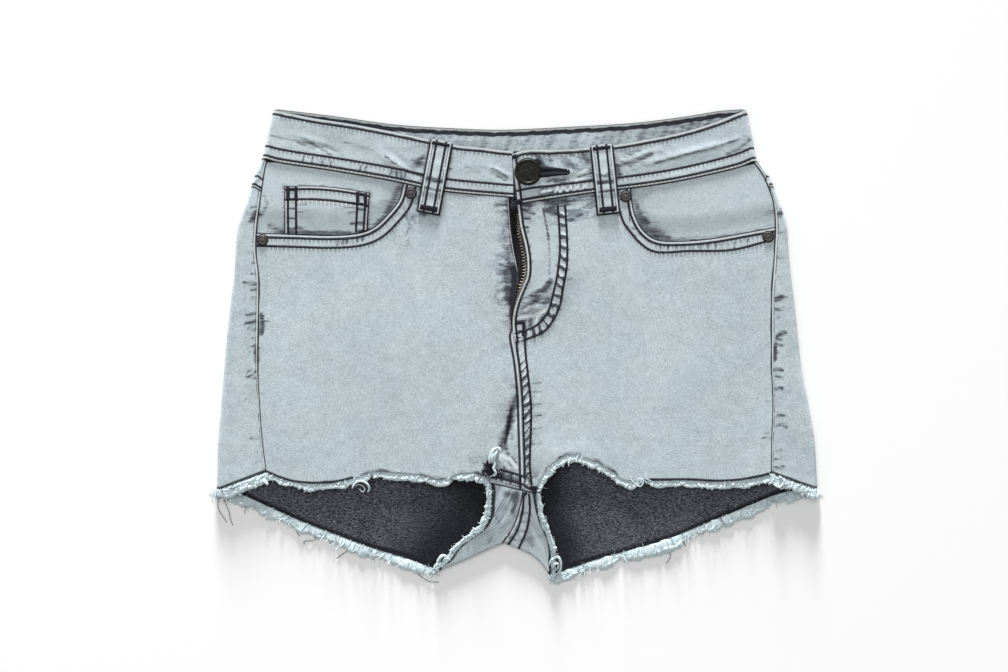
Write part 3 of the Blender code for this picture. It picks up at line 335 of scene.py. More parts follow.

# Strokes on the cloth that faces up: dark, or pale where the strength is below 0. Most are stains of the
# wash; those noted below paint shade.
# columns: half width, strength, then x and y of each point
STROKES = [
    # right side seam
    (1.2, 0.5, -199.8, 96.2, -196.1, 95.5), (1.1, 0.7, -196.1, 101.4, -191.7, 102.9),
    (2.2, 1.6, -195.2, 92.0, -192.6, 96.9), (1.0, 0.45, -200.5, 88.8, -196.8, 91.0),
    (0.7, 0.6, -196.8, 85.1, -193.9, 85.1), (0.7, 0.5, -197.6, 77.0, -194.6, 77.0),
    (0.9, 0.35, -201.3, 68.1, -194.6, 68.1), (0.7, 0.5, -196.1, 59.9, -193.1, 59.9),
    (0.7, 0.45, -196.8, 51.8, -193.1, 51.8), (1.1, 1.0, -202.0, 44.8, -192.0, 44.8),
    (0.9, 0.75, -196.8, 40.3, -192.4, 40.7), (0.7, 0.8, -196.8, 33.6, -192.4, 33.6),
    (1.1, 0.85, -200.5, 20.7, -197.6, 22.6, -193.1, 22.2), (1.4, 0.95, -200.5, 15.5, -192.4, 16.3),
    (1.0, 0.8, -199.1, 11.1, -193.1, 11.1), (1.4, 1.3, -189.1, 22.2, -188.3, 14.8, -189.1, 8.1),
    (0.8, 0.5, -188.0, 16.6, -183.5, 17.0), (0.8, 0.45, -188.0, 12.6, -184.3, 11.8),
    (0.9, 0.9, -195.7, 4.1, -195.0, 3.7), (0.8, 0.7, -198.3, -1.1, -193.1, -1.1),
    (1.7, 1.4, -192.4, -3.0, -192.8, -8.1, -192.4, -12.6), (0.7, 0.6, -198.3, -6.7, -196.8, -6.7),
    (0.9, 0.85, -199.8, -20.0, -192.4, -20.4), (1.0, 0.75, -200.5, -23.9, -193.1, -24.3),
    (0.7, 0.45, -201.3, -40.7, -197.6, -42.2, -193.1, -44.4), (0.7, 0.6, -196.1, -62.2, -193.1, -61.8),
    (1.0, 0.6, -197.6, -70.3, -192.4, -70.3), (0.7, 0.4, -194.6, -81.4, -190.2, -80.7),
    (0.7, 0.4, -193.1, -87.3, -190.2, -87.3),
    # left side seam
    (2.5, 0.95, 194.6, 96.2, 197.6, 99.2), (2.2, 0.35, 185.0, 96.2, 190.2, 97.7),
    (1.0, 0.45, 193.5, 81.9, 198.3, 82.1), (0.9, 0.55, 192.8, 64.4, 197.6, 64.4),
    (0.8, 0.4, 192.8, 50.5, 196.1, 50.5), (0.7, 0.45, 192.8, 44.6, 196.8, 44.8),
    (2.2, 1.0, 191.7, 32.6, 194.6, 34.4), (1.1, 0.45, 195.4, 34.8, 199.8, 34.0),
    (1.0, 0.75, 191.3, 25.5, 197.6, 25.9), (0.8, 0.6, 192.0, 19.2, 194.2, 19.2),
    (1.3, 0.95, 191.7, 5.2, 194.6, 7.4, 199.1, 8.1), (1.0, 0.85, 191.7, 3.0, 196.1, 3.7),
    (0.9, 0.65, 192.8, -0.7, 196.8, -0.7), (0.7, 0.5, 192.4, -5.9, 196.1, -5.9),
    (1.1, 1.4, 191.1, -0.7, 191.1, -11.8), (1.2, 1.05, 190.2, -18.9, 196.4, -18.9),
    (1.0, 0.75, 190.6, -24.1, 196.4, -24.4), (1.3, 0.95, 190.9, -33.3, 196.1, -32.6),
    (1.1, 0.4, 196.1, -34.0, 202.0, -35.5), (1.2, 0.75, 192.8, -52.5, 197.6, -52.9),
    (1.0, 0.75, 192.0, -60.7, 196.1, -59.2, 199.8, -61.4), (0.9, 0.65, 192.0, -78.9, 196.1, -78.9),
    (0.9, 0.75, 191.3, -84.7, 195.4, -84.7), (1.1, 0.85, 190.6, -91.3, 197.6, -91.3),
    (0.7, 0.65, 181.3, -69.6, 188.0, -68.8), (0.7, 0.4, 182.8, -65.9, 187.2, -65.9),
    (0.7, 0.35, 183.5, -34.0, 188.0, -34.0), (0.7, 0.35, 183.5, -42.2, 188.0, -42.2),
    # waistband, right part; the strokes just left of the right loop are partly its painted shadow, partly
    # stain
    (1.0, 0.4, -182.0, 153.9, -163.5, 150.2, -150.2, 148.0),
    (1.1, 0.5, -159.1, 152.4, -144.3, 144.3, -137.6, 139.9), (1.0, 0.5, -162.1, 148.7, -150.2, 144.3),
    (1.0, 0.4, -142.4, 147.3, -128.8, 139.9), (0.9, 0.9, -97.7, 139.5, -91.0, 133.6, -80.7, 127.6),
    (1.2, 0.8, -80.7, 127.6, -70.3, 124.7), (2.4, 0.75, -73.3, 133.9, -69.6, 138.4),
    (1.5, 0.5, -77.7, 136.2, -71.8, 131.7), (1.0, 0.4, -38.5, 131.3, -27.4, 127.6),
    (0.9, 0.8, -18.5, 129.8, -12.6, 127.3, -6.7, 122.8), (0.9, 0.6, -15.5, 124.3, -8.1, 121.0),
    (1.0, 0.35, -127.3, 149.5, -107.3, 143.6), (1.0, 0.35, -59.9, 133.9, -48.1, 128.8),
    (0.7, 0.8, -157.8, 139.5, -158.4, 134.7), (0.7, 0.8, -151.0, 138.0, -151.6, 133.2),
    (0.7, 0.8, -144.0, 136.6, -144.4, 132.1), (0.7, 0.8, -137.9, 135.7, -137.9, 131.1),
    (0.7, 0.8, -115.6, 132.4, -116.3, 128.0), (0.7, 0.8, -111.5, 131.7, -112.0, 127.3),
    (0.7, 0.8, -92.6, 129.1, -94.1, 124.0), (0.7, 0.8, -89.5, 128.3, -88.8, 123.6),
    (0.7, 0.8, -85.8, 127.6, -85.8, 122.8), (0.7, 0.8, -82.1, 126.8, -83.6, 122.4),
    # waistband, left part; the last stroke is painted shadow beside the button
    (2.4, 0.9, 18.5, 111.4, 34.0, 113.0, 52.0, 115.6), (0.8, -1.5, 18.2, 112.4, 25.0, 113.6),
    (1.6, 0.55, 74.0, 131.3, 81.4, 133.6, 99.2, 141.0), (1.9, 0.75, 73.3, 131.0, 76.2, 125.1),
    (1.2, 0.5, 83.6, 131.7, 100.6, 140.4),
    (1.0, 0.6, 102.1, 133.6, 121.4, 139.1, 143.6, 144.3, 165.0, 151.7),
    (0.9, 0.4, 98.4, 132.5, 105.1, 134.7), (1.3, 0.6, 155.4, 140.6, 164.3, 144.3, 171.7, 150.2),
    (1.3, 0.5, 167.6, 153.9, 172.4, 151.7), (1.0, 0.35, 107.6, 150.6, 113.2, 146.1),
    (2.5, 0.65, 48.1, 142.8, 51.8, 135.4), (1.9, 0.5, 23.7, 139.9, 25.2, 135.4),
    (3.3, 0.35, 34.0, 134.7, 43.7, 129.5), (1.3, 0.65, 7.4, 140.6, 14.8, 139.1),
    (1.0, 0.75, 28.1, 120.2, 42.2, 123.2, 56.2, 126.2), (1.0, 0.7, 22.2, 119.9, 29.6, 122.8),
    (1.0, 0.8, 17.8, 114.7, 31.8, 118.0, 56.2, 121.4), (1.1, 0.5, 19.2, 128.8, 22.9, 131.7),
    (1.1, -0.9, 37.4, 121.4, 51.8, 129.1), (0.9, -0.6, 43.7, 120.6, 55.5, 125.1),
    (1.2, -0.5, 28.1, 131.7, 32.6, 137.6), (2.0, 1.5, 16.3, 136.2, 19.2, 131.0),
    # front left, below the waistband
    (3.0, 0.45, 37.7, 104.3, 46.6, 106.6, 55.5, 108.0), (1.5, 0.45, 38.5, 91.8, 47.4, 95.5),
    (0.9, 0.7, 36.3, 91.8, 42.2, 91.4), (0.8, 0.6, 37.4, 78.7, 41.4, 79.2),
    (0.8, 0.6, 36.3, 47.5, 40.7, 48.1), (1.3, 0.4, 48.8, 100.6, 55.5, 104.3),
    (2.4, 1.2, 20.0, 107.0, 28.1, 104.0, 35.5, 105.4), (1.6, 0.8, 25.0, 100.6, 30.0, 97.0),
    (2.4, 0.8, 22.2, 98.4, 28.9, 96.2), (2.2, 0.95, 4.4, 104.3, 9.6, 102.1),
    (1.4, 0.9, 4.4, 99.2, 8.6, 97.4, 12.3, 96.7), (1.1, 0.8, 4.6, 86.4, 8.2, 85.6),
    (1.2, 0.85, 4.2, 92.8, 9.6, 92.4), (1.6, 0.6, 9.6, 107.3, 19.2, 108.0),
    (0.9, -0.6, 12.6, 101.4, 17.0, 102.1, 21.5, 82.9), (1.0, 1.0, 19.2, 99.6, 21.1, 88.3, 23.2, 79.2),
    (1.0, 0.4, 23.2, 79.2, 24.1, 63.6, 24.1, 51.1), (1.6, 0.7, 24.9, 47.4, 18.5, 39.6, 10.4, 36.3),
    (1.0, 0.8, 8.5, 71.0, 10.0, 71.0), (1.0, 0.8, 8.5, 53.3, 10.0, 53.3),
    (0.9, 0.6, 6.7, 82.9, 8.5, 82.9),
    # foot of the fly
    (2.1, 0.75, 20.7, 40.0, 24.4, 45.1), (3.0, 0.75, 11.1, 29.6, 15.5, 34.8),
    (2.4, 0.8, 20.4, 30.3, 23.3, 32.6), (1.9, 1.0, 10.0, 17.8, 10.0, 14.1),
    (1.6, 0.9, 19.2, 20.0, 17.4, 17.0), (1.3, 0.6, 3.0, 25.9, 7.4, 28.9),
    (1.1, -1.1, 0.0, 19.8, 12.6, 20.9, 20.4, 24.6, 23.7, 26.3), (0.8, -0.9, 14.8, 19.6, 14.4, 14.1),
    (1.3, -1.2, 1.1, 12.0, 3.3, 12.2), (1.3, -1.2, 1.1, 6.1, 3.3, 6.3), (1.1, 1.2, 5.6, 14.8, 5.8, 3.7),
    (1.0, 1.0, -0.4, 9.0, 5.6, 9.6), (1.3, 1.3, 0.4, 16.3, 5.2, 16.3),
    # front right, beside the fly
    (2.9, 2.1, -2.2, 56.0, -2.2, 41.4, -4.4, 32.0), (3.4, 0.35, -8.4, 53.8, -8.0, 36.0),
    (1.2, 1.2, -3.4, 30.0, -4.6, 20.0), (1.9, 0.6, -8.1, 53.3, -7.4, 35.5),
    (1.0, 0.6, -12.6, 59.2, -5.2, 55.5), (1.0, 0.7, -10.4, 72.5, -4.4, 72.2),
    (1.9, 0.65, -15.5, 102.9, -7.4, 103.2), (1.3, 0.45, -15.5, 98.0, -7.4, 97.7),
    (3.3, 0.3, -9.2, 94.0, -8.5, 77.0), (2.5, 0.45, -6.7, 69.6, -5.2, 56.2),
    (1.8, 0.6, -4.4, 30.3, -3.0, 17.8), (0.9, -0.7, -9.6, 45.1, -4.4, 43.7),
    (0.9, -0.7, -8.9, 37.7, -3.0, 35.9), (1.0, 0.4, -14.8, 44.4, -10.4, 45.9),
    (1.0, 0.4, -14.1, 32.6, -8.1, 34.0), (1.1, 0.6, -83.6, 96.9, -79.9, 89.5),
    (1.0, 0.45, -79.2, 87.3, -82.1, 80.7), (2.2, 0.45, -71.0, 99.2, -68.8, 96.2),
    (1.8, 0.55, -73.3, 108.8, -71.8, 103.6),
    # pocket facings and coin pocket; the strokes along the mouths are partly painted shade under the front's
    # mouth edge, partly stain
    (0.8, -1.6, -169.6, 105.4, -153.0, 105.9, -136.4, 104.6, -112.6, 101.8),
    (2.6, 0.55, -88.8, 114.0, -92.5, 103.6, -98.4, 94.0, -105.8, 86.6),
    (1.8, 0.6, -105.8, 85.1, -114.7, 81.8), (1.3, 0.5, -189.4, 94.7, -185.7, 101.4),
    (2.2, 0.6, -182.8, 87.3, -173.2, 83.6), (1.6, 0.5, -173.2, 82.5, -138.4, 81.4),
    (1.5, 0.35, -187.2, 109.5, -184.3, 103.6), (3.6, 0.7, 91.5, 94.7, 95.2, 86.6, 102.6, 79.7),
    (5.0, 0.3, 93.5, 90.7, 98.2, 85.6, 108.6, 81.7), (2.5, 0.6, 103.6, 79.9, 111.7, 78.1),
    (1.5, 0.35, 111.7, 77.0, 135.4, 76.6, 177.6, 81.4), (1.8, 0.45, 88.8, 103.6, 91.0, 96.9),
    (1.0, 0.7, -169.8, 100.1, -164.7, 100.1), (0.8, 0.8, -169.8, 93.0, -164.7, 93.0),
    (1.0, 0.9, -169.8, 85.2, -164.7, 85.2), (1.1, 0.8, -117.1, 99.5, -111.7, 99.5),
    (1.3, 1.0, -117.1, 89.7, -111.7, 89.8), (0.9, 0.8, -117.1, 83.6, -111.7, 83.6),
    (1.0, 0.45, -127.3, 101.0, -118.4, 100.6), (1.2, 0.5, -124.3, 96.9, -118.4, 97.3),
    (1.2, 0.7, -122.8, 88.8, -118.0, 89.5), (1.0, 0.45, -163.5, 97.7, -157.6, 97.7),
    (1.6, 0.55, -163.5, 86.6, -158.4, 84.4), (1.5, 0.5, -156.1, 82.9, -123.6, 82.1),
    (0.9, 0.4, -163.5, 102.9, -156.1, 103.2),
    # ends of the left pocket mouth
    (0.8, 0.6, 80.7, 87.3, 86.6, 85.1), (0.8, 0.5, 85.1, 82.1, 88.1, 79.2),
    (0.7, 0.7, 82.9, 97.7, 83.6, 90.3),
    # crotch; the dark strokes along the crease below the fly, down to y -83, paint its shade
    (1.8, 0.55, 0.0, -38.5, -3.7, -48.8), (0.9, 1.6, -4.0, -47.0, -5.2, -54.0),
    (1.3, 2.2, -5.2, -54.0, -7.2, -66.0), (0.8, 1.5, -7.2, -66.0, -8.8, -73.0),
    (3.4, 0.45, -2.4, -42.0, -7.2, -60.0, -11.0, -74.0), (2.2, 0.6, -8.9, -71.8, -12.6, -78.4),
    (2.4, 0.35, -20.0, -84.0, -34.0, -86.5), (2.0, 0.35, 0.6, -20.0, 0.8, -46.0),
    (1.8, 0.5, -8.5, -75.5, -6.3, -82.9), (1.0, 0.5, -5.2, -30.3, 0.0, -31.8),
    (1.6, 0.35, -3.0, -56.2, -3.7, -71.0), (0.8, -1.3, -12.6, -82.1, -4.9, -85.5, 0.2, -91.9),
    (0.7, 0.9, -3.9, -83.7, 0.6, -89.4), (0.7, 1.0, 5.0, -95.6, 8.6, -99.6, 10.6, -104.5),
    (1.0, -0.8, -13.3, -84.4, -9.6, -88.8, -3.7, -93.2), (1.0, -0.6, -5.2, -84.4, -0.7, -91.0),
    (1.0, 0.55, -11.1, -85.8, -8.9, -93.2), (1.0, 0.5, -5.9, -87.3, -3.0, -94.7),
    (1.0, 1.1, -10.7, -94.3, -11.5, -100.6), (1.0, 1.0, -4.4, -96.2, -4.8, -102.9),
    (1.0, 1.0, 2.6, -98.4, 3.0, -105.1), (2.6, 0.85, -10.4, -97.4, 0.7, -101.4),
    (1.7, 1.5, 11.5, -106.9, 13.7, -108.8), (2.4, 0.75, -8.0, -111.0, -1.0, -112.0),
    (2.0, 0.65, 0.0, -114.5, -3.2, -124.0), (2.5, 0.55, -3.0, -115.4, 0.0, -111.0),
    (3.3, 0.3, -12.6, -122.8, -8.9, -119.1), (1.2, 0.45, -20.7, -146.5, -17.8, -142.8),
    (1.9, 0.3, 11.1, -143.6, 18.5, -142.1), (1.8, 0.4, -15.5, -128.0, -12.6, -133.2),
    (1.0, 0.55, 3.0, -125.1, 9.6, -125.1), (1.0, 0.55, 2.2, -131.5, 8.9, -131.7),
    (1.0, 0.55, -0.7, -137.6, 6.7, -139.1), (1.0, 0.55, -3.7, -144.3, 3.0, -146.5),
    (1.5, 0.5, 7.4, -143.6, 11.8, -149.5), (1.6, 0.4, -7.4, -145.8, -3.0, -141.3),
]

# Bars of like strokes. columns: half width, strength, how far each goes in x and y, where they start
BARS = [
    (0.6, 0.85, (0.22, -4.86), [
      (-133.2, 78.0), (-131.0, 78.7), (-128.8, 78.7), (-126.5, 79.1), (-124.3, 79.5), (-121.4, 79.8),
      (-118.4, 80.2), (-114.7, 81.0)]),
    (0.6, 0.75, (0.0, -4.89), [
      (105.8, 74.7), (111.7, 74.3), (117.7, 74.3), (123.6, 74.3), (129.5, 73.9), (135.4, 73.9),
      (141.3, 74.3), (147.3, 74.7), (151.7, 75.0), (156.1, 75.4), (160.6, 75.8), (165.8, 76.5),
      (170.9, 77.3)]),
    (0.9, 0.55, (6.7, 1.1), [
      (11.1, -29.6), (11.1, -35.9), (11.1, -45.1), (11.1, -54.0), (11.1, -62.9), (11.1, -74.0)]),
]

# The pale zigzag between the lower rows of the waistband's left part
ZIGZAG_WIDTH = 0.8
ZIGZAG_STRENGTH = -1.5
ZIGZAG = [(28.2, 112.2), (29.6, 115.6), (32.0, 112.4), (34.4, 116.2), (37.2, 113.0), (39.6, 116.0),
          (42.2, 113.0), (44.4, 116.4), (47.0, 113.2), (50.2, 117.0), (53.4, 114.0)]

# Paler, smoother places.
# columns: x, y, half length, half width, turn in degrees, strength
BLEACHED = [
    (12.0, 68.0, 9.0, 32.0, 0.0, 0.9),
    (27.0, 72.0, 4.0, 26.0, 0.0, 0.6),
    (-100.0, -20.0, 70.0, 60.0, 0.0, 0.25),
    (110.0, -20.0, 60.0, 60.0, 0.0, 0.2),
    (14.0, 25.5, 10.0, 1.6, 10.0, 0.8),
]

# Cloudy places, veined by the wash.
# columns: x, y, half length, half width, turn in degrees, strength
MARBLED = [
    (42.0, 136.0, 26.0, 12.0, 0.0, 0.6),
    (34.0, 98.0, 26.0, 8.0, 4.0, 1.1),
    (34.0, 117.0, 26.0, 6.0, 7.0, 0.4),
    (-9.0, 44.0, 7.0, 34.0, 0.0, 0.9),
    (13.0, 26.0, 12.0, 12.0, 0.0, 0.9),
    (-6.0, 98.0, 8.0, 9.0, 0.0, 0.8),
    (-82.0, 90.0, 8.0, 20.0, -20.0, 0.6),
    (-66.0, 100.0, 10.0, 8.0, 0.0, 0.5),
    (0.0, -55.0, 14.0, 40.0, 0.0, 0.35),
    (-4.0, -128.0, 26.0, 22.0, 0.0, 0.5),
    (0.0, -99.0, 18.0, 8.0, 0.0, 0.7),
    (96.0, 90.0, 9.0, 10.0, 20.0, 0.4),
    (-98.0, 96.0, 8.0, 12.0, -20.0, 0.3),
    (-70.0, 132.0, 12.0, 10.0, -30.0, 0.5),
    (90.0, 140.0, 20.0, 8.0, 16.0, 0.5),
]

# Rolled-up white threads. columns: radius, height of the ends, rise, points
CURLS = [
    (2.1, 6.3, 0.7, [(-18.2, -87.4), (-17.6, -84.0), (-16.2, -80.8), (-14.4, -78.6)]),
    (1.2, 6.8, 0.7, [(-20.4, -88.0), (-19.4, -82.6), (-16.8, -78.0), (-13.2, -77.4), (-12.2, -80.6)]),
    (0.9, 7.0, 0.6, [(-17.4, -85.6), (-16.2, -88.6), (-17.2, -92.2), (-15.6, -95.4), (-17.4, -98.0)]),
    (0.4, 6.9, 0.6, [(-17.8, -92.4), (-15.6, -91.2), (-16.2, -94.6), (-18.0, -97.0), (-20.4, -98.2)]),
    (1.0, 1.4, 2.0, [(24.6, -171.0), (23.4, -164.6), (26.4, -159.4), (30.6, -158.0), (32.6, -163.0),
                     (31.6, -168.6), (28.0, -171.8)]),
    (0.8, 2.2, 2.0, [(26.0, -168.6), (27.6, -164.0), (30.2, -162.4), (30.2, -166.4), (27.8, -167.6)]),
    (1.2, 1.6, 1.6, [(-58.6, -166.0), (-58.2, -160.8), (-55.6, -157.2), (-52.8, -157.8), (-53.0, -161.8)]),
    (0.8, 5.9, 0.8, [(-122.1, -106.8), (-119.1, -102.6), (-115.4, -101.4), (-111.0, -103.2), (-109.2, -106.9),
                     (-110.6, -109.9)]),
    (0.6, 6.0, 0.6, [(-119.9, -105.3), (-116.9, -104.0), (-114.0, -105.1), (-112.5, -108.0), (-114.7, -109.2),
                     (-116.9, -106.9)]),
    (0.9, 5.4, 0.8, [(188.7, -97.7), (190.2, -103.6), (194.6, -105.8), (197.6, -101.4), (193.9, -97.7)]),
    (0.7, 5.7, 0.6, [(84.0, -99.6), (87.6, -103.6), (91.4, -105.4), (93.6, -101.8), (90.6, -99.4),
                     (88.4, -101.8)]),
    (0.6, 5.8, 0.5, [(95.6, -95.2), (95.8, -99.6), (99.4, -101.4)]),
]

# Places of the front hems without fringe: x, half width
FRINGE_GAPS = [(-107.6, 1.4), (-49.2, 1.6), (94.0, 5.0), (-30.5, 1.2), (60.6, 1.2)]

# Fringes of the hems. columns: part, length, droop, thin threads a millimetre, gaps
FRINGES = [
    ("front", 7.6, 0.35, 0.5, FRINGE_GAPS),
    ("back", 10.6, 0.0, 2.4, []),
]

# Rolls of cloth along a frayed edge, in shares of the fringe's width.
# columns: middle, half width, lift, sides, flatness, wobble of the width, of the middle, tone, tip
ROLLS = [
    (0.5, 0.5, 0.0, 12, 0.2, 0.12, 0.0, 0.7, 0.4),
    (0.3, 0.13, 0.3, 8, 0.5, 0.35, 0.1, 0.6, 0.3),
    (0.78, 0.2, 0.2, 8, 0.5, 0.35, 0.1, 0.86, 0.8),
]
ROLL_PITCH = 0.6
STRAND_RINGS = 8
LOCK_SWELL = np.array([0.4, 0.8, 1.0, 1.1, 1.1, 1.0, 0.85, 0.45])

# Tangles of dark thread. columns: x, y, half width, half height, number of threads
TUFTS = [
    (-20.4, -92.8, 4.4, 5.0, 120),
    (-16.2, -96.6, 3.6, 3.4, 60),
    (12.8, -107.4, 2.2, 1.8, 40),
]

# Loose dark threads at the hems
LOOSE_THREADS = [
    [(-220.5, -114.0), (-222.0, -119.1), (-220.5, -124.3), (-215.3, -132.5)],
    [(-217.6, -115.4), (-213.9, -123.6), (-212.4, -130.2), (-210.9, -134.7)],
    [(-199.8, -116.9), (-202.8, -119.1), (-204.6, -121.4)],
    [(-199.1, -116.2), (-201.3, -120.6), (-202.0, -125.8)],
    [(-161.3, -132.5), (-164.3, -136.9), (-161.3, -142.8)],
    [(-151.0, -145.8), (-157.6, -146.5), (-158.0, -148.7)],
    [(-148.7, -142.8), (-150.2, -145.8)],
    [(-117.7, -151.7), (-123.6, -152.4), (-133.9, -159.1)],
    [(-60.3, -159.5), (-67.7, -164.4), (-75.0, -166.8), (-72.6, -171.2), (-65.2, -176.0), (-57.9, -176.6)],
    [(111.7, -151.0), (114.0, -156.9), (111.0, -162.8)],
    [(122.8, -142.8), (124.3, -148.0), (125.1, -150.2)],
    [(161.3, -124.3), (151.7, -131.0), (139.1, -136.2), (129.5, -139.9)],
    [(79.9, -158.4), (85.1, -160.6), (91.0, -157.6)],
]

# Turned metal. columns: how far in from the rim, height over the cloth
BUTTON_CAP = [(0.9, 0.0), (0.35, 0.12), (0.08, 0.45), (0.0, 0.85), (0.08, 1.3), (0.35, 1.68), (0.75, 1.85),
              (1.15, 1.84), (1.5, 1.66), (1.75, 1.42), (2.1, 1.36), (2.6, 1.39), (3.8, 1.47), (5.2, 1.55),
              (6.8, 1.6), (8.0, 1.62), (9.3, 1.63)]
RIVET_CAP = [(3.4, 0.0), (0.15, 0.0), (0.0, 0.2), (0.05, 0.5), (0.3, 0.85), (0.7, 1.02), (1.0, 1.0),
             (1.3, 0.86), (1.6, 0.84), (2.2, 0.92), (2.6, 1.02), (3.1, 1.1), (3.62, 1.12)]

# Slabs of the zip slider. columns: half width at the top and foot, y of the top and foot, lowest, highest
SLIDER_SLABS = [
    (2.5, 1.7, 4.6, -4.6, 0.0, 0.7),
    (2.5, 1.7, 4.4, -4.4, 1.5, 2.1),
    (0.7, 0.7, 3.0, 1.2, 0.6, 1.6),
    (0.8, 0.8, 2.6, -2.4, 2.0, 2.6),
    (1.2, 1.6, -1.6, -13.0, 1.75, 2.3),
]

# Colours, linear
DENIM_GREY = (0.416, 0.476, 0.497)
DENIM_BLUE = (0.407, 0.475, 0.510)
DENIM_BLEACHED = (0.49, 0.545, 0.56)
DENIM_STAIN = (0.115, 0.125, 0.155)
PUCKER_PALE = (0.53, 0.575, 0.59)
CHALK = (0.60, 0.645, 0.66)
# the two dark colours below serve both stains of the wash and painted shade of creases and edges
SMUDGE_AND_SHADE = (0.03, 0.033, 0.045)
SMUDGE_AND_SHADE_DEEP = (0.014, 0.015, 0.022)
EDGE_PALE = (0.53, 0.57, 0.58)
# the colour below is dark dye along the rows, and painted shadow at edges, seams, hems and beside what lies
# on the cloth
DARK_DYE_AND_SHADE = (0.012, 0.013, 0.020)
INSIDE_DARK = (0.023, 0.027, 0.034)
INSIDE_PALE = (0.052, 0.058, 0.067)
INSIDE_STROKE = (0.175, 0.19, 0.21)
INSIDE_GAP = (0.012, 0.014, 0.019)
INSIDE_SHADE = (0.007, 0.008, 0.011)
THREAD_DARK = (0.006, 0.007, 0.012)
THREAD_PALE = (0.022, 0.024, 0.036)
FRAY_GREY = (0.36, 0.45, 0.485)
FRAY_PALE = (0.515, 0.605, 0.63)
FRAY_ROOT = (0.30, 0.39, 0.43)
FRAY_WHITE = (0.54, 0.63, 0.65)
FRAY_SHADE = (0.22, 0.29, 0.33)
FRAY_DARK = (0.05, 0.055, 0.07)
TAPE_DARK = (0.009, 0.009, 0.012)
TAPE_PALE = (0.026, 0.026, 0.032)
FLOOR_TONE = 0.84
TWILL_SLANT = 0.75
RIB_PITCH = 0.9          # weave of the zip tape
CORD_PITCH = 1.5


def find_place():
    """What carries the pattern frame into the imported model's, from where the button is."""
    low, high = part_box("button")
    middle = (low + high) / (2 * MM)
    return np.array([middle.x - BUTTON_SPOT[0], middle.y - BUTTON_SPOT[1], 0.0])


PLACE = find_place()


# ---------------------------------------------------------------- lines and grids

def soft_step(t):
    """0 up to 0, 1 from 1, and smooth between."""
    t = np.clip(t, 0.0, 1.0)
    return t * t * (3.0 - 2.0 * t)


def mix(a, b, t):
    return a + (b - a) * t


def unit(vectors):
    return vectors / np.maximum(np.linalg.norm(vectors, axis=-1, keepdims=True), 1e-9)


def bend(points, steps=10):
    """A Catmull-Rom curve through the points, as a fine chain."""
    spots = np.asarray(points, float)
    padded = np.vstack([2 * spots[:1] - spots[1:2], spots, 2 * spots[-1:] - spots[-2:-1]])
    a, b, c, d = padded[:-3], padded[1:-2], padded[2:-1], padded[3:]
    t = (np.arange(steps) / steps)[:, None, None]
    curve = 0.5 * (2 * b + (c - a) * t + (2 * a - 5 * b + 4 * c - d) * t ** 2
                   + (3 * b - a - 3 * c + d) * t ** 3)
    return np.vstack([curve.transpose(1, 0, 2).reshape(-1, spots.shape[1]), spots[-1:]])


def run_of(chain):
    """How far along a chain each of its points lies."""
    return np.concatenate([[0.0], np.cumsum(np.linalg.norm(np.diff(chain, axis=0), axis=1))])


def walk(chain, shares):
    """Points at the given shares of a chain's length."""
    run = run_of(chain)
    goal = np.asarray(shares) * run[-1]
    return np.column_stack([np.interp(goal, run, chain[:, k]) for k in range(chain.shape[1])])


def line(points, shares):
    """Places on the smooth line through the points, at shares of its length."""
    return walk(bend(points), shares)


def joined(stretches, shares):
    """Points of lines laid end to end. Each stretch is (chain, share at its end)."""
    found = np.zeros((len(shares), 2))
    begin = 0.0
    for chain, end in stretches:
        mine = (shares >= begin) & (shares <= end)
        found[mine] = walk(chain, (shares[mine] - begin) / (end - begin))
        begin = end
    return found


def pinned(points, start=None, end=None):
    """Move the ends of a line to given places, fading out along it."""
    points = points.copy()
    run = run_of(points)
    if start is not None:
        points += np.outer(1 - soft_step(run / PIN_REACH), np.asarray(start) - points[0])
    if end is not None:
        points += np.outer(1 - soft_step((run[-1] - run) / PIN_REACH), np.asarray(end) - points[-1])
    return points


def column(table, index, y):
    """Read a column of a table whose rows go down in y, smoothly."""
    chain = bend([(row[0], row[index]) for row in table], 6)[::-1]
    return np.interp(y, chain[:, 0], chain[:, 1])


def down_column(table, index, y_top, y_foot, shares):
    """Places down a line that is a column of a table."""
    levels = mix(y_top, y_foot, shares)
    return np.column_stack([column(table, index, levels), levels])


def stretch(points, x_from, x_to):
    """The part of a line between two x places, as a chain from x_from to x_to."""
    chain = bend(points)
    if chain[0, 0] > chain[-1, 0]:
        chain = chain[::-1]
    low, high = np.clip(sorted((x_from, x_to)), chain[0, 0], chain[-1, 0])
    ends = [(x, np.interp(x, chain[:, 0], chain[:, 1])) for x in (low, high)]
    kept = chain[(chain[:, 0] > low) & (chain[:, 0] < high)]
    found = np.vstack([ends[:1], kept, ends[1:]])
    return found if x_from < x_to else found[::-1]


def offset(chain, distance):
    """A chain beside another, on its left where the distance is positive."""
    way = unit(np.gradient(chain, axis=0))
    return chain + np.column_stack([-way[:, 1], way[:, 0]]) * distance


def patch(top, foot, start, end, u, v):
    """Fill four boundary lines with a grid of points, grid[i, j], i along the top."""
    u = u[:, None, None]
    v = v[None, :, None]
    across = mix(top[:, None], foot[:, None], v)
    along = mix(start[None], end[None], u)
    corners = mix(mix(top[0], top[-1], u), mix(foot[0], foot[-1], u), v)
    return across + along - corners


def shares_of(count, length, first=True, last=True):
    """Even shares of a length, with closer ones where an edge is rounded."""
    close = np.array(EDGE_STEPS) / length
    even = np.linspace(0.0, 1.0, count + 1)
    if first:
        even = np.concatenate([[0.0], close, even[even > 1.0 / length]])
    if last:
        even = np.concatenate([even[even < 1.0 - 1.0 / length], 1.0 - close[::-1], [1.0]])
    return even


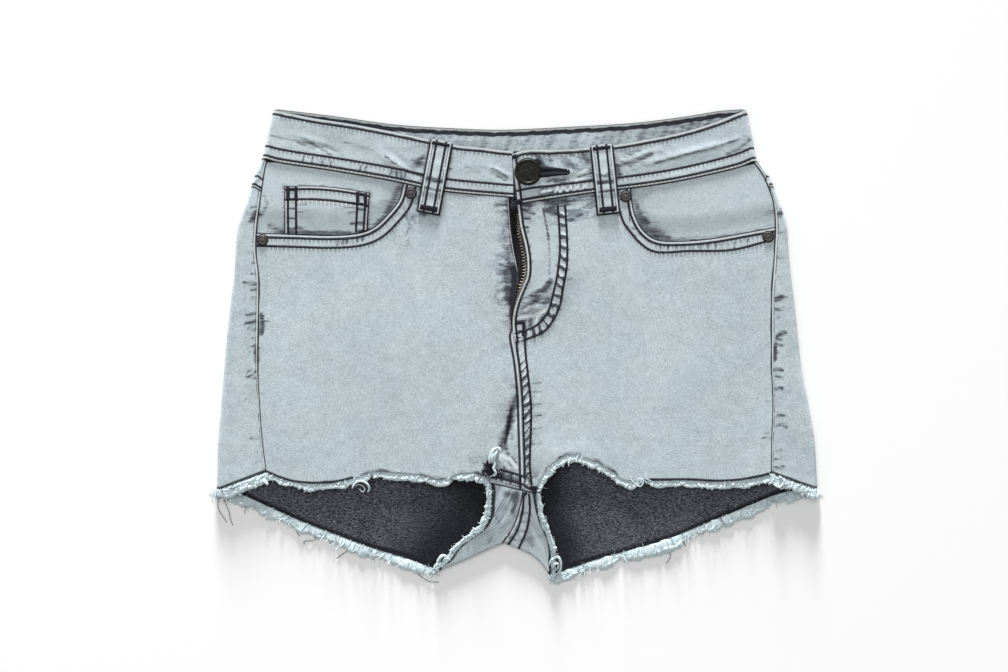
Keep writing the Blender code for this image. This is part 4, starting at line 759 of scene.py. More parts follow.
def nearest(chain, x, y):
    """Distance from each point to a chain, the run along it, and the side: positive on its left."""
    chain = walk(chain, np.linspace(0.0, 1.0, max(2, int(run_of(chain)[-1] / 4.0) + 1)))
    run = run_of(chain)
    far = np.full(x.shape, 1e9)
    along = np.zeros(x.shape)
    side = np.ones(x.shape)
    for k, (a, b) in enumerate(zip(chain, chain[1:])):
        way = b - a
        length = max(np.hypot(*way), 1e-9)
        part = np.clip(((x - a[0]) * way[0] + (y - a[1]) * way[1]) / length ** 2, 0.0, 1.0)
        gap = np.hypot(x - a[0] - part * way[0], y - a[1] - part * way[1])
        closer = gap < far
        far[closer] = gap[closer]
        along[closer] = (run[k] + part * length)[closer]
        side[closer] = np.sign(way[0] * (y - a[1]) - way[1] * (x - a[0]))[closer]
    return far, along, side


def gap_to(chain, x, y):
    """Distance from each point to a chain."""
    return nearest(chain, x, y)[0]


def past_ends(chain, run, x, y):
    """How far points whose nearest place is an end of the chain lie beyond it; elsewhere -FAR."""
    total = run_of(chain)[-1]
    over = np.full(x.shape, -FAR)
    for end, before, mine in ((chain[0], chain[1], run <= 1e-6), (chain[-1], chain[-2], run >= total - 0.05)):
        way = unit(end - before)
        over = np.where(mine, (x - end[0]) * way[0] + (y - end[1]) * way[1], over)
    return over


# ---------------------------------------------------------------- how the front lies

def soft_ovals(table, x, y):
    """The sum of a table's soft ovals: x, y, half length, half width, turn in degrees, rise."""
    total = np.zeros(np.shape(x))
    for at_x, at_y, half_long, half_wide, turn, rise in table:
        c = cos(radians(turn))
        s = sin(radians(turn))
        along = ((x - at_x) * c + (y - at_y) * s) / half_long
        across = ((y - at_y) * c - (x - at_x) * s) / half_wide
        total += rise * np.exp(-along * along - across * across)
    return total


def lay(x, y):
    """Height of the outer face of the front."""
    return LAY + soft_ovals(FOLDS, x, y)


def fly_gain(y):
    """How far the fly stands open: 0 at the foot of the zip."""
    return soft_step((y - ZIP_FOOT_Y) / FLY_SLOPE_Y)


def fly_rise(x, y):
    """How far the left fly lifts the front beside it."""
    from_edge = x - column(CENTRE_FRONT, 2, y)
    return FLY_RISE * fly_gain(y) * soft_step((FLY_FLAT + FLY_SLOPE - from_edge) / FLY_SLOPE)


def front_height(x, y, side):
    return lay(x, y) + (fly_rise(x, y) if side > 0 else 0.0)


def band_height(x, y, side):
    if side > 0:
        return lay(x, y) + BAND_PROUD + fly_rise(x, y)
    return lay(x, y) + BAND_PROUD - UNDERLAP_DIP * soft_step((x - UNDERLAP_SLOPE_X) / UNDERLAP_SLOPE)


def level_at(points, x):
    """The y of a line that runs across the garment, at x."""
    chain = bend(points)
    order = np.argsort(chain[:, 0])
    return np.interp(x, chain[order, 0], chain[order, 1])


def facing_height(x, y, side):
    mouth = POCKET_MOUTHS[side]
    clear = np.minimum(y - level_at(mouth, x), side * (x - mouth[-1][0]))
    return lay(x, y) - CLOTH - REST_GAP + FACING_RISE * soft_step((clear - FACING_LOW) / FACING_RAMP)


def tape_height(x, y):
    past_edge = x - column(CENTRE_FRONT, 1, y)
    lift = TAPE_LIFT * FLY_RISE * fly_gain(y) * soft_step(past_edge / TAPE_SLOPE)
    return lay(x, y) - CLOTH - REST_GAP + lift


def side_name(side):
    return "left" if side > 0 else "right"


def side_columns(side):
    return (3, 4) if side > 0 else (1, 2)


def zip_middle(y):
    return column(CENTRE_FRONT, 2, y) - 2.0


# ---------------------------------------------------------------- wear of the cloth and painted shade

def all_strokes():
    """Half width, strength and points of every stroke, most of them stains of washing and some painted shade.
    """
    found = [(width, strength, np.reshape(spots, (-1, 2))) for width, strength, *spots in STROKES]
    for width, strength, reach, starts in BARS:
        found += [(width, strength, np.array([start, np.add(start, reach)])) for start in starts]
    return found + [(ZIGZAG_WIDTH, ZIGZAG_STRENGTH, np.array(ends)) for ends in zip(ZIGZAG, ZIGZAG[1:])]


ALL_STROKES = all_strokes()


def bar_count(run, seed):
    """Puckers counted along a seam; they are unevenly spaced."""
    slow = np.sin(run / 17.0 + 1.7 * seed) + 0.6 * np.sin(run / 7.3 + 0.9 * seed)
    return run / BAR_PITCH + 0.2 * slow + 0.37 * seed


class WearAndShade:
    """What the shader reads at each point of a sheet: rows of stitches, worn edges, marks of washing and
    painted shade.

    ladder is 0 on the rows of a double seam and negative between them, single is 0 on a lone row, count is
    the number of puckers along the seam and bars is how strong they are. smudge is how dark washing and the
    painted shade of creases and edges left the cloth, or how chalky where it is below 0; bleach and marble
    are how pale and how veined. edge is the distance from the sheet's own edge, and under that from what lies
    on it, a seam or a hem, where a painted shadow line is drawn.
    """

    def __init__(self, skin, marble=0.0):
        self.x = x = skin[..., 0]
        self.y = skin[..., 1]
        self.ladder = np.full(x.shape, FAR)
        self.single = np.full(x.shape, FAR)
        self.count = np.zeros(x.shape)
        self.bars = np.zeros(x.shape)
        self.marble = np.full(x.shape, marble)
        self.edge = np.full(x.shape, FAR)
        self.under = np.full(x.shape, FAR)
        self.smudge_and_shade = np.zeros(x.shape)
        self.bleach = np.zeros(x.shape)

    def wash_and_shade(self, facing_up):
        """Marks of the tables, mostly stains of washing and some painted shade of creases and edges: as
        listed where the cloth faces up, and like ones underneath.
        """
        x = np.where(facing_up, self.x, -self.x)
        for width, strength, spots in ALL_STROKES:
            low, high = spots.min(axis=0) - STROKE_FADE * width, spots.max(axis=0) + STROKE_FADE * width
            close = (x > low[0]) & (x < high[0]) & (self.y > low[1]) & (self.y < high[1])
            if close.any():
                gap = gap_to(spots, x[close], self.y[close])
                self.smudge_and_shade[close] += strength * np.exp(-(gap / width) ** 2)
        self.bleach += soft_ovals(BLEACHED, x, self.y)
        self.marble += soft_ovals(MARBLED, x, self.y)

    def add_ladder(self, beyond, run, seed, strength=1.0, where=True):
        """A double seam, which `beyond` is below 0 inside."""
        nearer = (beyond < self.ladder) & where
        self.count = np.where(nearer, bar_count(run, seed), self.count)
        self.bars = np.where(nearer, strength, self.bars)
        self.ladder = np.where(nearer, beyond, self.ladder)

    def add_double(self, chain, other, seed=0.0, strength=1.0, slant=0.0, spread=1.0):
        """Two rows of stitches with puckers between them, which lie `spread` times as far apart."""
        first, run, side = nearest(chain, self.x, self.y)
        second, _, other_side = nearest(other, self.x, self.y)
        middle = 0.5 * (chain[len(chain) // 2] + other[len(other) // 2])
        _, _, way = nearest(chain, middle[:1], middle[1:])
        across = first * side * way[0]
        between = np.minimum(across, -second * other_side * way[0])
        between = np.where(past_ends(chain, run, self.x, self.y) > 0.3, -FAR, between)
        self.add_ladder(-between, (run + slant * np.clip(across, 0.0, 9.0)) / spread, seed, strength)

    def add_single(self, distance, run, seed):
        """A lone row beside an edge: distance is signed, negative towards the edge."""
        nearer = np.abs(distance) < np.abs(self.ladder)
        self.count = np.where(nearer, bar_count(run, seed), self.count)
        self.single = np.minimum(self.single, distance)

    def add_edge(self, distance, where=True):
        self.edge = np.minimum(self.edge, np.where(where, distance, FAR))

    # A painted shadow line where the distance is near 0: beside what lies on the cloth, in seam grooves and
    # along rolled hems.
    def add_painted_shadow_line(self, distance, where=True):
        self.under = np.minimum(self.under, np.where(where, distance, FAR))

    def add_loops(self):
        """Painted shadow outlines of the belt loops on what they cross, with soft dark shading round them,
        partly painted shade, partly stain.
        """
        for _, top_x, top_y, foot_x, foot_y in LOOPS:
            top, foot, across = loop_frame(top_x, top_y, foot_x, foot_y)
            middle = 0.5 * (top + foot)
            from_x, from_y = self.x - middle[0], self.y - middle[1]
            aside = np.abs(from_x * across[0] + from_y * across[1]) - LOOP_WIDTH / 2
            along = np.abs(from_y * across[0] - from_x * across[1]) - np.hypot(*(foot - top)) / 2
            self.add_painted_shadow_line(np.maximum(aside, along) - 0.4)
            self.add_stain_and_shade(np.maximum(np.maximum(aside, along), 0.0), 2.4, 0.5)

    # Painted shadow rings round the rivets and the button, and one beside the slit.
    def add_discs(self, discs):
        for x, y, radius in discs:
            self.add_painted_shadow_line(np.hypot(self.x - x, self.y - y) - radius)

    def add_stain_and_shade(self, distance, width, strength):
        """A soft dark line, used for stains along seams and for painted shade beside edges and under what
        lies on the cloth.
        """
        self.smudge_and_shade += strength * np.exp(-(distance / width) ** 2)

    def relief(self):
        """How far the stitches pull the outer face down and the puckers push it up."""
        inside = soft_step(-self.ladder / 1.2 + 0.5) * self.bars
        row = np.minimum(np.abs(self.ladder), np.abs(self.single))
        return inside * (0.17 - 0.15 * np.cos(2 * pi * self.count)) - 0.14 * np.exp(-(row / 0.6) ** 2)

    def creased(self):
        """The relief with the creases of the front."""
        return np.maximum(self.relief() + soft_ovals(CREASES, self.x, self.y), -CREASE_DEPTH)


def rounded(*distances):
    """How far a face drops near edges that are rounded over."""
    inside = [np.clip(EDGE_ROLL - distance, 0.0, EDGE_ROLL) for distance in distances]
    return sum(EDGE_ROLL - np.sqrt(EDGE_ROLL * EDGE_ROLL - part * part) for part in inside)


# ---------------------------------------------------------------- making objects

def add_object(name, points, blocks, looks, kinds=None, crease=50.0):
    """A mesh object from points in the pattern frame and arrays of faces."""
    loops = np.concatenate([block.ravel() for block in blocks])
    sizes = np.concatenate([np.full(len(block), block.shape[1]) for block in blocks])
    mesh = bpy.data.meshes.new(name)
    mesh.vertices.add(len(points))
    mesh.vertices.foreach_set("co", ((points + PLACE) * MM).astype(np.float32).ravel())
    mesh.loops.add(len(loops))
    mesh.loops.foreach_set("vertex_index", loops.astype(np.int32))
    mesh.polygons.add(len(sizes))
    mesh.polygons.foreach_set("loop_start", (np.cumsum(sizes) - sizes).astype(np.int32))
    for look in looks:
        mesh.materials.append(look)
    if kinds is not None:
        mesh.polygons.foreach_set("material_index", kinds.astype(np.int32))
    mesh.update(calc_edges=True)
    mesh.validate()
    mesh.shade_smooth()
    mesh.set_sharp_from_angle(angle=radians(crease))
    made = bpy.data.objects.new(name, mesh)
    bpy.context.scene.collection.objects.link(made)
    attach(made, "root")
    return made


def give(made, name, values):
    """Store a number or a vector for each point of a mesh."""
    kind = "FLOAT_VECTOR" if values.ndim > 1 else "FLOAT"
    stored = made.data.attributes.new(name, kind, "POINT")
    field = "vector" if values.ndim > 1 else "value"
    stored.data.foreach_set(field, values.astype(np.float32).ravel())


def grid_normals(skin, cells, flip):
    """Directions square to a grid at its points, from the cells that are kept."""
    cross = np.cross(skin[1:, 1:] - skin[:-1, :-1], skin[:-1, 1:] - skin[1:, :-1]) * cells[..., None]
    total = np.zeros(skin.shape)
    total[:-1, :-1] += cross
    total[1:, :-1] += cross
    total[:-1, 1:] += cross
    total[1:, 1:] += cross
    return unit(total) * flip


def grid_faces(index, cells, flip):
    """The quads of the kept cells of a grid."""
    i, j = np.nonzero(cells)
    faces = np.column_stack([index[i, j], index[i + 1, j], index[i + 1, j + 1], index[i, j + 1]])
    return faces if flip > 0 else faces[:, ::-1]


def rim_faces(faces, over):
    """Quads that join the open edges of the outer faces to the inner ones, which lie `over` further on."""
    edges = np.concatenate([np.column_stack([faces[:, k], faces[:, (k + 1) % 4]]) for k in range(4)])
    big = edges.max() + 1
    forward = edges[:, 0] * big + edges[:, 1]
    backward = edges[:, 1] * big + edges[:, 0]
    a, b = edges[~np.isin(forward, backward)].T
    return np.column_stack([b, a, a + over, b + over])


class Shell:
    """A wall of cloth from a grid of points on its outer face."""

    def __init__(self, name, skin, wall, flip, looks, wear_and_shade, cells=None, inner_wear_and_shade=None,
                 relief=0.0, drop=0.0, inner_drop=0.0):
        cells = np.ones((skin.shape[0] - 1, skin.shape[1] - 1), bool) if cells is None else cells
        self.normal = grid_normals(skin, cells, flip)
        outer = skin + self.normal * np.asarray(relief - drop)[..., None]
        inner = skin - self.normal * np.asarray(wall + inner_drop)[..., None]
        count = skin.shape[0] * skin.shape[1]
        index = np.arange(count).reshape(skin.shape[:2])
        upper = grid_faces(index, cells, flip)
        rim = rim_faces(upper, count)
        lower = upper[:, ::-1] + count
        used = np.unique(upper)
        fresh = np.full(2 * count, -1)
        fresh[used] = np.arange(len(used))
        fresh[used + count] = np.arange(len(used)) + len(used)
        points = np.vstack([outer.reshape(-1, 3)[used], inner.reshape(-1, 3)[used]])
        faces = fresh[np.vstack([upper, lower, rim])]
        kinds = np.concatenate([np.zeros(len(upper)), np.ones(len(lower)), np.zeros(len(rim))])
        if len(looks) == 1:
            kinds[:] = 0
        self.made = add_object(name, points, [faces], looks, kinds)
        self.tree = BVHTree.FromPolygons(points.tolist(), fresh[upper].tolist())
        self.store_wear_and_shade(skin, wear_and_shade, inner_wear_and_shade or WearAndShade(skin), used)

    def store_wear_and_shade(self, skin, wear_and_shade, inner, used):
        """Give the shader the place of each point on the flat cloth, how worn and marked it is, and its
        painted shade.
        """
        run_u, _, run_v, _ = arcs(skin)
        sign = np.sign(skin[1, 0, 0] - skin[0, 0, 0]) or 1.0
        cloth = np.dstack([skin[:1, :, 0] + sign * run_u, skin[:, :1, 1] - run_v, 0.0 * run_u])
        flat = cloth.reshape(-1, 3)[used]
        give(self.made, "cloth", np.vstack([flat, flat]))
        pairs = (("seam", ("ladder", "single", "count")), ("wash_and_shade", ("smudge_and_shade", "bleach", "edge")),
                 ("near", ("under", "bars", "marble")))
        for name, fields in pairs:
            outer = np.column_stack([getattr(wear_and_shade, field).ravel()[used] for field in fields])
            under = np.column_stack([getattr(inner, field).ravel()[used] for field in fields])
            give(self.made, name, np.vstack([outer, under]))

    def touch(self, spots, from_above=True):
        """Where upright lines through flat spots meet the outer face, and its directions; NaN off it."""
        places = np.full((len(spots), 3), np.nan)
        ways = np.full((len(spots), 3), np.nan)
        start, way = (60.0, -1.0) if from_above else (-60.0, 1.0)
        for k, (x, y) in enumerate(spots):
            hit, normal, _, _ = self.tree.ray_cast(Vector((x, y, start)), Vector((0, 0, way)))
            if hit is not None and normal.z * way < 0:
                places[k] = hit
                ways[k] = normal
        return places, ways


def tubes(paths, radii, sides, up=(0.0, 0.0, 1.0), flat=1.0):
    """Closed tubes along paths[n, ring], of radii[n, ring]: points and blocks of faces."""
    way = unit(np.gradient(paths, axis=1))
    side = unit(np.cross(way, np.broadcast_to(np.asarray(up, float), way.shape)))
    lift = np.cross(side, way)
    turn = 2 * pi * np.arange(sides) / sides
    ring = side[:, :, None] * np.cos(turn)[:, None] + lift[:, :, None] * np.sin(turn)[:, None] * flat
    points = paths[:, :, None] + ring * radii[:, :, None, None]
    index = np.arange(points[..., 0].size).reshape(points.shape[:3])
    a, b = index[:, :-1], index[:, 1:]
    quads = np.stack([a, b, np.roll(b, -1, axis=2), np.roll(a, -1, axis=2)], axis=-1).reshape(-1, 4)
    return points.reshape(-1, 3), [quads, index[:, 0], index[:, -1, ::-1]]


def arcs(skin):
    """Lengths along a grid: from its start and to its end, from its top and to its foot."""
    along = np.linalg.norm(np.diff(skin, axis=0), axis=2)
    across = np.linalg.norm(np.diff(skin, axis=1), axis=2)
    run_u = np.vstack([np.zeros((1, along.shape[1])), np.cumsum(along, axis=0)])
    run_v = np.hstack([np.zeros((across.shape[0], 1)), np.cumsum(across, axis=1)])
    return run_u, run_u[-1:] - run_u, run_v, run_v[:, -1:] - run_v


def raised(flat, height):
    """A flat grid at the heights of a function of x and y."""
    return np.dstack([flat[..., 0], flat[..., 1], height(flat[..., 0], flat[..., 1])])


def cut_edge(edge, inner, up, over):
    """A raw edge as points, with the directions outward and up and how far in the threads lie at each."""
    run = unit(np.gradient(edge, axis=0))
    out = edge - inner
    out -= run * np.sum(out * run, axis=1, keepdims=True)
    return edge, unit(out), up, over


# ---------------------------------------------------------------- back

def half_line(points, side, shares):
    """The part of a line on one side of its middle point, from the middle outwards."""
    middle_x = points[len(points) // 2][0]
    chain = bend(points)
    half = chain[(chain[:, 0] - middle_x) * side > -1e-4]
    return walk(half if side > 0 else half[::-1], shares)


def ring_over(spots, out, height, steps):
    """Points round a fold whose outer edges are the spots, from the ground up: ring[k] for each spot."""
    radius = np.broadcast_to(np.asarray(height) / 2, len(spots))
    ring = []
    for turn in np.linspace(-pi / 2, pi / 2, steps + 1):
        flat = spots - out * (radius * (1 - cos(turn)))[:, None]
        ring.append(np.column_stack([flat, radius * (1 + sin(turn))]))
    return ring


def wrap_side(body, edge, seam, side, strip_shares):
    """Carry each row of a back piece round the side and over the front to the side seam."""
    ring = ring_over(edge, np.array([side, 0.0]), lay(edge[:, 0], edge[:, 1]), SIDE_STEPS)
    start = ring[-1][:, :2]
    ranks = [body] + [rank[None] for rank in ring[1:]]
    for t in strip_shares[1:]:
        flat = mix(start, seam, t)
        ranks.append(np.column_stack([flat, lay(flat[:, 0], flat[:, 1])])[None])
    return np.concatenate(ranks)


def back_wear_and_shade(skin, to_seam, from_top, marble):
    """How a back panel or yoke is worn and shaded, the same for both: painted shade under the top edge, and a
    worn strip and a painted shadow line at the side seam.
    """
    wear_and_shade = WearAndShade(skin, marble)
    wear_and_shade.wash_and_shade(soft_step((skin[..., 2] - 0.3) / 3.0) > 0.5)
    wear_and_shade.add_painted_shadow_line(from_top)
    wear_and_shade.add_stain_and_shade(from_top, 3.0, 0.2)
    wear_and_shade.add_edge(to_seam + 0.2 + 0.7 * soft_step((5.0 - wear_and_shade.y) / 40.0), to_seam < 30.0)
    wear_and_shade.add_painted_shadow_line(np.abs(to_seam - 1.7) + 0.8 + 0.3 * np.sin(wear_and_shade.y / 3.7), to_seam < 30.0)
    return wear_and_shade


def back_body(side, crotch, out, crotch_shares, v):
    """The back on the ground, from the yoke down to the hem and the crotch, and round the side."""
    fold_index, seam_index = side_columns(side)
    crotch_share = 6 / 19
    inset = crotch - out * CROTCH_FOLD / 2
    hem_shares = np.linspace(0.0, 1.0, 91)
    hem = pinned(line(BACK_HEMS[side], hem_shares), start=inset[-1])
    u = np.concatenate([crotch_shares * crotch_share, mix(crotch_share, 1.0, hem_shares[1:])])
    top = half_line(YOKE_SEAM, side, u)
    start = pinned(line(CENTRE_BACK[1:], v), end=inset[0])
    side_edge = down_column(SIDES, fold_index, top[-1, 1], hem[-1, 1], v)
    end = side_edge - np.column_stack([side * lay(*side_edge.T) / 2, 0.0 * v])
    top = pinned(top, end=end[0])
    foot = pinned(np.vstack([inset, hem[1:]]), end=end[-1])
    body = raised(patch(top, foot, start, end, u, v), lambda x, y: 0.0 * x)
    seam = down_column(SIDES, seam_index, SEAM_YOKE_Y, SEAM_HEM_Y[side], v)
    return wrap_side(body, side_edge, seam, side, shares_of(22, 22.0, False, True))


def crotch_flap(side, crotch, out, crotch_shares):
    """The rest of the back, round the crotch fold and up over the front to the inseam."""
    ring = ring_over(crotch, out, CROTCH_FOLD, CROTCH_STEPS)
    base = ring[-1][:, :2]
    flap_shares = shares_of(34, 44.0, False, True)
    flap_hem = pinned(line(FLAP_HEMS[side], flap_shares), start=base[-1])
    flap_centre = pinned(line(CENTRE_BACK_FLAP, flap_shares), start=base[0])
    inseam = line(INSEAMS[side][::-1], crotch_shares)
    flat = patch(base, inseam, flap_centre, flap_hem, crotch_shares, flap_shares)
    share = soft_step(flap_shares)[None, :]
    flap = raised(flat, lambda x, y: mix(CROTCH_FOLD, front_height(x, y, side), share))
    return np.concatenate([np.stack(ring[1:], axis=1), flap[:, 1:]], axis=1)


def back_cut(skin, normal, corner, rows):
    """The raw edge of a back panel: along its hem to the crotch, and on up the hem of the flap."""
    around = [(i, rows) for i in range(skin.shape[0] - 1, corner, -1)]
    around += [(corner, j) for j in range(rows, skin.shape[1])]
    inside = [(i, rows - 2) for i in range(skin.shape[0] - 1, corner, -1)]
    inside += [(corner + 2, rows - 2)] + [(corner - 2, j) for j in range(rows + 1, skin.shape[1])]
    over = np.array([FLAP_FRAY * soft_step((j - rows - 1) / 4.0) for _, j in around])
    pairs = ((skin, around), (skin, inside), (normal, around))
    return cut_edge(*(np.array([grid[key] for key in keys]) for grid, keys in pairs), over)


def back_panel(side):
    """Lies on the ground and goes round the side to the seam, and round the crotch onto the front."""
    crotch_chain = bend(CROTCH_FOLDS[side])
    crotch_shares = shares_of(36, run_of(crotch_chain)[-1], True, False)
    crotch = walk(crotch_chain, crotch_shares)
    way = unit(np.gradient(crotch, axis=0))
    out = np.column_stack([-way[:, 1], way[:, 0]]) * -side
    v = shares_of(106, 185.0, True, False)
    body = back_body(side, crotch, out, crotch_shares, v)
    lower = crotch_flap(side, crotch, out, crotch_shares)
    corner, rows = len(crotch) - 1, len(v) - 1
    spare = np.repeat(lower[-1:], len(body) - len(lower), axis=0)
    skin = np.concatenate([body, np.concatenate([lower, spare])], axis=1)

    cells = np.ones((skin.shape[0] - 1, skin.shape[1] - 1), bool)
    cells[corner:, rows:] = False
    run_u, to_end, run_v, to_foot = arcs(skin)
    past_corner = np.arange(skin.shape[0])[:, None] > corner
    on_body = np.arange(skin.shape[1])[None, :] <= rows
    on_flap = ~on_body & ~past_corner
    on_top = skin[..., 2] > ON_TOP
    to_seam = np.where(on_body, to_end, FAR)
    to_inseam = np.where(on_flap, to_foot, FAR)
    to_hem = np.where(on_body & past_corner, run_v[:, rows:rows + 1] - run_v, FAR)
    to_hem = np.where(on_flap, run_u[corner:corner + 1] - run_u, to_hem)

    wear_and_shade = back_wear_and_shade(skin, to_seam, run_v, 0.12)
    if side > 0:
        beyond = np.maximum(SEAM_ROWS[0] - run_u, run_u - SEAM_ROWS[1])
        wear_and_shade.add_ladder(beyond, run_v, 4.0, 0.8, on_body)
        wear_and_shade.add_edge(run_u, on_body | on_flap)
    else:
        # the left back lies over the right at the centre back: a painted shadow line there
        wear_and_shade.add_painted_shadow_line(run_u, on_body | on_flap)
    flap = WearAndShade(skin)
    flap.add_double(*(bend(chain) for chain in FLAP_ROWS[:2]), 2.0, 0.45)
    wear_and_shade.add_ladder(flap.ladder, run_v, 2.0, 0.45, on_flap)
    # painted shadow lines along the hem of the flap, along the hem where it lies up on the front, and at the
    # inseam
    wear_and_shade.add_painted_shadow_line(np.abs(to_hem - 1.5) - 0.7 + 0.3 * np.sin(run_v / 3.3), on_flap)
    wear_and_shade.add_painted_shadow_line(np.abs(to_hem - 0.8) - 0.5, on_body & on_top)
    wear_and_shade.add_painted_shadow_line(to_inseam, on_flap)

    # the inside: a dark line along its own hem, and painted shade where the front's hem and the flap lie over
    # it
    inner = WearAndShade(skin)
    inner.add_stain_and_shade(to_hem - 0.8, 1.9, 1.3)
    inner.add_stain_and_shade(gap_to(bend(FRONT_HEMS[side]), wear_and_shade.x, wear_and_shade.y), 9.0, 0.5)
    inner.add_stain_and_shade(gap_to(bend(FLAP_HEMS[side]), wear_and_shade.x, wear_and_shade.y), 28.0 if side > 0 else 40.0, 1.0)
    shell = Shell("back_panel_cloth_" + side_name(side), skin, CLOTH, side, [DENIM, DENIM_INSIDE], wear_and_shade,
                  cells, inner, relief=np.where(on_top, wear_and_shade.creased(), 0.0),
                  drop=rounded(to_seam, to_inseam, run_v, run_u))
    shell.cut = back_cut(skin, shell.normal, corner, rows)
    return shell


def back_yoke(side):
    """Lies under the waistband, from the centre back round the side to the side seam."""
    fold_index, seam_index = side_columns(side)
    u = shares_of(108, 185.0, True, False)
    v = shares_of(30, 42.0, True, True)
    top = half_line(BAND_FOOT_BACK, side, u)
    foot = half_line(YOKE_SEAM, side, u)
    start = line(CENTRE_BACK[:2], v)
    side_edge = down_column(SIDES, fold_index, top[-1, 1], foot[-1, 1], v)
    end = side_edge - np.column_stack([side * lay(*side_edge.T) / 2, 0.0 * v])
    top = pinned(top, end=end[0])
    foot = pinned(foot, end=end[-1])
    body = raised(patch(top, foot, start, end, u, v), lambda x, y: 0.0 * x)
    seam = down_column(SIDES, seam_index, SEAM_TOP_Y[side], SEAM_YOKE_Y, v)
    skin = wrap_side(body, side_edge, seam, side, shares_of(10, 8.0, False, True))
    run_u, to_seam, run_v, to_foot = arcs(skin)
    wear_and_shade = back_wear_and_shade(skin, to_seam, run_v, 0.25)
    wear_and_shade.add_ladder(np.maximum(SEAM_ROWS[0] - to_foot, to_foot - SEAM_ROWS[1]), run_u, 7.0, 0.8)
    wear_and_shade.add_edge(to_foot)
    return Shell("back_yoke_cloth_" + side_name(side), skin, CLOTH, side, [DENIM, DENIM_INSIDE], wear_and_shade,
                 relief=np.where(skin[..., 2] > ON_TOP, wear_and_shade.relief(), 0.0),
                 drop=rounded(to_seam, to_foot, run_v, run_u))


# ---------------------------------------------------------------- front

def mouth_rows(side):
    """The two rows of stitches along a pocket mouth."""
    mouth = bend(POCKET_MOUTHS[side])
    first = offset(mouth, side * MOUTH_ROWS[0])
    second = bend(MOUTH_ROW_LEFT)[::-1] if side > 0 else offset(mouth, side * MOUTH_ROWS[1])
    return first, second


def fly_edge_row():
    """The row along the left fly edge, which goes on beside the seam below."""
    levels = np.linspace(103.0, -106.0, 60)
    aside = FLY_ROW - (FLY_ROW - CENTRE_ROW_ASIDE) * soft_step((12.0 - levels) / 20.0)
    return np.column_stack([column(CENTRE_FRONT, 2, levels) + aside, levels])


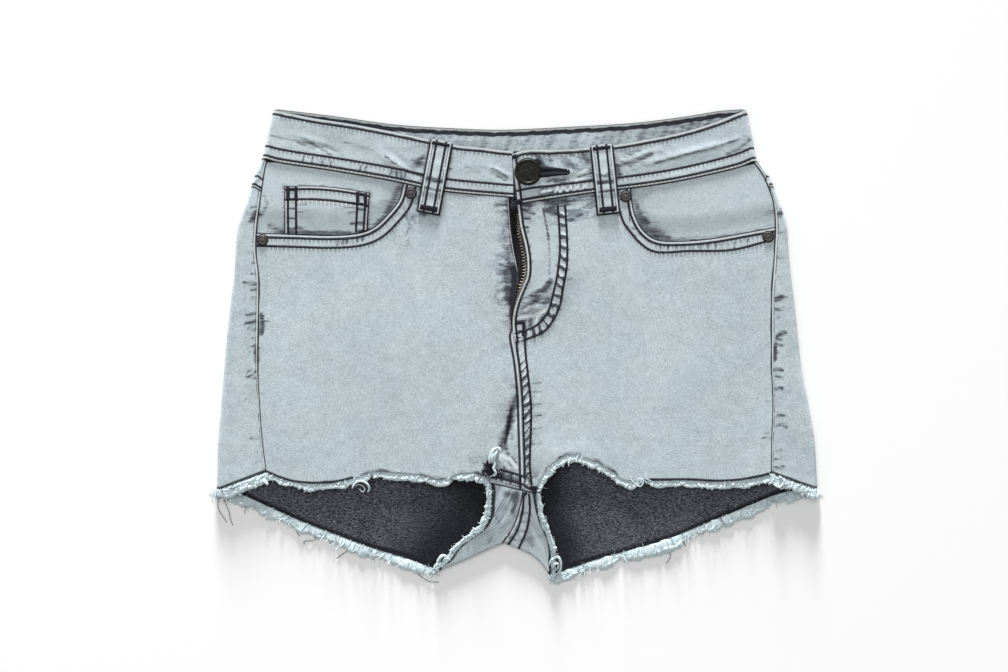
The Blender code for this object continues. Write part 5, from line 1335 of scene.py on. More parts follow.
def front_panel(side):
    """Cut away at the pocket mouth, with a raw hem on the leg."""
    seam_index = side_columns(side)[1]
    edge_index = 2 if side > 0 else 1
    mouth_share, leg_share = 10 / 16, 13 / 16
    mouth = bend(POCKET_MOUTHS[side])
    waist = stretch(BAND_FEET[side], mouth[-1, 0], column(CENTRE_FRONT, edge_index, FLY_TOP_Y[side]))
    close = np.array(EDGE_STEPS) / 190.0
    u = np.concatenate([[0.0], close, np.linspace(0.0, mouth_share, 97)[1:],
                        np.linspace(mouth_share, leg_share, 31)[1:],
                        np.linspace(leg_share, 1.0, 46)[1:-1], 1.0 - close[::-1], [1.0]])
    v = np.concatenate([[0.0], close, np.linspace(0.0, 0.064, 21)[2:], np.linspace(0.064, 1.0, 127)[1:]])
    top = joined([(mouth, mouth_share), (waist, 1.0)], u)
    leg = bend(FRONT_HEMS[side])
    inseam = bend(INSEAMS[side])
    foot = joined([(leg, leg_share), (inseam, 1.0)], u)
    start = down_column(SIDES, seam_index, top[0, 1], foot[0, 1], v)
    end = down_column(CENTRE_FRONT, edge_index, top[-1, 1], foot[-1, 1], v)
    top = pinned(top, start=start[0], end=end[0])
    foot = pinned(foot, start=start[-1], end=end[-1])
    skin = raised(patch(top, foot, start, end, u, v), lambda x, y: front_height(x, y, side))
    x, y = skin[..., 0], skin[..., 1]
    run_u, to_edge, run_v, to_foot = arcs(skin)
    to_mouth = gap_to(mouth, x, y)
    to_waist = gap_to(waist, x, y)
    on_leg = (u <= leg_share + 1e-6)[:, None]
    last = np.count_nonzero(on_leg)
    wear_and_shade = WearAndShade(skin, 0.06)
    wear_and_shade.wash_and_shade(np.ones(x.shape, bool))
    wear_and_shade.add_double(*mouth_rows(side), seed=3.0 + side, strength=0.15)
    wear_and_shade.add_edge(to_mouth)
    # painted shadow lines under the waistband, at the side seam, round the loops and the rivets, and painted
    # shade below the waistband
    wear_and_shade.add_painted_shadow_line(to_waist)
    wear_and_shade.add_painted_shadow_line(run_u - 0.5 * soft_step((y + 30.0) / 20.0) * (0.5 + 0.5 * np.sin(run_v / 5.1)))
    wear_and_shade.add_loops()
    wear_and_shade.add_discs([(*spot, RIVET_RADIUS) for spot in RIVETS.values()])
    wear_and_shade.add_stain_and_shade(to_waist, 3.0, 0.3)
    # the dark line along the raw hem is painted shade of its rolled cut edge
    at_hem = np.where(on_leg, np.abs(to_foot - 0.5), FAR)
    wear_and_shade.add_stain_and_shade(at_hem, 1.0, 0.6 + 0.5 * np.sin(run_u / 6.1) + 0.4 * np.sin(run_u / 2.3))
    strong_from = 96.0 if side > 0 else 120.0
    wear_and_shade.add_painted_shadow_line(at_hem - 0.3 + 1.5 * soft_step((strong_from - np.abs(x)) / 5.0 + 0.5))
    wear_and_shade.add_edge(to_foot, ~on_leg)
    if side > 0:
        below_fly = fly_edge_row()
        below_fly = below_fly[below_fly[:, 1] < ZIP_FOOT_Y]
        strength = 1.9 - 1.35 * soft_step((y + 26.0) / 14.0)
        wear_and_shade.add_double(bend(FLY_CURVE_OUTER), bend(FLY_CURVE_INNER), 8.0, 1.7, 0.3, 1.3)
        wear_and_shade.add_double(below_fly, bend(CENTRE_ROW), 11.0, strength, 0.9, 1.1)
        wear_and_shade.add_single(np.where(y > 0.0, to_edge - FLY_ROW, FAR), run_v, 5.0)
        wear_and_shade.add_edge(to_edge + 1.2 * soft_step((14.0 - y) / 16.0))
    else:
        wear_and_shade.add_edge(to_edge + 0.8 + 1.2 * soft_step((60.0 - y) / 16.0), y > 20.0)
        wear_and_shade.add_edge(np.maximum(to_edge, 0.5), y < 14.0)
        # a painted shadow line beside the seam below the fly, and a stain along the free fly edge above it
        wear_and_shade.add_painted_shadow_line(np.abs(to_edge - 2.6 * soft_step((14.0 - y) / 10.0)) - 0.1, y < 20.0)
        wear_and_shade.add_stain_and_shade(to_edge, 1.8, np.where(y > 14.0, 0.7, 0.0))
    wear_and_shade.add_double(*(bend(chain) for chain in INSEAM_ROWS), 13.0, 0.6)
    drop = rounded(run_u, to_edge, np.minimum(to_mouth, to_waist), np.where(on_leg, FAR, to_foot))
    shell = Shell("front_panel_cloth_" + side_name(side), skin, CLOTH, side, [DENIM, DENIM_INSIDE], wear_and_shade,
                  relief=wear_and_shade.creased(), drop=drop)
    shell.cut = cut_edge(skin[:last, -1], skin[:last, -3], shell.normal[:last, -1], np.zeros(last))
    return shell


def pocket_facing(side):
    """The denim seen inside a pocket mouth, which goes on under the front."""
    seam_index = side_columns(side)[1]
    mouth = bend(POCKET_MOUTHS[side])
    lower = offset(mouth, side * FACING_UNDER)
    lower = lower[lower[:, 1] < mouth[-1, 1] - 8.0]
    u = shares_of(90, 108.0, True, False)
    v = shares_of(46, 52.0, True, False)
    foot = walk(lower, u)
    start = down_column(SIDES, seam_index, SEAM_TOP_Y[side] - 0.4, foot[0, 1], v)
    top = walk(stretch(BAND_FEET[side], start[0, 0], foot[-1, 0] - side * 2.0), u)
    top = pinned(top, start=start[0])
    foot = pinned(foot, start=start[-1])
    end = mix(top[-1], foot[-1], v[:, None])
    skin = raised(patch(top, foot, start, end, u, v), lambda x, y: facing_height(x, y, side))
    run_u, _, run_v, _ = arcs(skin)
    wear_and_shade = WearAndShade(skin, 0.06)
    wear_and_shade.wash_and_shade(np.ones(run_u.shape, bool))
    wear_and_shade.bleach += 0.4
    to_mouth = gap_to(mouth, wear_and_shade.x, wear_and_shade.y)
    # painted shadow lines under the front's mouth edge, the waistband and the side seam and round the rivets;
    # painted shade, with stain, along the mouth, and painted shade below the waistband
    wear_and_shade.add_painted_shadow_line(np.minimum(np.minimum(to_mouth, run_v), run_u))
    wear_and_shade.add_discs([(*spot, RIVET_RADIUS) for spot in RIVETS.values()])
    wear_and_shade.add_stain_and_shade(to_mouth, 3.5, 0.3)
    wear_and_shade.add_stain_and_shade(run_v, 4.0, 0.15)
    if side < 0:
        # the coin pocket lies on the right facing: a painted shadow line and painted shade beside its edges
        for points in (COIN_TOP, COIN_TOP[:1] + COIN_FOOT[:1], COIN_TOP[-1:] + COIN_FOOT[-1:]):
            to_coin = gap_to(np.array(points), wear_and_shade.x, wear_and_shade.y)
            wear_and_shade.add_painted_shadow_line(to_coin)
            wear_and_shade.add_stain_and_shade(to_coin, 2.5, 0.3)
    return Shell("pocket_facing_cloth_" + side_name(side), skin, CLOTH, side, [DENIM, DENIM_INSIDE], wear_and_shade,
                 drop=rounded(run_u, run_v))


def coin_grid(u, v):
    """Flat points of the coin pocket at shares of its width and height."""
    top = line(COIN_TOP, u)
    foot = line(COIN_FOOT, u)
    start = mix(top[0], foot[0], v[:, None])
    end = mix(top[-1], foot[-1], v[:, None])
    return patch(top, foot, start, end, u, v)


def coin_pocket():
    """Lies on the right facing and goes on below the pocket mouth."""
    u = shares_of(84, 62.0, True, True)
    v = shares_of(44, 35.0, True, False)
    rise = REST_GAP + CLOTH
    skin = raised(coin_grid(u, v), lambda x, y: facing_height(x, y, -1) + rise)
    run_u, to_end, run_v, _ = arcs(skin)
    wear_and_shade = WearAndShade(skin, 0.14)
    wear_and_shade.wash_and_shade(np.ones(run_u.shape, bool))
    wear_and_shade.bleach += 0.45
    sides = (("start", run_u, run_v), ("end", to_end, run_v), ("top", run_v, run_u))
    for n, (name, reach, run) in enumerate(sides):
        first, second = COIN_ROWS[name]
        wear_and_shade.add_ladder(np.maximum(first - reach, reach - second), run * 0.95, 20.0 + n, 0.2)
        wear_and_shade.add_edge(reach)
    # the front's mouth edge lies over the coin pocket: a painted shadow line and painted shade along it
    to_mouth = gap_to(bend(POCKET_MOUTH_RIGHT), wear_and_shade.x, wear_and_shade.y)
    wear_and_shade.add_painted_shadow_line(to_mouth)
    wear_and_shade.add_stain_and_shade(to_mouth, 4.0, 0.4)
    return Shell("coin_pocket_cloth", skin, CLOTH, -1, [DENIM, DENIM_INSIDE], wear_and_shade, relief=wear_and_shade.relief(),
                 drop=rounded(run_u, run_v, to_end))


# ---------------------------------------------------------------- waistband and loops

def band_shares():
    """Shares down the band, with grid lines on its rows of stitches."""
    width = BAND_WIDTH
    rows = np.array([BAND_ROW_TOP, width - BAND_ROW_SECOND, width - BAND_ROW_FOOT])
    close = np.array([0.0, *EDGE_STEPS])
    even = np.concatenate([close, np.arange(1.2, width - 0.9, 1.15), width - close[::-1]])
    apart = np.min(np.abs(even[:, None] - rows[None, :]), axis=1) > 0.45
    apart[:4] = True
    apart[-4:] = True
    return np.sort(np.concatenate([even[apart], rows])) / width, rows / width


def band_stretch(top, foot, u, v, height):
    """A part of the band between its top and foot lines, at the heights of a function of x and y."""
    return raised(mix(line(top, u)[:, None], line(foot, u)[:, None], v[None, :, None]), height)


def band_turn(inward, outward, side, upwards):
    """Points round the side of the garment, between the last rank of a part and the first of the next."""
    ranks = []
    for share in np.arange(1, TURN_STEPS) / TURN_STEPS:
        flat = mix(inward[:, :2], outward[:, :2], share)
        radius = band_height(flat[:, 0], flat[:, 1], side) / 2
        angle = pi * share - pi / 2
        height = radius + radius * sin(angle)
        ranks.append(np.column_stack([flat[:, 0] + side * radius * cos(angle), flat[:, 1],
                                      height if upwards else 2 * radius - height]))
    return np.array(ranks)


def waistband():
    """One band from the underlap round the back to the left end, with the buttonhole cut in it."""
    v, row_shares = band_shares()
    right = shares_of(155, 196.0, True, False)
    back = np.linspace(0.0, 1.0, 225)
    left = shares_of(155, 176.0, False, True)
    front_right = band_stretch(BAND_TOP_RIGHT, BAND_FOOT_RIGHT, right, v, lambda x, y: band_height(x, y, -1))
    under = band_stretch(BAND_TOP_BACK, BAND_FOOT_BACK, back, v, lambda x, y: 0.0 * x)
    front_left = band_stretch(BAND_TOP_LEFT[::-1], BAND_FOOT_LEFT[::-1], left, v,
                              lambda x, y: band_height(x, y, 1))
    turn_right = band_turn(front_right[-1], under[0], -1, False)
    turn_left = band_turn(under[-1], front_left[0], 1, True)
    skin = np.concatenate([front_right, turn_right, under, turn_left, front_left])
    x, y = skin[..., 0], skin[..., 1]
    place = np.arange(len(skin))[:, None]
    on_left = place >= len(skin) - len(front_left)
    on_right = place < len(front_right)
    middle = 0.25 * (skin[1:, 1:] + skin[:-1, 1:] + skin[1:, :-1] + skin[:-1, :-1])
    from_x, from_y = middle[..., 0] - BUTTON_SPOT[0], middle[..., 1] - BUTTON_SPOT[1]
    eye = np.hypot(from_x, from_y) < EYE_RADIUS
    slit = (from_x > 0) & (from_x < SLIT_LENGTH) & (np.abs(from_y) < SLIT_HALF)
    kept = ~(on_left[:-1] & (eye | slit))

    run_u, to_end, run_v, to_foot = arcs(skin)
    wear_and_shade = WearAndShade(skin, 0.14)
    wear_and_shade.wash_and_shade(skin[..., 2] > 1.5)
    wear_and_shade.bleach += 0.25
    width = run_v[:, -1:]
    beyond = np.maximum(row_shares[1] * width - run_v, run_v - row_shares[2] * width)
    strength = 0.15 + 0.25 * on_left * soft_step((70.0 - x) / 8.0)
    wear_and_shade.add_ladder(beyond, run_u - 0.8 * np.minimum(run_v, width - 5.8), 35.0, strength)
    wear_and_shade.add_single(run_v - row_shares[0] * width, run_u, 30.0)
    wear_and_shade.add_single(np.where(on_left, to_end - END_ROW, FAR), run_v, 31.0)
    wear_and_shade.add_edge(np.minimum(run_v, to_foot))
    wear_and_shade.add_edge(np.minimum(run_u, to_end))
    # painted shadow round the loops and the button, beside the slit, and on the underlap under the left end
    wear_and_shade.add_loops()
    wear_and_shade.add_discs([(*BUTTON_SPOT, BUTTON_RADIUS), SLIT_SHADOW])
    wear_and_shade.add_painted_shadow_line(-2.0 - x, on_right)
    inner = WearAndShade(skin, 0.35)
    # inside: a painted shadow line under the rolled top edge, a pale top strip, and painted shade towards the
    # foot, which lies under the front of the band
    inner.add_painted_shadow_line(np.abs(run_v - 3.4 + 0.25 * np.sin(run_u / 3.1) + 0.2 * np.sin(run_u / 1.3)) - 0.75)
    inner.smudge_and_shade -= 1.1 * soft_step((2.6 - run_v) / 0.8)
    inner.add_stain_and_shade(to_foot, 2.5, 0.8)
    inner.add_edge(run_v)
    gathers = np.sin(run_u / 1.15 + 2.0 * np.sin(run_u / 9.0)) + 0.8 * np.sin(run_u / 2.7)
    inner.smudge_and_shade += soft_step((run_v - 3.0) / 2.0) * (0.16 + 0.1 * gathers
                                                      + 0.3 * soft_step((np.abs(x) - 60.0) / 80.0))
    return Shell("waistband_cloth", skin, BAND_CLOTH, 1, [DENIM, DENIM], wear_and_shade, kept, inner,
                 relief=np.where(skin[..., 2] > ON_TOP, wear_and_shade.creased(), 0.0),
                 drop=rounded(run_v, to_foot, run_u, to_end), inner_drop=rounded(run_v, to_foot))


def loop_frame(top_x, top_y, foot_x, foot_y):
    """The ends of a belt loop and its direction across."""
    top = np.array([top_x, top_y])
    foot = np.array([foot_x, foot_y])
    run = unit(foot - top)
    return top, foot, np.array([-run[1], run[0]])


def belt_loop(name, top_x, top_y, foot_x, foot_y):
    """Lies over the waistband and steps down onto the front panel."""
    side = 1 if top_x > 0 else -1
    top, foot, across = loop_frame(top_x, top_y, foot_x, foot_y)
    u = shares_of(26, LOOP_WIDTH, True, True)
    v = shares_of(84, np.hypot(*(foot - top)), True, True)
    down = mix(top, foot, v[:, None])
    flat = down[None] + (across * LOOP_WIDTH / 2)[None, None] * (2 * u[:, None, None] - 1)
    below = level_at(BAND_FEET[side], flat[..., 0]) - flat[..., 1]
    step = BAND_PROUD * (1 - soft_step((below - LOOP_STEP_START) / LOOP_STEP_RUN))
    skin = np.dstack([flat, lay(flat[..., 0], flat[..., 1]) + step + REST_GAP + LOOP_CLOTH])
    run_u, to_side, run_v, to_foot = arcs(skin)
    wear_and_shade = WearAndShade(skin, 0.05)
    wear_and_shade.add_ladder(np.abs(run_u - LOOP_WIDTH / 2) - LOOP_ROW, run_v * 0.5, 60.0 + side, 0.45)
    for edge in (run_u, to_side, run_v, to_foot):
        wear_and_shade.add_edge(edge)
    for crossing, width, strength in LOOP_MARKS:
        wear_and_shade.add_stain_and_shade(run_v - crossing * run_v[:, -1:], width, strength)
    hump = 0.25 * np.sin(pi * np.clip(run_v / run_v[:, -1:], 0, 1)) ** 2
    return Shell(name + "_cloth", skin, LOOP_CLOTH, -1, [DENIM], wear_and_shade, relief=wear_and_shade.relief() + hump,
                 drop=rounded(run_u, to_side, run_v, to_foot))


# ---------------------------------------------------------------- fly and zip

def zip_tape():
    """Lies under the fly opening."""
    u = np.linspace(0.0, 1.0, 37)
    v = np.linspace(0.0, 1.0, 90)
    levels = mix(TAPE_TOP_Y, TAPE_FOOT_Y, v)
    reach = mix(-TAPE_HALF, TAPE_HALF, u)
    flat = np.dstack([zip_middle(levels)[None, :] + reach[:, None], np.tile(levels, (len(u), 1))])
    skin = raised(flat, tape_height)
    return Shell("zip_tape_cloth", skin, TAPE_CLOTH, -1, [TAPE_LOOK], WearAndShade(skin))


def fly_shield():
    """Lies under the zip tape."""
    u = np.linspace(0.0, 1.0, 36)
    v = np.linspace(0.0, 1.0, 84)
    flat = np.dstack([np.tile(mix(*SHIELD_X, u)[:, None], (1, len(v))),
                      np.tile(mix(TAPE_TOP_Y, SHIELD_FOOT_Y, v)[None, :], (len(u), 1))])
    drop = CLOTH + REST_GAP + TAPE_CLOTH + REST_GAP
    skin = raised(flat, lambda x, y: lay(x, y) - drop)
    return Shell("fly_shield_cloth", skin, SHIELD_CLOTH, -1, [DENIM_INSIDE], WearAndShade(skin))


# ---------------------------------------------------------------- stitches

def lay_threads(name, paths, radii, look, sides=6, flat=1.0):
    """One object of closed tubes along the paths."""
    points, blocks = tubes(paths, radii, sides, flat=flat)
    return add_object(name, points, blocks, [look], crease=70.0)


def stitch_paths(rows, rng):
    """Paths of single stitches along rows of (chain, shell, whether it is seen from above)."""
    paths = []
    for chain, shell, from_above in rows:
        total = run_of(chain)[-1]
        starts = np.arange(rng.uniform(0.3, 2.0), total - STITCH, STITCH + STITCH_GAP)
        starts = starts + rng.normal(0.0, 0.08, len(starts))
        shares = (starts[:, None] + STITCH * STITCH_RINGS) / total
        flat = walk(chain, np.clip(shares.ravel(), 0.0, 1.0))
        flat += np.repeat(rng.normal(0.0, 0.06, (len(starts), 2)), len(STITCH_RINGS), axis=0)
        places, ways = shell.touch(flat, from_above)
        lift = STITCH_LIFT if from_above else np.full(len(STITCH_RINGS), STITCH_UNDER)
        path = (places + ways * np.tile(lift, len(starts))[:, None]).reshape(-1, len(STITCH_RINGS), 3)
        paths.append(path[~np.isnan(path).any(axis=(1, 2))])
    return np.concatenate(paths)


def sew(name, rows, seed):
    """Single stitches along rows, as one object."""
    rng = np.random.default_rng(seed)
    paths = stitch_paths(rows, rng)
    radii = STITCH_RADIUS * STITCH_SWELL * rng.uniform(0.9, 1.12, (len(paths), 1))
    lay_threads(name, paths, radii, THREAD)


def bar_paths(shell, x, y, half_length, half_width, turn, rng):
    """Close threads across a short bar whose length runs at the turn, in degrees."""
    pitch = 0.42
    lift = np.array([-0.06, 0.18, 0.3, 0.3, 0.18, -0.06])
    way = np.array([cos(radians(turn)), sin(radians(turn))])
    across = np.array([-way[1], way[0]])
    steps = np.arange(-half_length, half_length, pitch)
    shares = np.linspace(-1.0, 1.0, len(lift))
    flat = np.array([x, y]) + steps[:, None, None] * way
    flat = flat + shares[None, :, None] * across * (half_width * rng.uniform(0.9, 1.08, (len(steps), 1, 1)))
    flat = flat + shares[None, :, None] * way * pitch * 0.45
    places, ways = shell.touch(flat.reshape(-1, 2))
    path = (places + ways * np.tile(lift, len(steps))[:, None]).reshape(len(steps), len(lift), 3)
    return path[~np.isnan(path).any(axis=(1, 2))]


def bartacks(pieces):
    """The bars of the table and those at both ends of each belt loop."""
    rng = np.random.default_rng(SEEDS["bartacks"])
    paths = [bar_paths(pieces[piece], *bar, rng) for piece, *bar in BARTACKS]
    for name, top_x, top_y, foot_x, foot_y in LOOPS:
        top, foot, across = loop_frame(top_x, top_y, foot_x, foot_y)
        turn = np.degrees(np.arctan2(across[1], across[0]))
        run = unit(foot - top)
        for spot, wide in ((top + run * 2.8, 1.3), (foot - run * 2.9, 1.9)):
            paths.append(bar_paths(pieces[name], spot[0], spot[1], LOOP_WIDTH / 2 - 1.2, wide, turn, rng))
    paths = np.concatenate(paths)
    lay_threads("bartacks", paths, np.full(paths.shape[:2], BAR_RADIUS), THREAD)


def headings(start, stop, step):
    """Directions in the plane at even turns, in degrees."""
    turns = np.radians(np.arange(start, stop, step))
    return np.column_stack([np.cos(turns), np.sin(turns)])


def keyhole(band):
    """Threads set radially round the eye and along the slit of the buttonhole."""
    rng = np.random.default_rng(SEEDS["buttonhole"])
    centre = np.array(BUTTON_SPOT)
    spots = [(centre + out * EYE_RADIUS, out) for out in headings(30.0, 331.0, 6.0)]
    for along in np.arange(EYE_RADIUS, SLIT_LENGTH, 0.5):
        for up in (-1.0, 1.0):
            spots.append((centre + (along, up * SLIT_HALF), np.array([0.0, up])))
    spots += [(centre + (SLIT_LENGTH, 0.0) + out * SLIT_HALF, out) for out in headings(-80.0, 81.0, 16.0)]
    shares = np.array([-0.25, 0.1, 0.35, 0.65, 0.9, 1.0])
    rises = np.array([-0.2, 0.3, 0.42, 0.4, 0.2, -0.25])
    paths = []
    for base, out in spots:
        along = np.clip((base[0] - centre[0]) / SLIT_LENGTH, 0.0, 1.0)
        length = mix(4.8, 1.2, along) * rng.uniform(0.93, 1.07)
        flat = base + np.outer(shares * length, out)
        places, ways = band.touch(np.vstack([base + out] * 2 + [flat[2:]]))
        places[:2, :2] = flat[:2]
        paths.append(places + ways * rises[:, None])
    paths = np.array(paths)
    paths = paths[~np.isnan(paths).any(axis=(1, 2))]
    radii = np.full(paths.shape[:2], EYE_THREAD_RADIUS)
    lay_threads("buttonhole_threads", paths, radii, THREAD)


def band_row(share, part):
    """A row of stitches along the waistband at a share of its width."""
    top, foot = {
        "right": (BAND_TOP_RIGHT, BAND_FOOT_RIGHT),
        "back": (BAND_TOP_BACK, BAND_FOOT_BACK),
        "left": (BAND_TOP_LEFT[::-1], BAND_FOOT_LEFT[::-1]),
    }[part]
    shares = np.linspace(0.0, 1.0, 160)
    return mix(line(top, shares), line(foot, shares), share)


def all_stitches(pieces):
    """Sew every row: (chain, shell, whether it is seen from above)."""
    _, row_shares = band_shares()
    band = pieces["waist"]
    rows = []
    for share in row_shares:
        right = band_row(share, "right")
        rows.append((right[right[:, 0] < BAND_ROW_STOP_X], band, True))
        rows.append((band_row(share, "back"), band, False))
        rows.append((band_row(share, "left"), band, True))
    end = mix(np.array(BAND_TOP_LEFT[0]), np.array(BAND_FOOT_LEFT[0]), np.linspace(0.04, 0.98, 30)[:, None])
    rows.append((end + (END_ROW, 0.0), band, True))
    sew("stitches_waistband", rows, SEEDS["waistband"])
    for side in (-1, 1):
        name = side_name(side)
        front, back, yoke = (pieces[part + name] for part in ("front_", "back_", "yoke_"))
        rows = [(chain, front, True) for chain in mouth_rows(side)]
        rows += [(bend(chain), front, True) for chain in INSEAM_ROWS]
        if side > 0:
            rows.append((fly_edge_row(), front, True))
            rows += [(bend(chain), front, True) for chain in (FLY_CURVE_OUTER, FLY_CURVE_INNER, CENTRE_ROW)]
        rows += [(bend(chain), back, True) for chain in FLAP_ROWS]
        sew("stitches_front_" + name, rows, SEEDS["front"] + side)
        rows = [(offset(bend(YOKE_SEAM), reach), yoke, False) for reach in SEAM_ROWS]
        if side > 0:
            rows += [(offset(bend(CENTRE_BACK), reach), piece, False)
                     for reach in SEAM_ROWS for piece in (back, yoke)]
        sew("stitches_back_" + name, rows, SEEDS["back"] + side)
    share = np.linspace(0.0, 1.0, 40)
    wide, high = COIN_SIZE
    chains = [coin_grid(np.array([0.0, reach / wide, 1.0]), share)[1] for reach in COIN_ROWS["start"]]
    chains += [coin_grid(np.array([0.0, 1.0 - reach / wide, 1.0]), share)[1] for reach in COIN_ROWS["end"]]
    chains += [coin_grid(share, np.array([0.0, reach / high, 1.0]))[:, 1] for reach in COIN_ROWS["top"]]
    sew("stitches_coin_pocket", [(chain, pieces["coin"], True) for chain in chains], SEEDS["coin"])
    rows = []
    for name, top_x, top_y, foot_x, foot_y in LOOPS:
        top, foot, across = loop_frame(top_x, top_y, foot_x, foot_y)
        for reach in (-LOOP_ROW, LOOP_ROW):
            rows.append((mix(top, foot, share[:, None]) + across * reach, pieces[name], True))
    sew("stitches_belt_loops", rows, SEEDS["loops"])


# ---------------------------------------------------------------- frayed hems

def along_edge(values, run, places):
    """Read rows of points, given along an edge, at places along it."""
    return np.stack([np.interp(places, run, values[:, k]) for k in range(3)], axis=-1)


def strands(start, outward, upward, reach, heading, rising):
    """Paths that leave their starts outward, with the given headings aside and up at each ring."""
    along = np.cross(upward, outward)
    step = reach[:, None] / (STRAND_RINGS - 1)
    forward = np.cumsum(step * np.cos(heading) * np.cos(rising), axis=1) - step
    sideways = np.cumsum(step * np.sin(heading) * np.cos(rising), axis=1)
    height = np.cumsum(step * np.sin(rising), axis=1)
    return (start[:, None] + outward[:, None] * forward[..., None] + along[:, None] * sideways[..., None]
            + upward[:, None] * height[..., None])


def joined_tubes(parts):
    """One mesh of several sets of tubes: (paths, radii, sides, flatness)."""
    points, blocks, total = [], [], 0
    for paths, radii, sides, flat in parts:
        more, faces = tubes(paths, radii, sides, up=(0.13, 0.08, 1.0), flat=flat)
        points.append(more)
        blocks += [block + total for block in faces]
        total += len(more)
    return np.concatenate(points), blocks


def wander(rng, run, pitch):
    """A random wave along a run, from -1 to 1, that turns about once each pitch."""
    knots = np.arange(run[0] - pitch, run[-1] + 2 * pitch, pitch)
    return np.interp(run, knots, rng.uniform(-1.0, 1.0, len(knots)))


class Fringe:
    """The threads of a raw edge, laid as tubes."""

    def __init__(self, cut, seed, length, droop):
        self.edge, self.out, self.up, self.over = cut
        self.run = run_of(self.edge)
        self.total = self.run[-1]
        self.rng = np.random.default_rng(seed)
        self.seed = seed
        self.length = length
        self.droop = droop
        self.share = np.linspace(0.0, 1.0, STRAND_RINGS)
        self.parts, self.tones, self.tips = [], [], []

    def roots(self, at):
        """Where threads leave the edge, and which way is outward and up there."""
        outward = unit(along_edge(self.out, self.run, at))
        upward = unit(along_edge(self.up, self.run, at))
        inset = outward * np.interp(at, self.run, self.over)[:, None]
        return along_edge(self.edge, self.run, at) - inset, outward, upward

    def shorter(self, at):
        """The share of their length that threads keep where they lie over the cloth."""
        return 1.0 - 0.7 * np.interp(at, self.run, self.over)

    def keep(self, paths, radii, sides, flat, tone, tip):
        """Keep tubes for the object, none of them in the ground."""
        paths[..., 2] = np.maximum(paths[..., 2], radii * flat + 0.02)
        self.parts.append((paths, radii, sides, flat))
        self.tones.append(np.repeat(np.broadcast_to(tone, radii.shape).ravel(), sides))
        self.tips.append(np.repeat(np.broadcast_to(tip, radii.shape).ravel(), sides))

    def lay_rolls(self, gaps):
        """Rolls of cloth along the edge. Gives the width of the fringe at even places along it."""
        rng = self.rng
        at = np.arange(0.2, self.total - 0.1, ROLL_PITCH)
        root, outward, upward = self.roots(at)
        wide = self.length * (0.68 + 0.2 * wander(rng, at, 12.0) + 0.16 * wander(rng, at, 4.2))
        for x, half in gaps:
            wide *= 1.0 - 0.85 * np.exp(-((root[:, 0] - x) / half) ** 2)
        wide *= soft_step(at / 2.5) * soft_step((self.total - at) / 2.5) * self.shorter(at)
        level = -0.6 - self.droop * 0.25 * wide
        for middle, half, lift, sides, flat, wobble, stray, tone, tip in ROLLS:
            reach = wide * (middle + stray * wander(rng, at, 5.0)) - 0.25
            path = root + outward * reach[:, None] + upward * (level + lift)[:, None]
            radii = wide * half * (1.0 + wobble * wander(rng, at, 2.2)) + 0.08
            shade = tone + 0.1 * wander(rng, at, 3.1)
            self.keep(path[None], radii[None], sides, flat, shade[None], tip)
        return wide

    def lay_locks(self, wide):
        """Thick locks that stand out of the rolls."""
        rng, total, share = self.rng, self.total, self.share
        count = int(total * 0.3)
        at = np.clip(np.linspace(0.6, total - 0.6, count) + rng.normal(0.0, 0.5, count), 0.4, total - 0.4)
        root, outward, upward = self.roots(at)
        span = np.interp(at, np.linspace(0.2, total - 0.1, len(wide)), wide)
        reach = span * rng.uniform(0.4, 0.75, count) + 0.3
        lean = (0.5 * np.sin(at / 11.0 + self.seed) + rng.normal(0.0, 0.3, count))[:, None]
        start = root + outward * (span * rng.uniform(0.3, 0.6, count))[:, None]
        start -= upward * rng.uniform(0.1, 0.6, (count, 1))
        bent = lean + rng.normal(0.0, 0.9, (count, 1)) * share ** 2
        rising = rng.normal(0.0, 0.1, (count, 1)) - 0.8 * self.droop * share
        paths = strands(start, outward, upward, reach, bent, rising)
        radii = rng.uniform(0.5, 1.3, (count, 1)) * LOCK_SWELL
        tone = np.clip(rng.normal(0.8, 0.14, (count, 1)), 0.3, 1.0)
        self.keep(paths, radii, 7, 0.4, tone, 0.4 + 0.6 * share)

    def lay_fine(self, density):
        """Thin threads, a few of them long and a few dark."""
        rng, total, share = self.rng, self.total, self.share
        count = int(total * density)
        at = np.sort(rng.uniform(0.4, total - 0.4, count))
        root, outward, upward = self.roots(at)
        reach = self.length * rng.uniform(0.35, 1.05, count)
        reach = reach * np.where(rng.random(count) < 0.03, 1.3, 1.0) * self.shorter(at)
        bent = rng.normal(0.0, 0.4, (count, 1)) + rng.normal(0.0, 1.4, (count, 1)) * share ** 1.3
        rising = rng.normal(0.02, 0.16, (count, 1)) + (rng.normal(0.0, 0.5, (count, 1)) - self.droop) * share
        start = root - upward * rng.uniform(0.1, 0.9, (count, 1)) - outward * 0.3
        paths = strands(start, outward, upward, reach, bent, rising)
        radii = rng.uniform(0.17, 0.3, (count, 1)) * (1.0 - 0.5 * share ** 2)
        tone = np.clip(rng.normal(0.66, 0.2, (count, 1)), 0.15, 1.0)
        tone[rng.random(count) < 0.05] = 0.0
        self.keep(paths, radii, 3, 1.0, tone, share)


def fray(name, cut, seed, length, droop, density, gaps):
    """The fringe of a raw edge, as one object."""
    fringe = Fringe(cut, seed, length, droop)
    wide = fringe.lay_rolls(gaps)
    fringe.lay_locks(wide)
    fringe.lay_fine(density)
    return frayed_object(name, fringe.parts, np.concatenate(fringe.tones), np.concatenate(fringe.tips))


def frayed_object(name, parts, tone, tip):
    """One object of tubes with the tone and the nearness to the tip of each point."""
    points, blocks = joined_tubes(parts)
    made = add_object(name, points, blocks, [FRAY], crease=90.0)
    give(made, "tone", np.broadcast_to(tone, len(points)))
    give(made, "tip", np.broadcast_to(tip, len(points)))
    return made


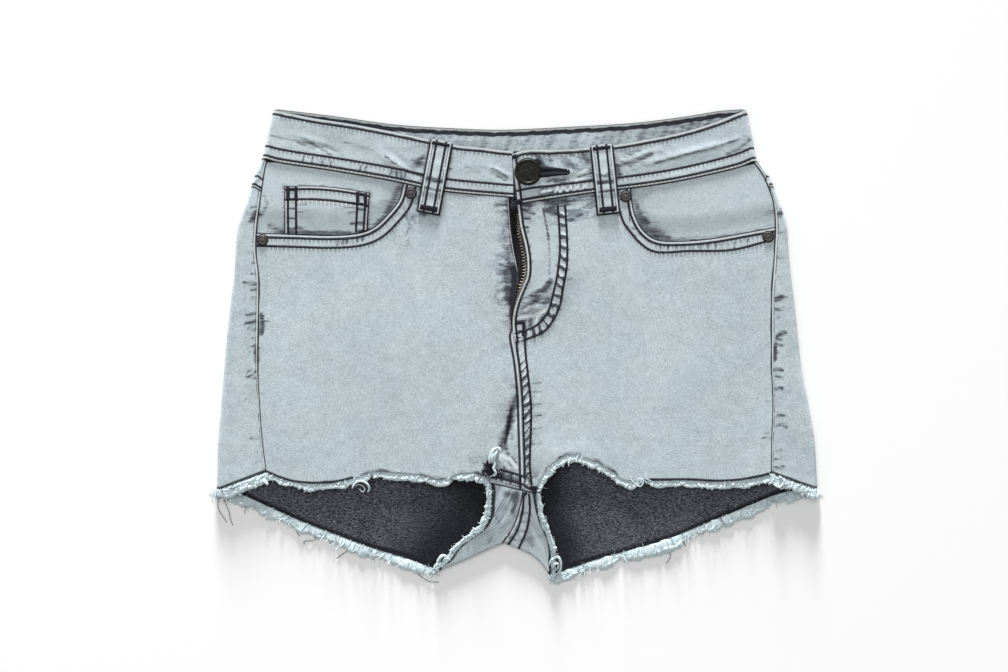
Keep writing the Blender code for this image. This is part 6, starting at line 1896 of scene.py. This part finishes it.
def curls():
    """Rolled-up white threads at the hems; a thick one is twisted from three strands."""
    parts = []
    rings = 30
    for thick, base, rise, points in CURLS:
        flat = line(points, np.linspace(0.0, 1.0, rings))
        wave = np.sin(np.linspace(0.0, pi, rings))
        path = np.column_stack([flat, base + rise * wave])
        aside = offset(flat, 1.0) - flat
        turns, shift = ((0.0, 2.1, 4.2), 0.5 * thick) if thick > 0.7 else ((0.0,), 0.0)
        for turn in turns:
            twist = np.linspace(turn, turn + run_of(flat)[-1] / (2.2 * thick), rings)
            strand = path + np.column_stack([aside * np.sin(twist)[:, None], np.cos(twist)]) * shift
            parts.append((strand[None], thick * (0.25 + 0.35 * wave ** 0.5)[None], 6, 1.0))
    frayed_object("curled_threads", parts, 0.95, 1.0)


def dark_tufts():
    """Tangled dark ends of the seams that meet at the crotch."""
    rng = np.random.default_rng(SEEDS["tufts"])
    paths = []
    for x, y, wide, high, count in TUFTS:
        middle = np.array([x, y]) + np.clip(rng.normal(0.0, 0.5, (count, 2)), -1.1, 1.1) * (wide, high)
        turn = rng.uniform(0.0, 2 * pi, count)[:, None]
        turn = turn + np.linspace(-1.0, 1.0, 7) * rng.normal(0.0, 1.8, (count, 1))
        step = rng.uniform(0.25, 0.6, (count, 1, 1)) * np.stack([np.cos(turn), np.sin(turn)], axis=-1)
        flat = middle[:, None] + np.cumsum(step, axis=1) - step.sum(axis=1, keepdims=True) / 2
        ground = lay(flat[..., 0], flat[..., 1]) + rng.uniform(0.25, 1.3, (count, 1))
        paths.append(np.dstack([flat, ground]))
    paths = np.concatenate(paths)
    lay_threads("dark_tufts", paths, np.full(paths.shape[:2], 0.33), THREAD, 5)


def loose_threads():
    """Dark threads that hang out of the hems and wave up and down on the ground."""
    rng = np.random.default_rng(SEEDS["loose"])
    rings = 16
    paths = []
    for n, points in enumerate(LOOSE_THREADS):
        flat = line(points, np.linspace(0.0, 1.0, rings))
        wave = 0.35 * np.sin(np.linspace(0.0, 5.0 + n % 3, rings) + n)
        height = 0.5 + wave + np.linspace(0.6, 0.0, rings)
        paths.append(np.column_stack([flat + rng.normal(0.0, 0.08, flat.shape), height]))
    paths = np.array(paths)
    lay_threads("loose_threads", paths, np.full(paths.shape[:2], 0.2), THREAD, 5)


# ---------------------------------------------------------------- zip, button and rivets

def zip_teeth():
    """Two rows of teeth that mesh along the middle of the tape."""
    along = np.array([-0.7, -0.5, 0.1, 0.9, TOOTH_REACH - 0.3, TOOTH_REACH])
    swell = TOOTH_RADIUS * np.array([0.55, 0.95, 0.8, 0.8, 0.95, 0.6])
    paths = []
    for n, y in enumerate(np.arange(TAPE_FOOT_Y + 4.0, TAPE_TOP_Y - 5.0, TOOTH_PITCH / 2)):
        x = zip_middle(y) + TEETH_ASIDE + (1 if n % 2 else -1) * along
        level = np.full(len(x), y)
        paths.append(np.column_stack([x, level, tape_height(x, level) + 0.42]))
    radii = np.tile(swell, (len(paths), 1))
    lay_threads("zip_teeth", np.array(paths), radii, BRASS, flat=1.35)


def lathe(name, profile, spot, sides, look, worn=1.0):
    """A round piece from (radius, height) steps about an upright axis, closed, with its crests rubbed."""
    profile = np.array(profile)
    turn = 2 * pi * np.arange(sides) / sides
    ring = np.column_stack([np.cos(turn), np.sin(turn)])
    rings = [np.column_stack([ring * radius, np.full(sides, height)]) for radius, height in profile]
    points = np.concatenate(rings) + (*spot, 0.0)
    index = np.arange(len(points)).reshape(len(profile), sides)
    a, b = index[:-1], index[1:]
    quads = np.stack([a, np.roll(a, -1, axis=1), np.roll(b, -1, axis=1), b], axis=-1).reshape(-1, 4)
    made = add_object(name, points, [quads, index[0][::-1][None], index[-1][None]], [look], crease=32.0)
    lower = np.minimum(np.roll(profile[:, 1], 1), np.roll(profile[:, 1], -1))
    rub = np.clip((profile[:, 1] - lower) / 0.12, 0.0, 1.0) * (profile[:, 1] > np.median(profile[:, 1]))
    give(made, "rub", np.repeat(rub * worn, sides))
    return made


def button():
    """Tack button: a shank through the buttonhole, and a cap on the left part of the band."""
    seat = float(band_height(*np.array(BUTTON_SPOT), -1)) + REST_GAP
    cap = float(band_height(*np.array(BUTTON_SPOT), 1)) + 2 * REST_GAP
    profile = [(0.4, seat), (SHANK_RADIUS, seat), (SHANK_RADIUS, cap)]
    profile += [(BUTTON_RADIUS - inset, cap + rise) for inset, rise in BUTTON_CAP]
    made = lathe("button_metal", profile, BUTTON_SPOT, 96, GUNMETAL, worn=0.0)
    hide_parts("button")


def rivet(name, x, y):
    """A rivet at a corner of a pocket mouth."""
    side = 1 if x > 0 else -1
    seat = float(front_height(np.array(x), np.array(y), side)) + 0.1
    profile = [(RIVET_RADIUS - inset, seat + rise) for inset, rise in RIVET_CAP]
    made = lathe(name + "_metal", profile, (x, y), 48, PEWTER)
    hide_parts(name)


def zip_slider():
    """Slider body with a bridge and a pull that lies down over the teeth."""
    x, y = SLIDER_SPOT
    base = float(tape_height(np.array(x), np.array(y))) + REST_GAP
    shape = bmesh.new()
    for half_top, half_foot, y_top, y_foot, low, high in SLIDER_SLABS:
        ring = [(-half_top, y_top), (half_top, y_top), (half_foot, y_foot), (-half_foot, y_foot)]
        verts = [shape.verts.new((x + a, y + b, base + c)) for c in (low, high) for a, b in ring]
        shape.faces.new(verts[:4])
        shape.faces.new(verts[4:][::-1])
        for k in range(4):
            after = (k + 1) % 4
            shape.faces.new([verts[after], verts[k], verts[4 + k], verts[4 + after]])
    bmesh.ops.recalc_face_normals(shape, faces=shape.faces)
    bmesh.ops.bevel(shape, geom=list(shape.edges), offset=0.22, segments=2, affect="EDGES")
    bmesh.ops.triangulate(shape, faces=shape.faces)
    points = np.array([vert.co for vert in shape.verts])
    shape.verts.index_update()
    faces = np.array([[vert.index for vert in face.verts] for face in shape.faces])
    shape.free()
    made = add_object("zip_slider_metal", points, [faces], [DARK_METAL], crease=30.0)
    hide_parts("zip_slider")


# ---------------------------------------------------------------- materials

class Value:
    """A number, place or colour that a material works out, for writing sums with."""

    def __init__(self, paint, socket):
        self.paint = paint
        self.socket = socket

    def __add__(self, other):
        return self.paint.math("ADD", self, other)

    def __sub__(self, other):
        return self.paint.math("SUBTRACT", self, other)

    def __rsub__(self, other):
        return self.paint.math("SUBTRACT", other, self)

    def __mul__(self, other):
        return self.paint.math("MULTIPLY", self, other)

    def __abs__(self):
        return self.paint.math("ABSOLUTE", self)

    __radd__ = __add__
    __rmul__ = __mul__

    def sine(self):
        return self.paint.math("SINE", self)

    def cosine(self):
        return self.paint.math("COSINE", self)

    def ramp(self, low, high, to_low=0.0, to_high=1.0):
        """A smooth step from to_low at low to to_high at high."""
        inputs = {"Value": self, "From Min": low, "From Max": high, "To Min": to_low, "To Max": to_high}
        return self.paint.node("ShaderNodeMapRange", inputs, "Result", interpolation_type="SMOOTHSTEP")

    def chance(self):
        """A random number from 0 to 1 for each whole number."""
        whole = self.paint.math("FLOOR", self + 0.5)
        return self.paint.node("ShaderNodeTexWhiteNoise", {"W": whole}, "Value", noise_dimensions="1D")

    def parts(self):
        """The three numbers of a place."""
        split = self.paint.tree.nodes.new("ShaderNodeSeparateXYZ")
        self.paint.feed(split.inputs[0], self)
        return [Value(self.paint, output) for output in split.outputs]

    def scaled(self, x, y):
        return self.paint.node("ShaderNodeVectorMath", {0: self, 1: (x, y, 1.0)}, operation="MULTIPLY")

    def noise(self, scale, detail=2.0, rough=0.5, twist=0.0):
        inputs = {"Vector": self, "Scale": scale, "Detail": detail, "Roughness": rough, "Distortion": twist}
        return self.paint.node("ShaderNodeTexNoise", inputs, "Fac")

    def towards(self, colour, share):
        """This colour mixed with a share of another."""
        return self.paint.blend(share, self, colour)

    def gain(self, factor):
        """This colour made lighter or darker by a factor."""
        return self.paint.node("ShaderNodeVectorMath", {0: self, "Scale": factor}, operation="SCALE")


class Paint:
    """A material whose node tree is built from sums of Values."""

    def __init__(self, name, roughness, specular=0.5, sheen=0.0, metallic=0.0):
        self.look = bpy.data.materials.new(name)
        self.look.use_nodes = True
        self.tree = self.look.node_tree
        self.inputs = self.tree.nodes["Principled BSDF"].inputs
        settings = {"Roughness": roughness, "Specular IOR Level": specular, "Sheen Weight": sheen,
                    "Metallic": metallic}
        for field, value in settings.items():
            self.inputs[field].default_value = value

    def feed(self, socket, value):
        if isinstance(value, Value):
            self.tree.links.new(value.socket, socket)
        else:
            socket.default_value = value

    def node(self, kind, inputs, output=0, **settings):
        made = self.tree.nodes.new(kind)
        for setting, value in settings.items():
            setattr(made, setting, value)
        for key, value in inputs.items():
            self.feed(made.inputs[key], value)
        return Value(self, made.outputs[output])

    def math(self, operation, a, b=0.0):
        return self.node("ShaderNodeMath", {0: a, 1: b}, operation=operation)

    def blend(self, share, a, b):
        a, b = ((*colour, 1.0) if isinstance(colour, tuple) else colour for colour in (a, b))
        return self.node("ShaderNodeMix", {0: share, 6: a, 7: b}, 2, data_type="RGBA")

    def attribute(self, name, output):
        return self.node("ShaderNodeAttribute", {}, output, attribute_name=name, attribute_type="GEOMETRY")

    def place(self):
        return self.node("ShaderNodeTexCoord", {}, "Object")

    def finish(self, colour, height_mm):
        """The material with its colour and the height of its fine relief."""
        self.feed(self.inputs["Base Color"], colour)
        bump = self.node("ShaderNodeBump", {"Strength": 1.0, "Distance": MM, "Height": height_mm}, "Normal")
        self.feed(self.inputs["Normal"], bump)
        return self.look


def least(a, b):
    return a.paint.math("MINIMUM", a, b)


def most(first, *others):
    for other in others:
        first = first.paint.math("MAXIMUM", first, other)
    return first


def twill(x, y, pitch):
    """Slanted ribs of the weave, from -1 to 1."""
    return ((x + y * TWILL_SLANT) * (2 * pi / pitch)).sine()


def denim_look():
    """Bleached blue-grey twill: streaky weave, charcoal stains of washing with painted shade of creases and
    edges, dark seams with painted groove shade, painted shadow beside what lies on the cloth, and pale worn
    edges.
    """
    paint = Paint("denim", 0.95, 0.15, 0.03)
    cloth = paint.attribute("cloth", "Vector")
    x, y, _ = cloth.parts()
    ladder, single, count = paint.attribute("seam", "Vector").parts()
    smudge_and_shade, bleach, edge = paint.attribute("wash_and_shade", "Vector").parts()
    under, bars, marble = paint.attribute("near", "Vector").parts()

    warp = cloth.scaled(1.15, 0.36).noise(1.0, 2.0, 0.6)
    weft = cloth.scaled(0.4, 1.1).noise(1.0, 2.0, 0.6)
    curls = cloth.noise(0.55, 2.0, 0.55, 2.0)
    flecks = cloth.noise(0.95, 2.0, 0.6)
    mottle = cloth.noise(0.13, 3.0, 0.6)
    fields = cloth.noise(0.045, 2.0, 0.5)
    drift = cloth.noise(0.014, 2.0, 0.5)
    hue = cloth.scaled(1.0, 1.4).noise(0.021, 2.0, 0.5)

    # the weave
    strokes = warp + fields.ramp(0.46, 0.56) * (weft - warp)
    grain = 0.45 * strokes + 0.25 * curls + 0.3 * flecks
    uneven = 2.1 * (grain - 0.5) + 0.34 * (mottle - 0.5) + 0.3 * (drift - 0.5)
    tone = paint.blend(hue.ramp(0.35, 0.65), DENIM_GREY, DENIM_BLUE)
    tone = tone.gain(1.0 + uneven * bleach.ramp(0.1, 0.9, 1.0, 0.6))
    tone = tone.towards(DENIM_BLEACHED, bleach.ramp(0.1, 0.9, 0.0, 0.45))

    # veined clouds
    veins = abs(cloth.scaled(0.07, 0.17).noise(1.0, 4.0, 0.6, 0.8) - 0.5).ramp(0.045, 0.0)
    clouds = cloth.scaled(0.06, 0.12).noise(1.0, 3.0, 0.6)
    stain = veins * clouds.ramp(0.38, 0.52) + 0.8 * clouds.ramp(0.45, 0.6)
    stain = least(stain * flecks.ramp(0.3, 0.6, 0.6, 1.0) * marble, 0.85)
    tone = tone.towards(DENIM_STAIN, stain)

    # stains of washing and painted shade of creases and edges, and chalky places where the smudge is negative
    streaks = cloth.scaled(0.11, 0.55).noise(1.0, 2.0, 0.55, 0.3)
    ragged = 0.5 * (mottle - 0.5) + (streaks - 0.5) + 0.5 * (curls - 0.5)
    patchy = (smudge_and_shade + ragged).ramp(-0.02, 0.84) * smudge_and_shade.ramp(0.0, 0.2)
    patchy = patchy * most((flecks + streaks).ramp(0.8, 1.15, 0.75, 1.0), smudge_and_shade.ramp(0.9, 1.5))
    chalky = (smudge_and_shade + ragged).ramp(-0.2, -0.7)

    # puckers between and beside the rows of stitches
    shaken = count + 1.1 * mottle
    wave = (2 * pi * shaken).cosine() + (0.06 * least(ladder, 0.0) + 1.6 * (flecks - 0.5))
    wave = wave + 0.9 * ((shaken + 40.0).chance() - 0.5)
    shown = 1.0 - bars
    shown = shaken.chance().ramp(shown, shown + 0.35)
    inside = ladder.ramp(0.1, -0.5)
    crest = 0.75 - 0.55 * bars
    rungs = wave.ramp(crest, crest + 0.5) * (inside * shown)
    near = least(abs(ladder), abs(single))
    creep = near.ramp(3.6, 0.5) * wave.ramp(0.5, 1.1, 0.0, 0.65) * shown
    cells = wave.ramp(0.2, -0.6, 0.4, 1.0) * (inside * bars.ramp(0.0, 0.8, 0.3, 1.0))
    tone = tone.towards(PUCKER_PALE, 0.6 * cells)
    tone = tone.towards(CHALK, 0.9 * chalky)
    tone = tone.towards(SMUDGE_AND_SHADE, 0.92 * most(patchy, rungs, creep))
    tone = tone.towards(SMUDGE_AND_SHADE_DEEP, 0.85 * (smudge_and_shade + 1.4 * ragged).ramp(1.0, 1.9))

    # worn edges, with painted shade on their rounded outer part; dark dye with painted groove shade along the
    # rows, and painted shadow at the edges, along seams and hems and beside whatever lies on the cloth
    worn = edge + 0.8 * (flecks - 0.5)
    strip = most(worn.ramp(1.55, 1.15), single.ramp(-0.3, -0.8))
    # the gain is painted shade on the outer 0.8 mm of an edge, where the low sun would light the rounded
    # cloth
    tone = tone.towards(EDGE_PALE, 0.75 * strip).gain(edge.ramp(0.0, 0.8, 0.5, 1.0))
    thin = abs(worn - 1.85).ramp(0.5, 0.15, 0.0, 0.75)
    row = (near + 0.7 * (flecks - 0.5)).ramp(1.1, 0.65)
    # painted shadow where under is small; rim is painted shade on the outermost 0.4 mm of a rounded edge
    painted_shadow = (under + 0.5 * (flecks - 0.5)).ramp(1.15, 0.5)
    rim = edge.ramp(0.4, 0.15, 0.0, 0.8)
    tone = tone.towards(DARK_DYE_AND_SHADE, 0.96 * most(row, painted_shadow, rim, thin * mottle.ramp(0.42, 0.56)))

    height = 0.003 * twill(x, y, 0.92) + 0.016 * grain + near.ramp(0.0, 0.9, -0.06, 0.0)
    return paint.finish(tone, height)


def inside_look():
    """The wrong side of the cloth: charcoal with fine pale strokes, darkened by painted shade near the hems
    that lie over it.
    """
    paint = Paint("denim_inside", 0.97, 0.1, 0.02)
    cloth = paint.attribute("cloth", "Vector")
    x, y, _ = cloth.parts()
    smudge_and_shade = paint.attribute("wash_and_shade", "Vector").parts()[0]
    weft = cloth.scaled(0.45, 1.3).noise(1.0, 1.0, 0.5, 0.8)
    warp = cloth.scaled(1.3, 0.45).noise(1.0, 1.0, 0.5, 0.8)
    curls = cloth.noise(0.42, 1.0, 0.5, 2.6)
    drift = cloth.noise(0.04, 3.0, 0.6)
    tone = paint.blend(drift.ramp(0.36, 0.62), INSIDE_DARK, INSIDE_PALE)
    strokes = most(weft.ramp(0.54, 0.68), warp.ramp(0.55, 0.69), abs(curls - 0.5).ramp(0.05, 0.01))
    tone = tone.towards(INSIDE_STROKE, 0.8 * strokes)
    tone = tone.towards(INSIDE_GAP, weft.ramp(0.48, 0.38, 0.0, 0.9))
    tone = tone.towards(INSIDE_SHADE, smudge_and_shade.ramp(0.0, 1.0, 0.0, 0.9))
    return paint.finish(tone, 0.004 * twill(-1.0 * x, y, 1.0) + 0.025 * (weft + warp))


def thread_look():
    paint = Paint("thread", 0.8, 0.15, 0.03)
    fibre = paint.place().scaled(2400.0, 900.0).noise(1.0, 1.0)
    return paint.finish(paint.blend(fibre.ramp(0.3, 0.75), THREAD_DARK, THREAD_PALE), 0.12 * fibre)


def fray_look():
    """Frayed yarns: paler towards their tips, with white and grey fibres, and a few dark threads."""
    paint = Paint("fray", 0.95, 0.15, 0.05)
    tone = paint.attribute("tone", "Fac")
    tip = paint.attribute("tip", "Fac")
    fibre = paint.place().noise(700.0, 2.0, 0.6, 1.0)
    colour = paint.blend(tone.ramp(0.15, 0.95), FRAY_GREY, FRAY_PALE)
    colour = colour.towards(FRAY_ROOT, 0.25 * tip.ramp(0.5, 0.0))
    colour = colour.towards(FRAY_WHITE, fibre.ramp(0.4, 0.6, 0.0, 0.3))
    colour = colour.towards(FRAY_SHADE, fibre.ramp(0.45, 0.32, 0.0, 0.5))
    colour = colour.towards(FRAY_DARK, tone.ramp(0.1, 0.0))
    return paint.finish(colour, 0.1 * fibre)


def tape_look():
    """Woven tape: ribs across it and cords along it."""
    paint = Paint("zip_tape", 0.9, 0.1)
    x, y, _ = paint.attribute("cloth", "Vector").parts()
    ribs = (y * (2 * pi / RIB_PITCH)).sine()
    cords = (x * (2 * pi / CORD_PITCH)).sine()
    weave = 0.5 * ribs + 0.5 * cords
    return paint.finish(paint.blend(weave.ramp(-0.8, 0.9), TAPE_DARK, TAPE_PALE), 0.06 * weave)


def metal_look(name, dark, pale, roughness, scratch):
    """Aged metal: paler where rubbed, with fine pits."""
    paint = Paint(name, roughness, metallic=0.9)
    place = paint.place()
    cloudy = place.noise(420.0, 4.0, 0.65)
    pits = place.noise(2600.0, 2.0, 0.6)
    worn = least(cloudy.ramp(0.35, 0.7, 0.0, 0.6) + 0.8 * paint.attribute("rub", "Fac"), 1.0)
    uneven = (0.6 * cloudy + 0.4 * pits).ramp(0.35, 0.65, roughness - 0.1, roughness + 0.14)
    paint.feed(paint.inputs["Roughness"], uneven)
    return paint.finish(paint.blend(worn, dark, pale), scratch * pits)


def floor_look():
    paint = Paint("floor", 0.95, 0.0)
    paint.feed(paint.inputs["Base Color"], (FLOOR_TONE, FLOOR_TONE, FLOOR_TONE, 1.0))
    return paint.look


DENIM = denim_look()
DENIM_INSIDE = inside_look()
THREAD = thread_look()
FRAY = fray_look()
TAPE_LOOK = tape_look()
BRASS = metal_look("brass", (0.10, 0.092, 0.078), (0.52, 0.47, 0.38), 0.5, 0.04)
GUNMETAL = metal_look("gunmetal", (0.012, 0.012, 0.0112), (0.044, 0.044, 0.042), 0.42, 0.02)
DARK_METAL = metal_look("gunmetal_dark", (0.004, 0.004, 0.004), (0.012, 0.0115, 0.011), 0.55, 0.03)
PEWTER = metal_look("gunmetal_worn", (0.045, 0.042, 0.042), (0.10, 0.093, 0.092), 0.6, 0.03)


# ---------------------------------------------------------------- floor, light and camera

LENS = 85.0
SENSOR = 36.0
VIEW_WIDTH = 745.9       # width of the garment's plane that fills the frame
VIEW_MIDDLE = (-9.6, 5.9)
GARMENT_LEVEL = 5.3
WORLD_LIGHT = 0.56
KEY_RISE = 7.5           # degrees above the floor, from behind the waist
KEY_TURN = -3.0
KEY_SPREAD = 9.0
KEY_POWER = 10.6
FILL_POWER = 8.4
FILL_SPOT = (-0.5, 0.7, 1.6)
FILL_SIZE = 1.2
FLOOR_HALF = 3.0
FLOOR_LEVEL = -0.0001    # just below what lies on it


def add_stage():
    """The white floor."""
    mesh = bpy.data.meshes.new("floor")
    corners = [(-1, -1), (1, -1), (1, 1), (-1, 1)]
    mesh.from_pydata([(x * FLOOR_HALF, y * FLOOR_HALF, FLOOR_LEVEL) for x, y in corners], [], [(0, 1, 2, 3)])
    mesh.materials.append(floor_look())
    floor = bpy.data.objects.new("floor", mesh)
    bpy.context.scene.collection.objects.link(floor)


def add_light():
    """An even white world, a low sun from behind the waist and a weak square light over it."""
    world = bpy.data.worlds.new("studio")
    world.use_nodes = True
    back = world.node_tree.nodes["Background"]
    back.inputs["Color"].default_value = (1.0, 1.0, 1.0, 1.0)
    back.inputs["Strength"].default_value = WORLD_LIGHT
    bpy.context.scene.world = world
    data = bpy.data.lights.new("key", "SUN")
    data.energy = KEY_POWER
    data.angle = radians(KEY_SPREAD)
    key = bpy.data.objects.new("key", data)
    key.rotation_euler = (radians(KEY_RISE - 90.0), 0.0, radians(-KEY_TURN))
    bpy.context.scene.collection.objects.link(key)
    data = bpy.data.lights.new("fill", "AREA")
    data.shape = "SQUARE"
    data.size = FILL_SIZE
    data.energy = FILL_POWER
    fill = bpy.data.objects.new("fill", data)
    fill.location = FILL_SPOT
    fill.rotation_euler = (-Vector(FILL_SPOT)).to_track_quat("-Z", "Y").to_euler()
    bpy.context.scene.collection.objects.link(fill)


def add_camera():
    """Looks straight down on the garment."""
    data = bpy.data.cameras.new("camera")
    data.lens = LENS
    data.sensor_width = SENSOR
    made = bpy.data.objects.new("camera", data)
    distance = VIEW_WIDTH * LENS / SENSOR
    middle = (np.array([*VIEW_MIDDLE, GARMENT_LEVEL + distance]) + PLACE) * MM
    made.location = middle.tolist()
    bpy.context.scene.collection.objects.link(made)
    bpy.context.scene.camera = made
    bpy.context.scene.view_settings.view_transform = "Standard"


# ---------------------------------------------------------------- assembly

# Nodes of the imported model whose names differ from the keys of the pieces
NODES = {"waist": "waistband", "coin": "coin_pocket", "tape": "zip_tape", "shield": "fly_shield"}


def node_of(piece):
    """The node of the frame that a piece of cloth stands in for."""
    part, _, side = piece.partition("_")
    whole = {"back": "back_panel_", "yoke": "back_yoke_", "front": "front_panel_", "facing": "pocket_facing_"}
    return NODES.get(piece) or (whole[part] + side if part in whole else piece)


def make_pieces():
    """Every sheet of cloth, with the node it stands in for hidden."""
    pieces = {}
    for side in (-1, 1):
        name = side_name(side)
        pieces["back_" + name] = back_panel(side)
        pieces["yoke_" + name] = back_yoke(side)
        pieces["front_" + name] = front_panel(side)
        pieces["facing_" + name] = pocket_facing(side)
    pieces["coin"] = coin_pocket()
    pieces["waist"] = waistband()
    pieces["tape"] = zip_tape()
    pieces["shield"] = fly_shield()
    for loop in LOOPS:
        pieces[loop[0]] = belt_loop(*loop)
    for piece, shell in pieces.items():
        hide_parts(node_of(piece))
    return pieces


def main():
    """Build the garment, then its threads, fringes and metal, and the stage."""
    pieces = make_pieces()
    pieces["flap_left"] = pieces["back_left"]
    all_stitches(pieces)
    bartacks(pieces)
    keyhole(pieces["waist"])
    for side in (-1, 1):
        name = side_name(side)
        for part, *looks in FRINGES:
            made = fray("fringe_%s_%s_threads" % (part, name), pieces[part + "_" + name].cut,
                        SEEDS["fray"] + 3 * side + len(part), *looks)
            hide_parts("fringe_%s_%s" % (part, name))
    loose_threads()
    curls()
    dark_tufts()
    zip_teeth()
    zip_slider()
    button()
    for name, (x, y) in RIVETS.items():
        rivet(name, x, y)
    add_stage()
    add_light()
    add_camera()


main()
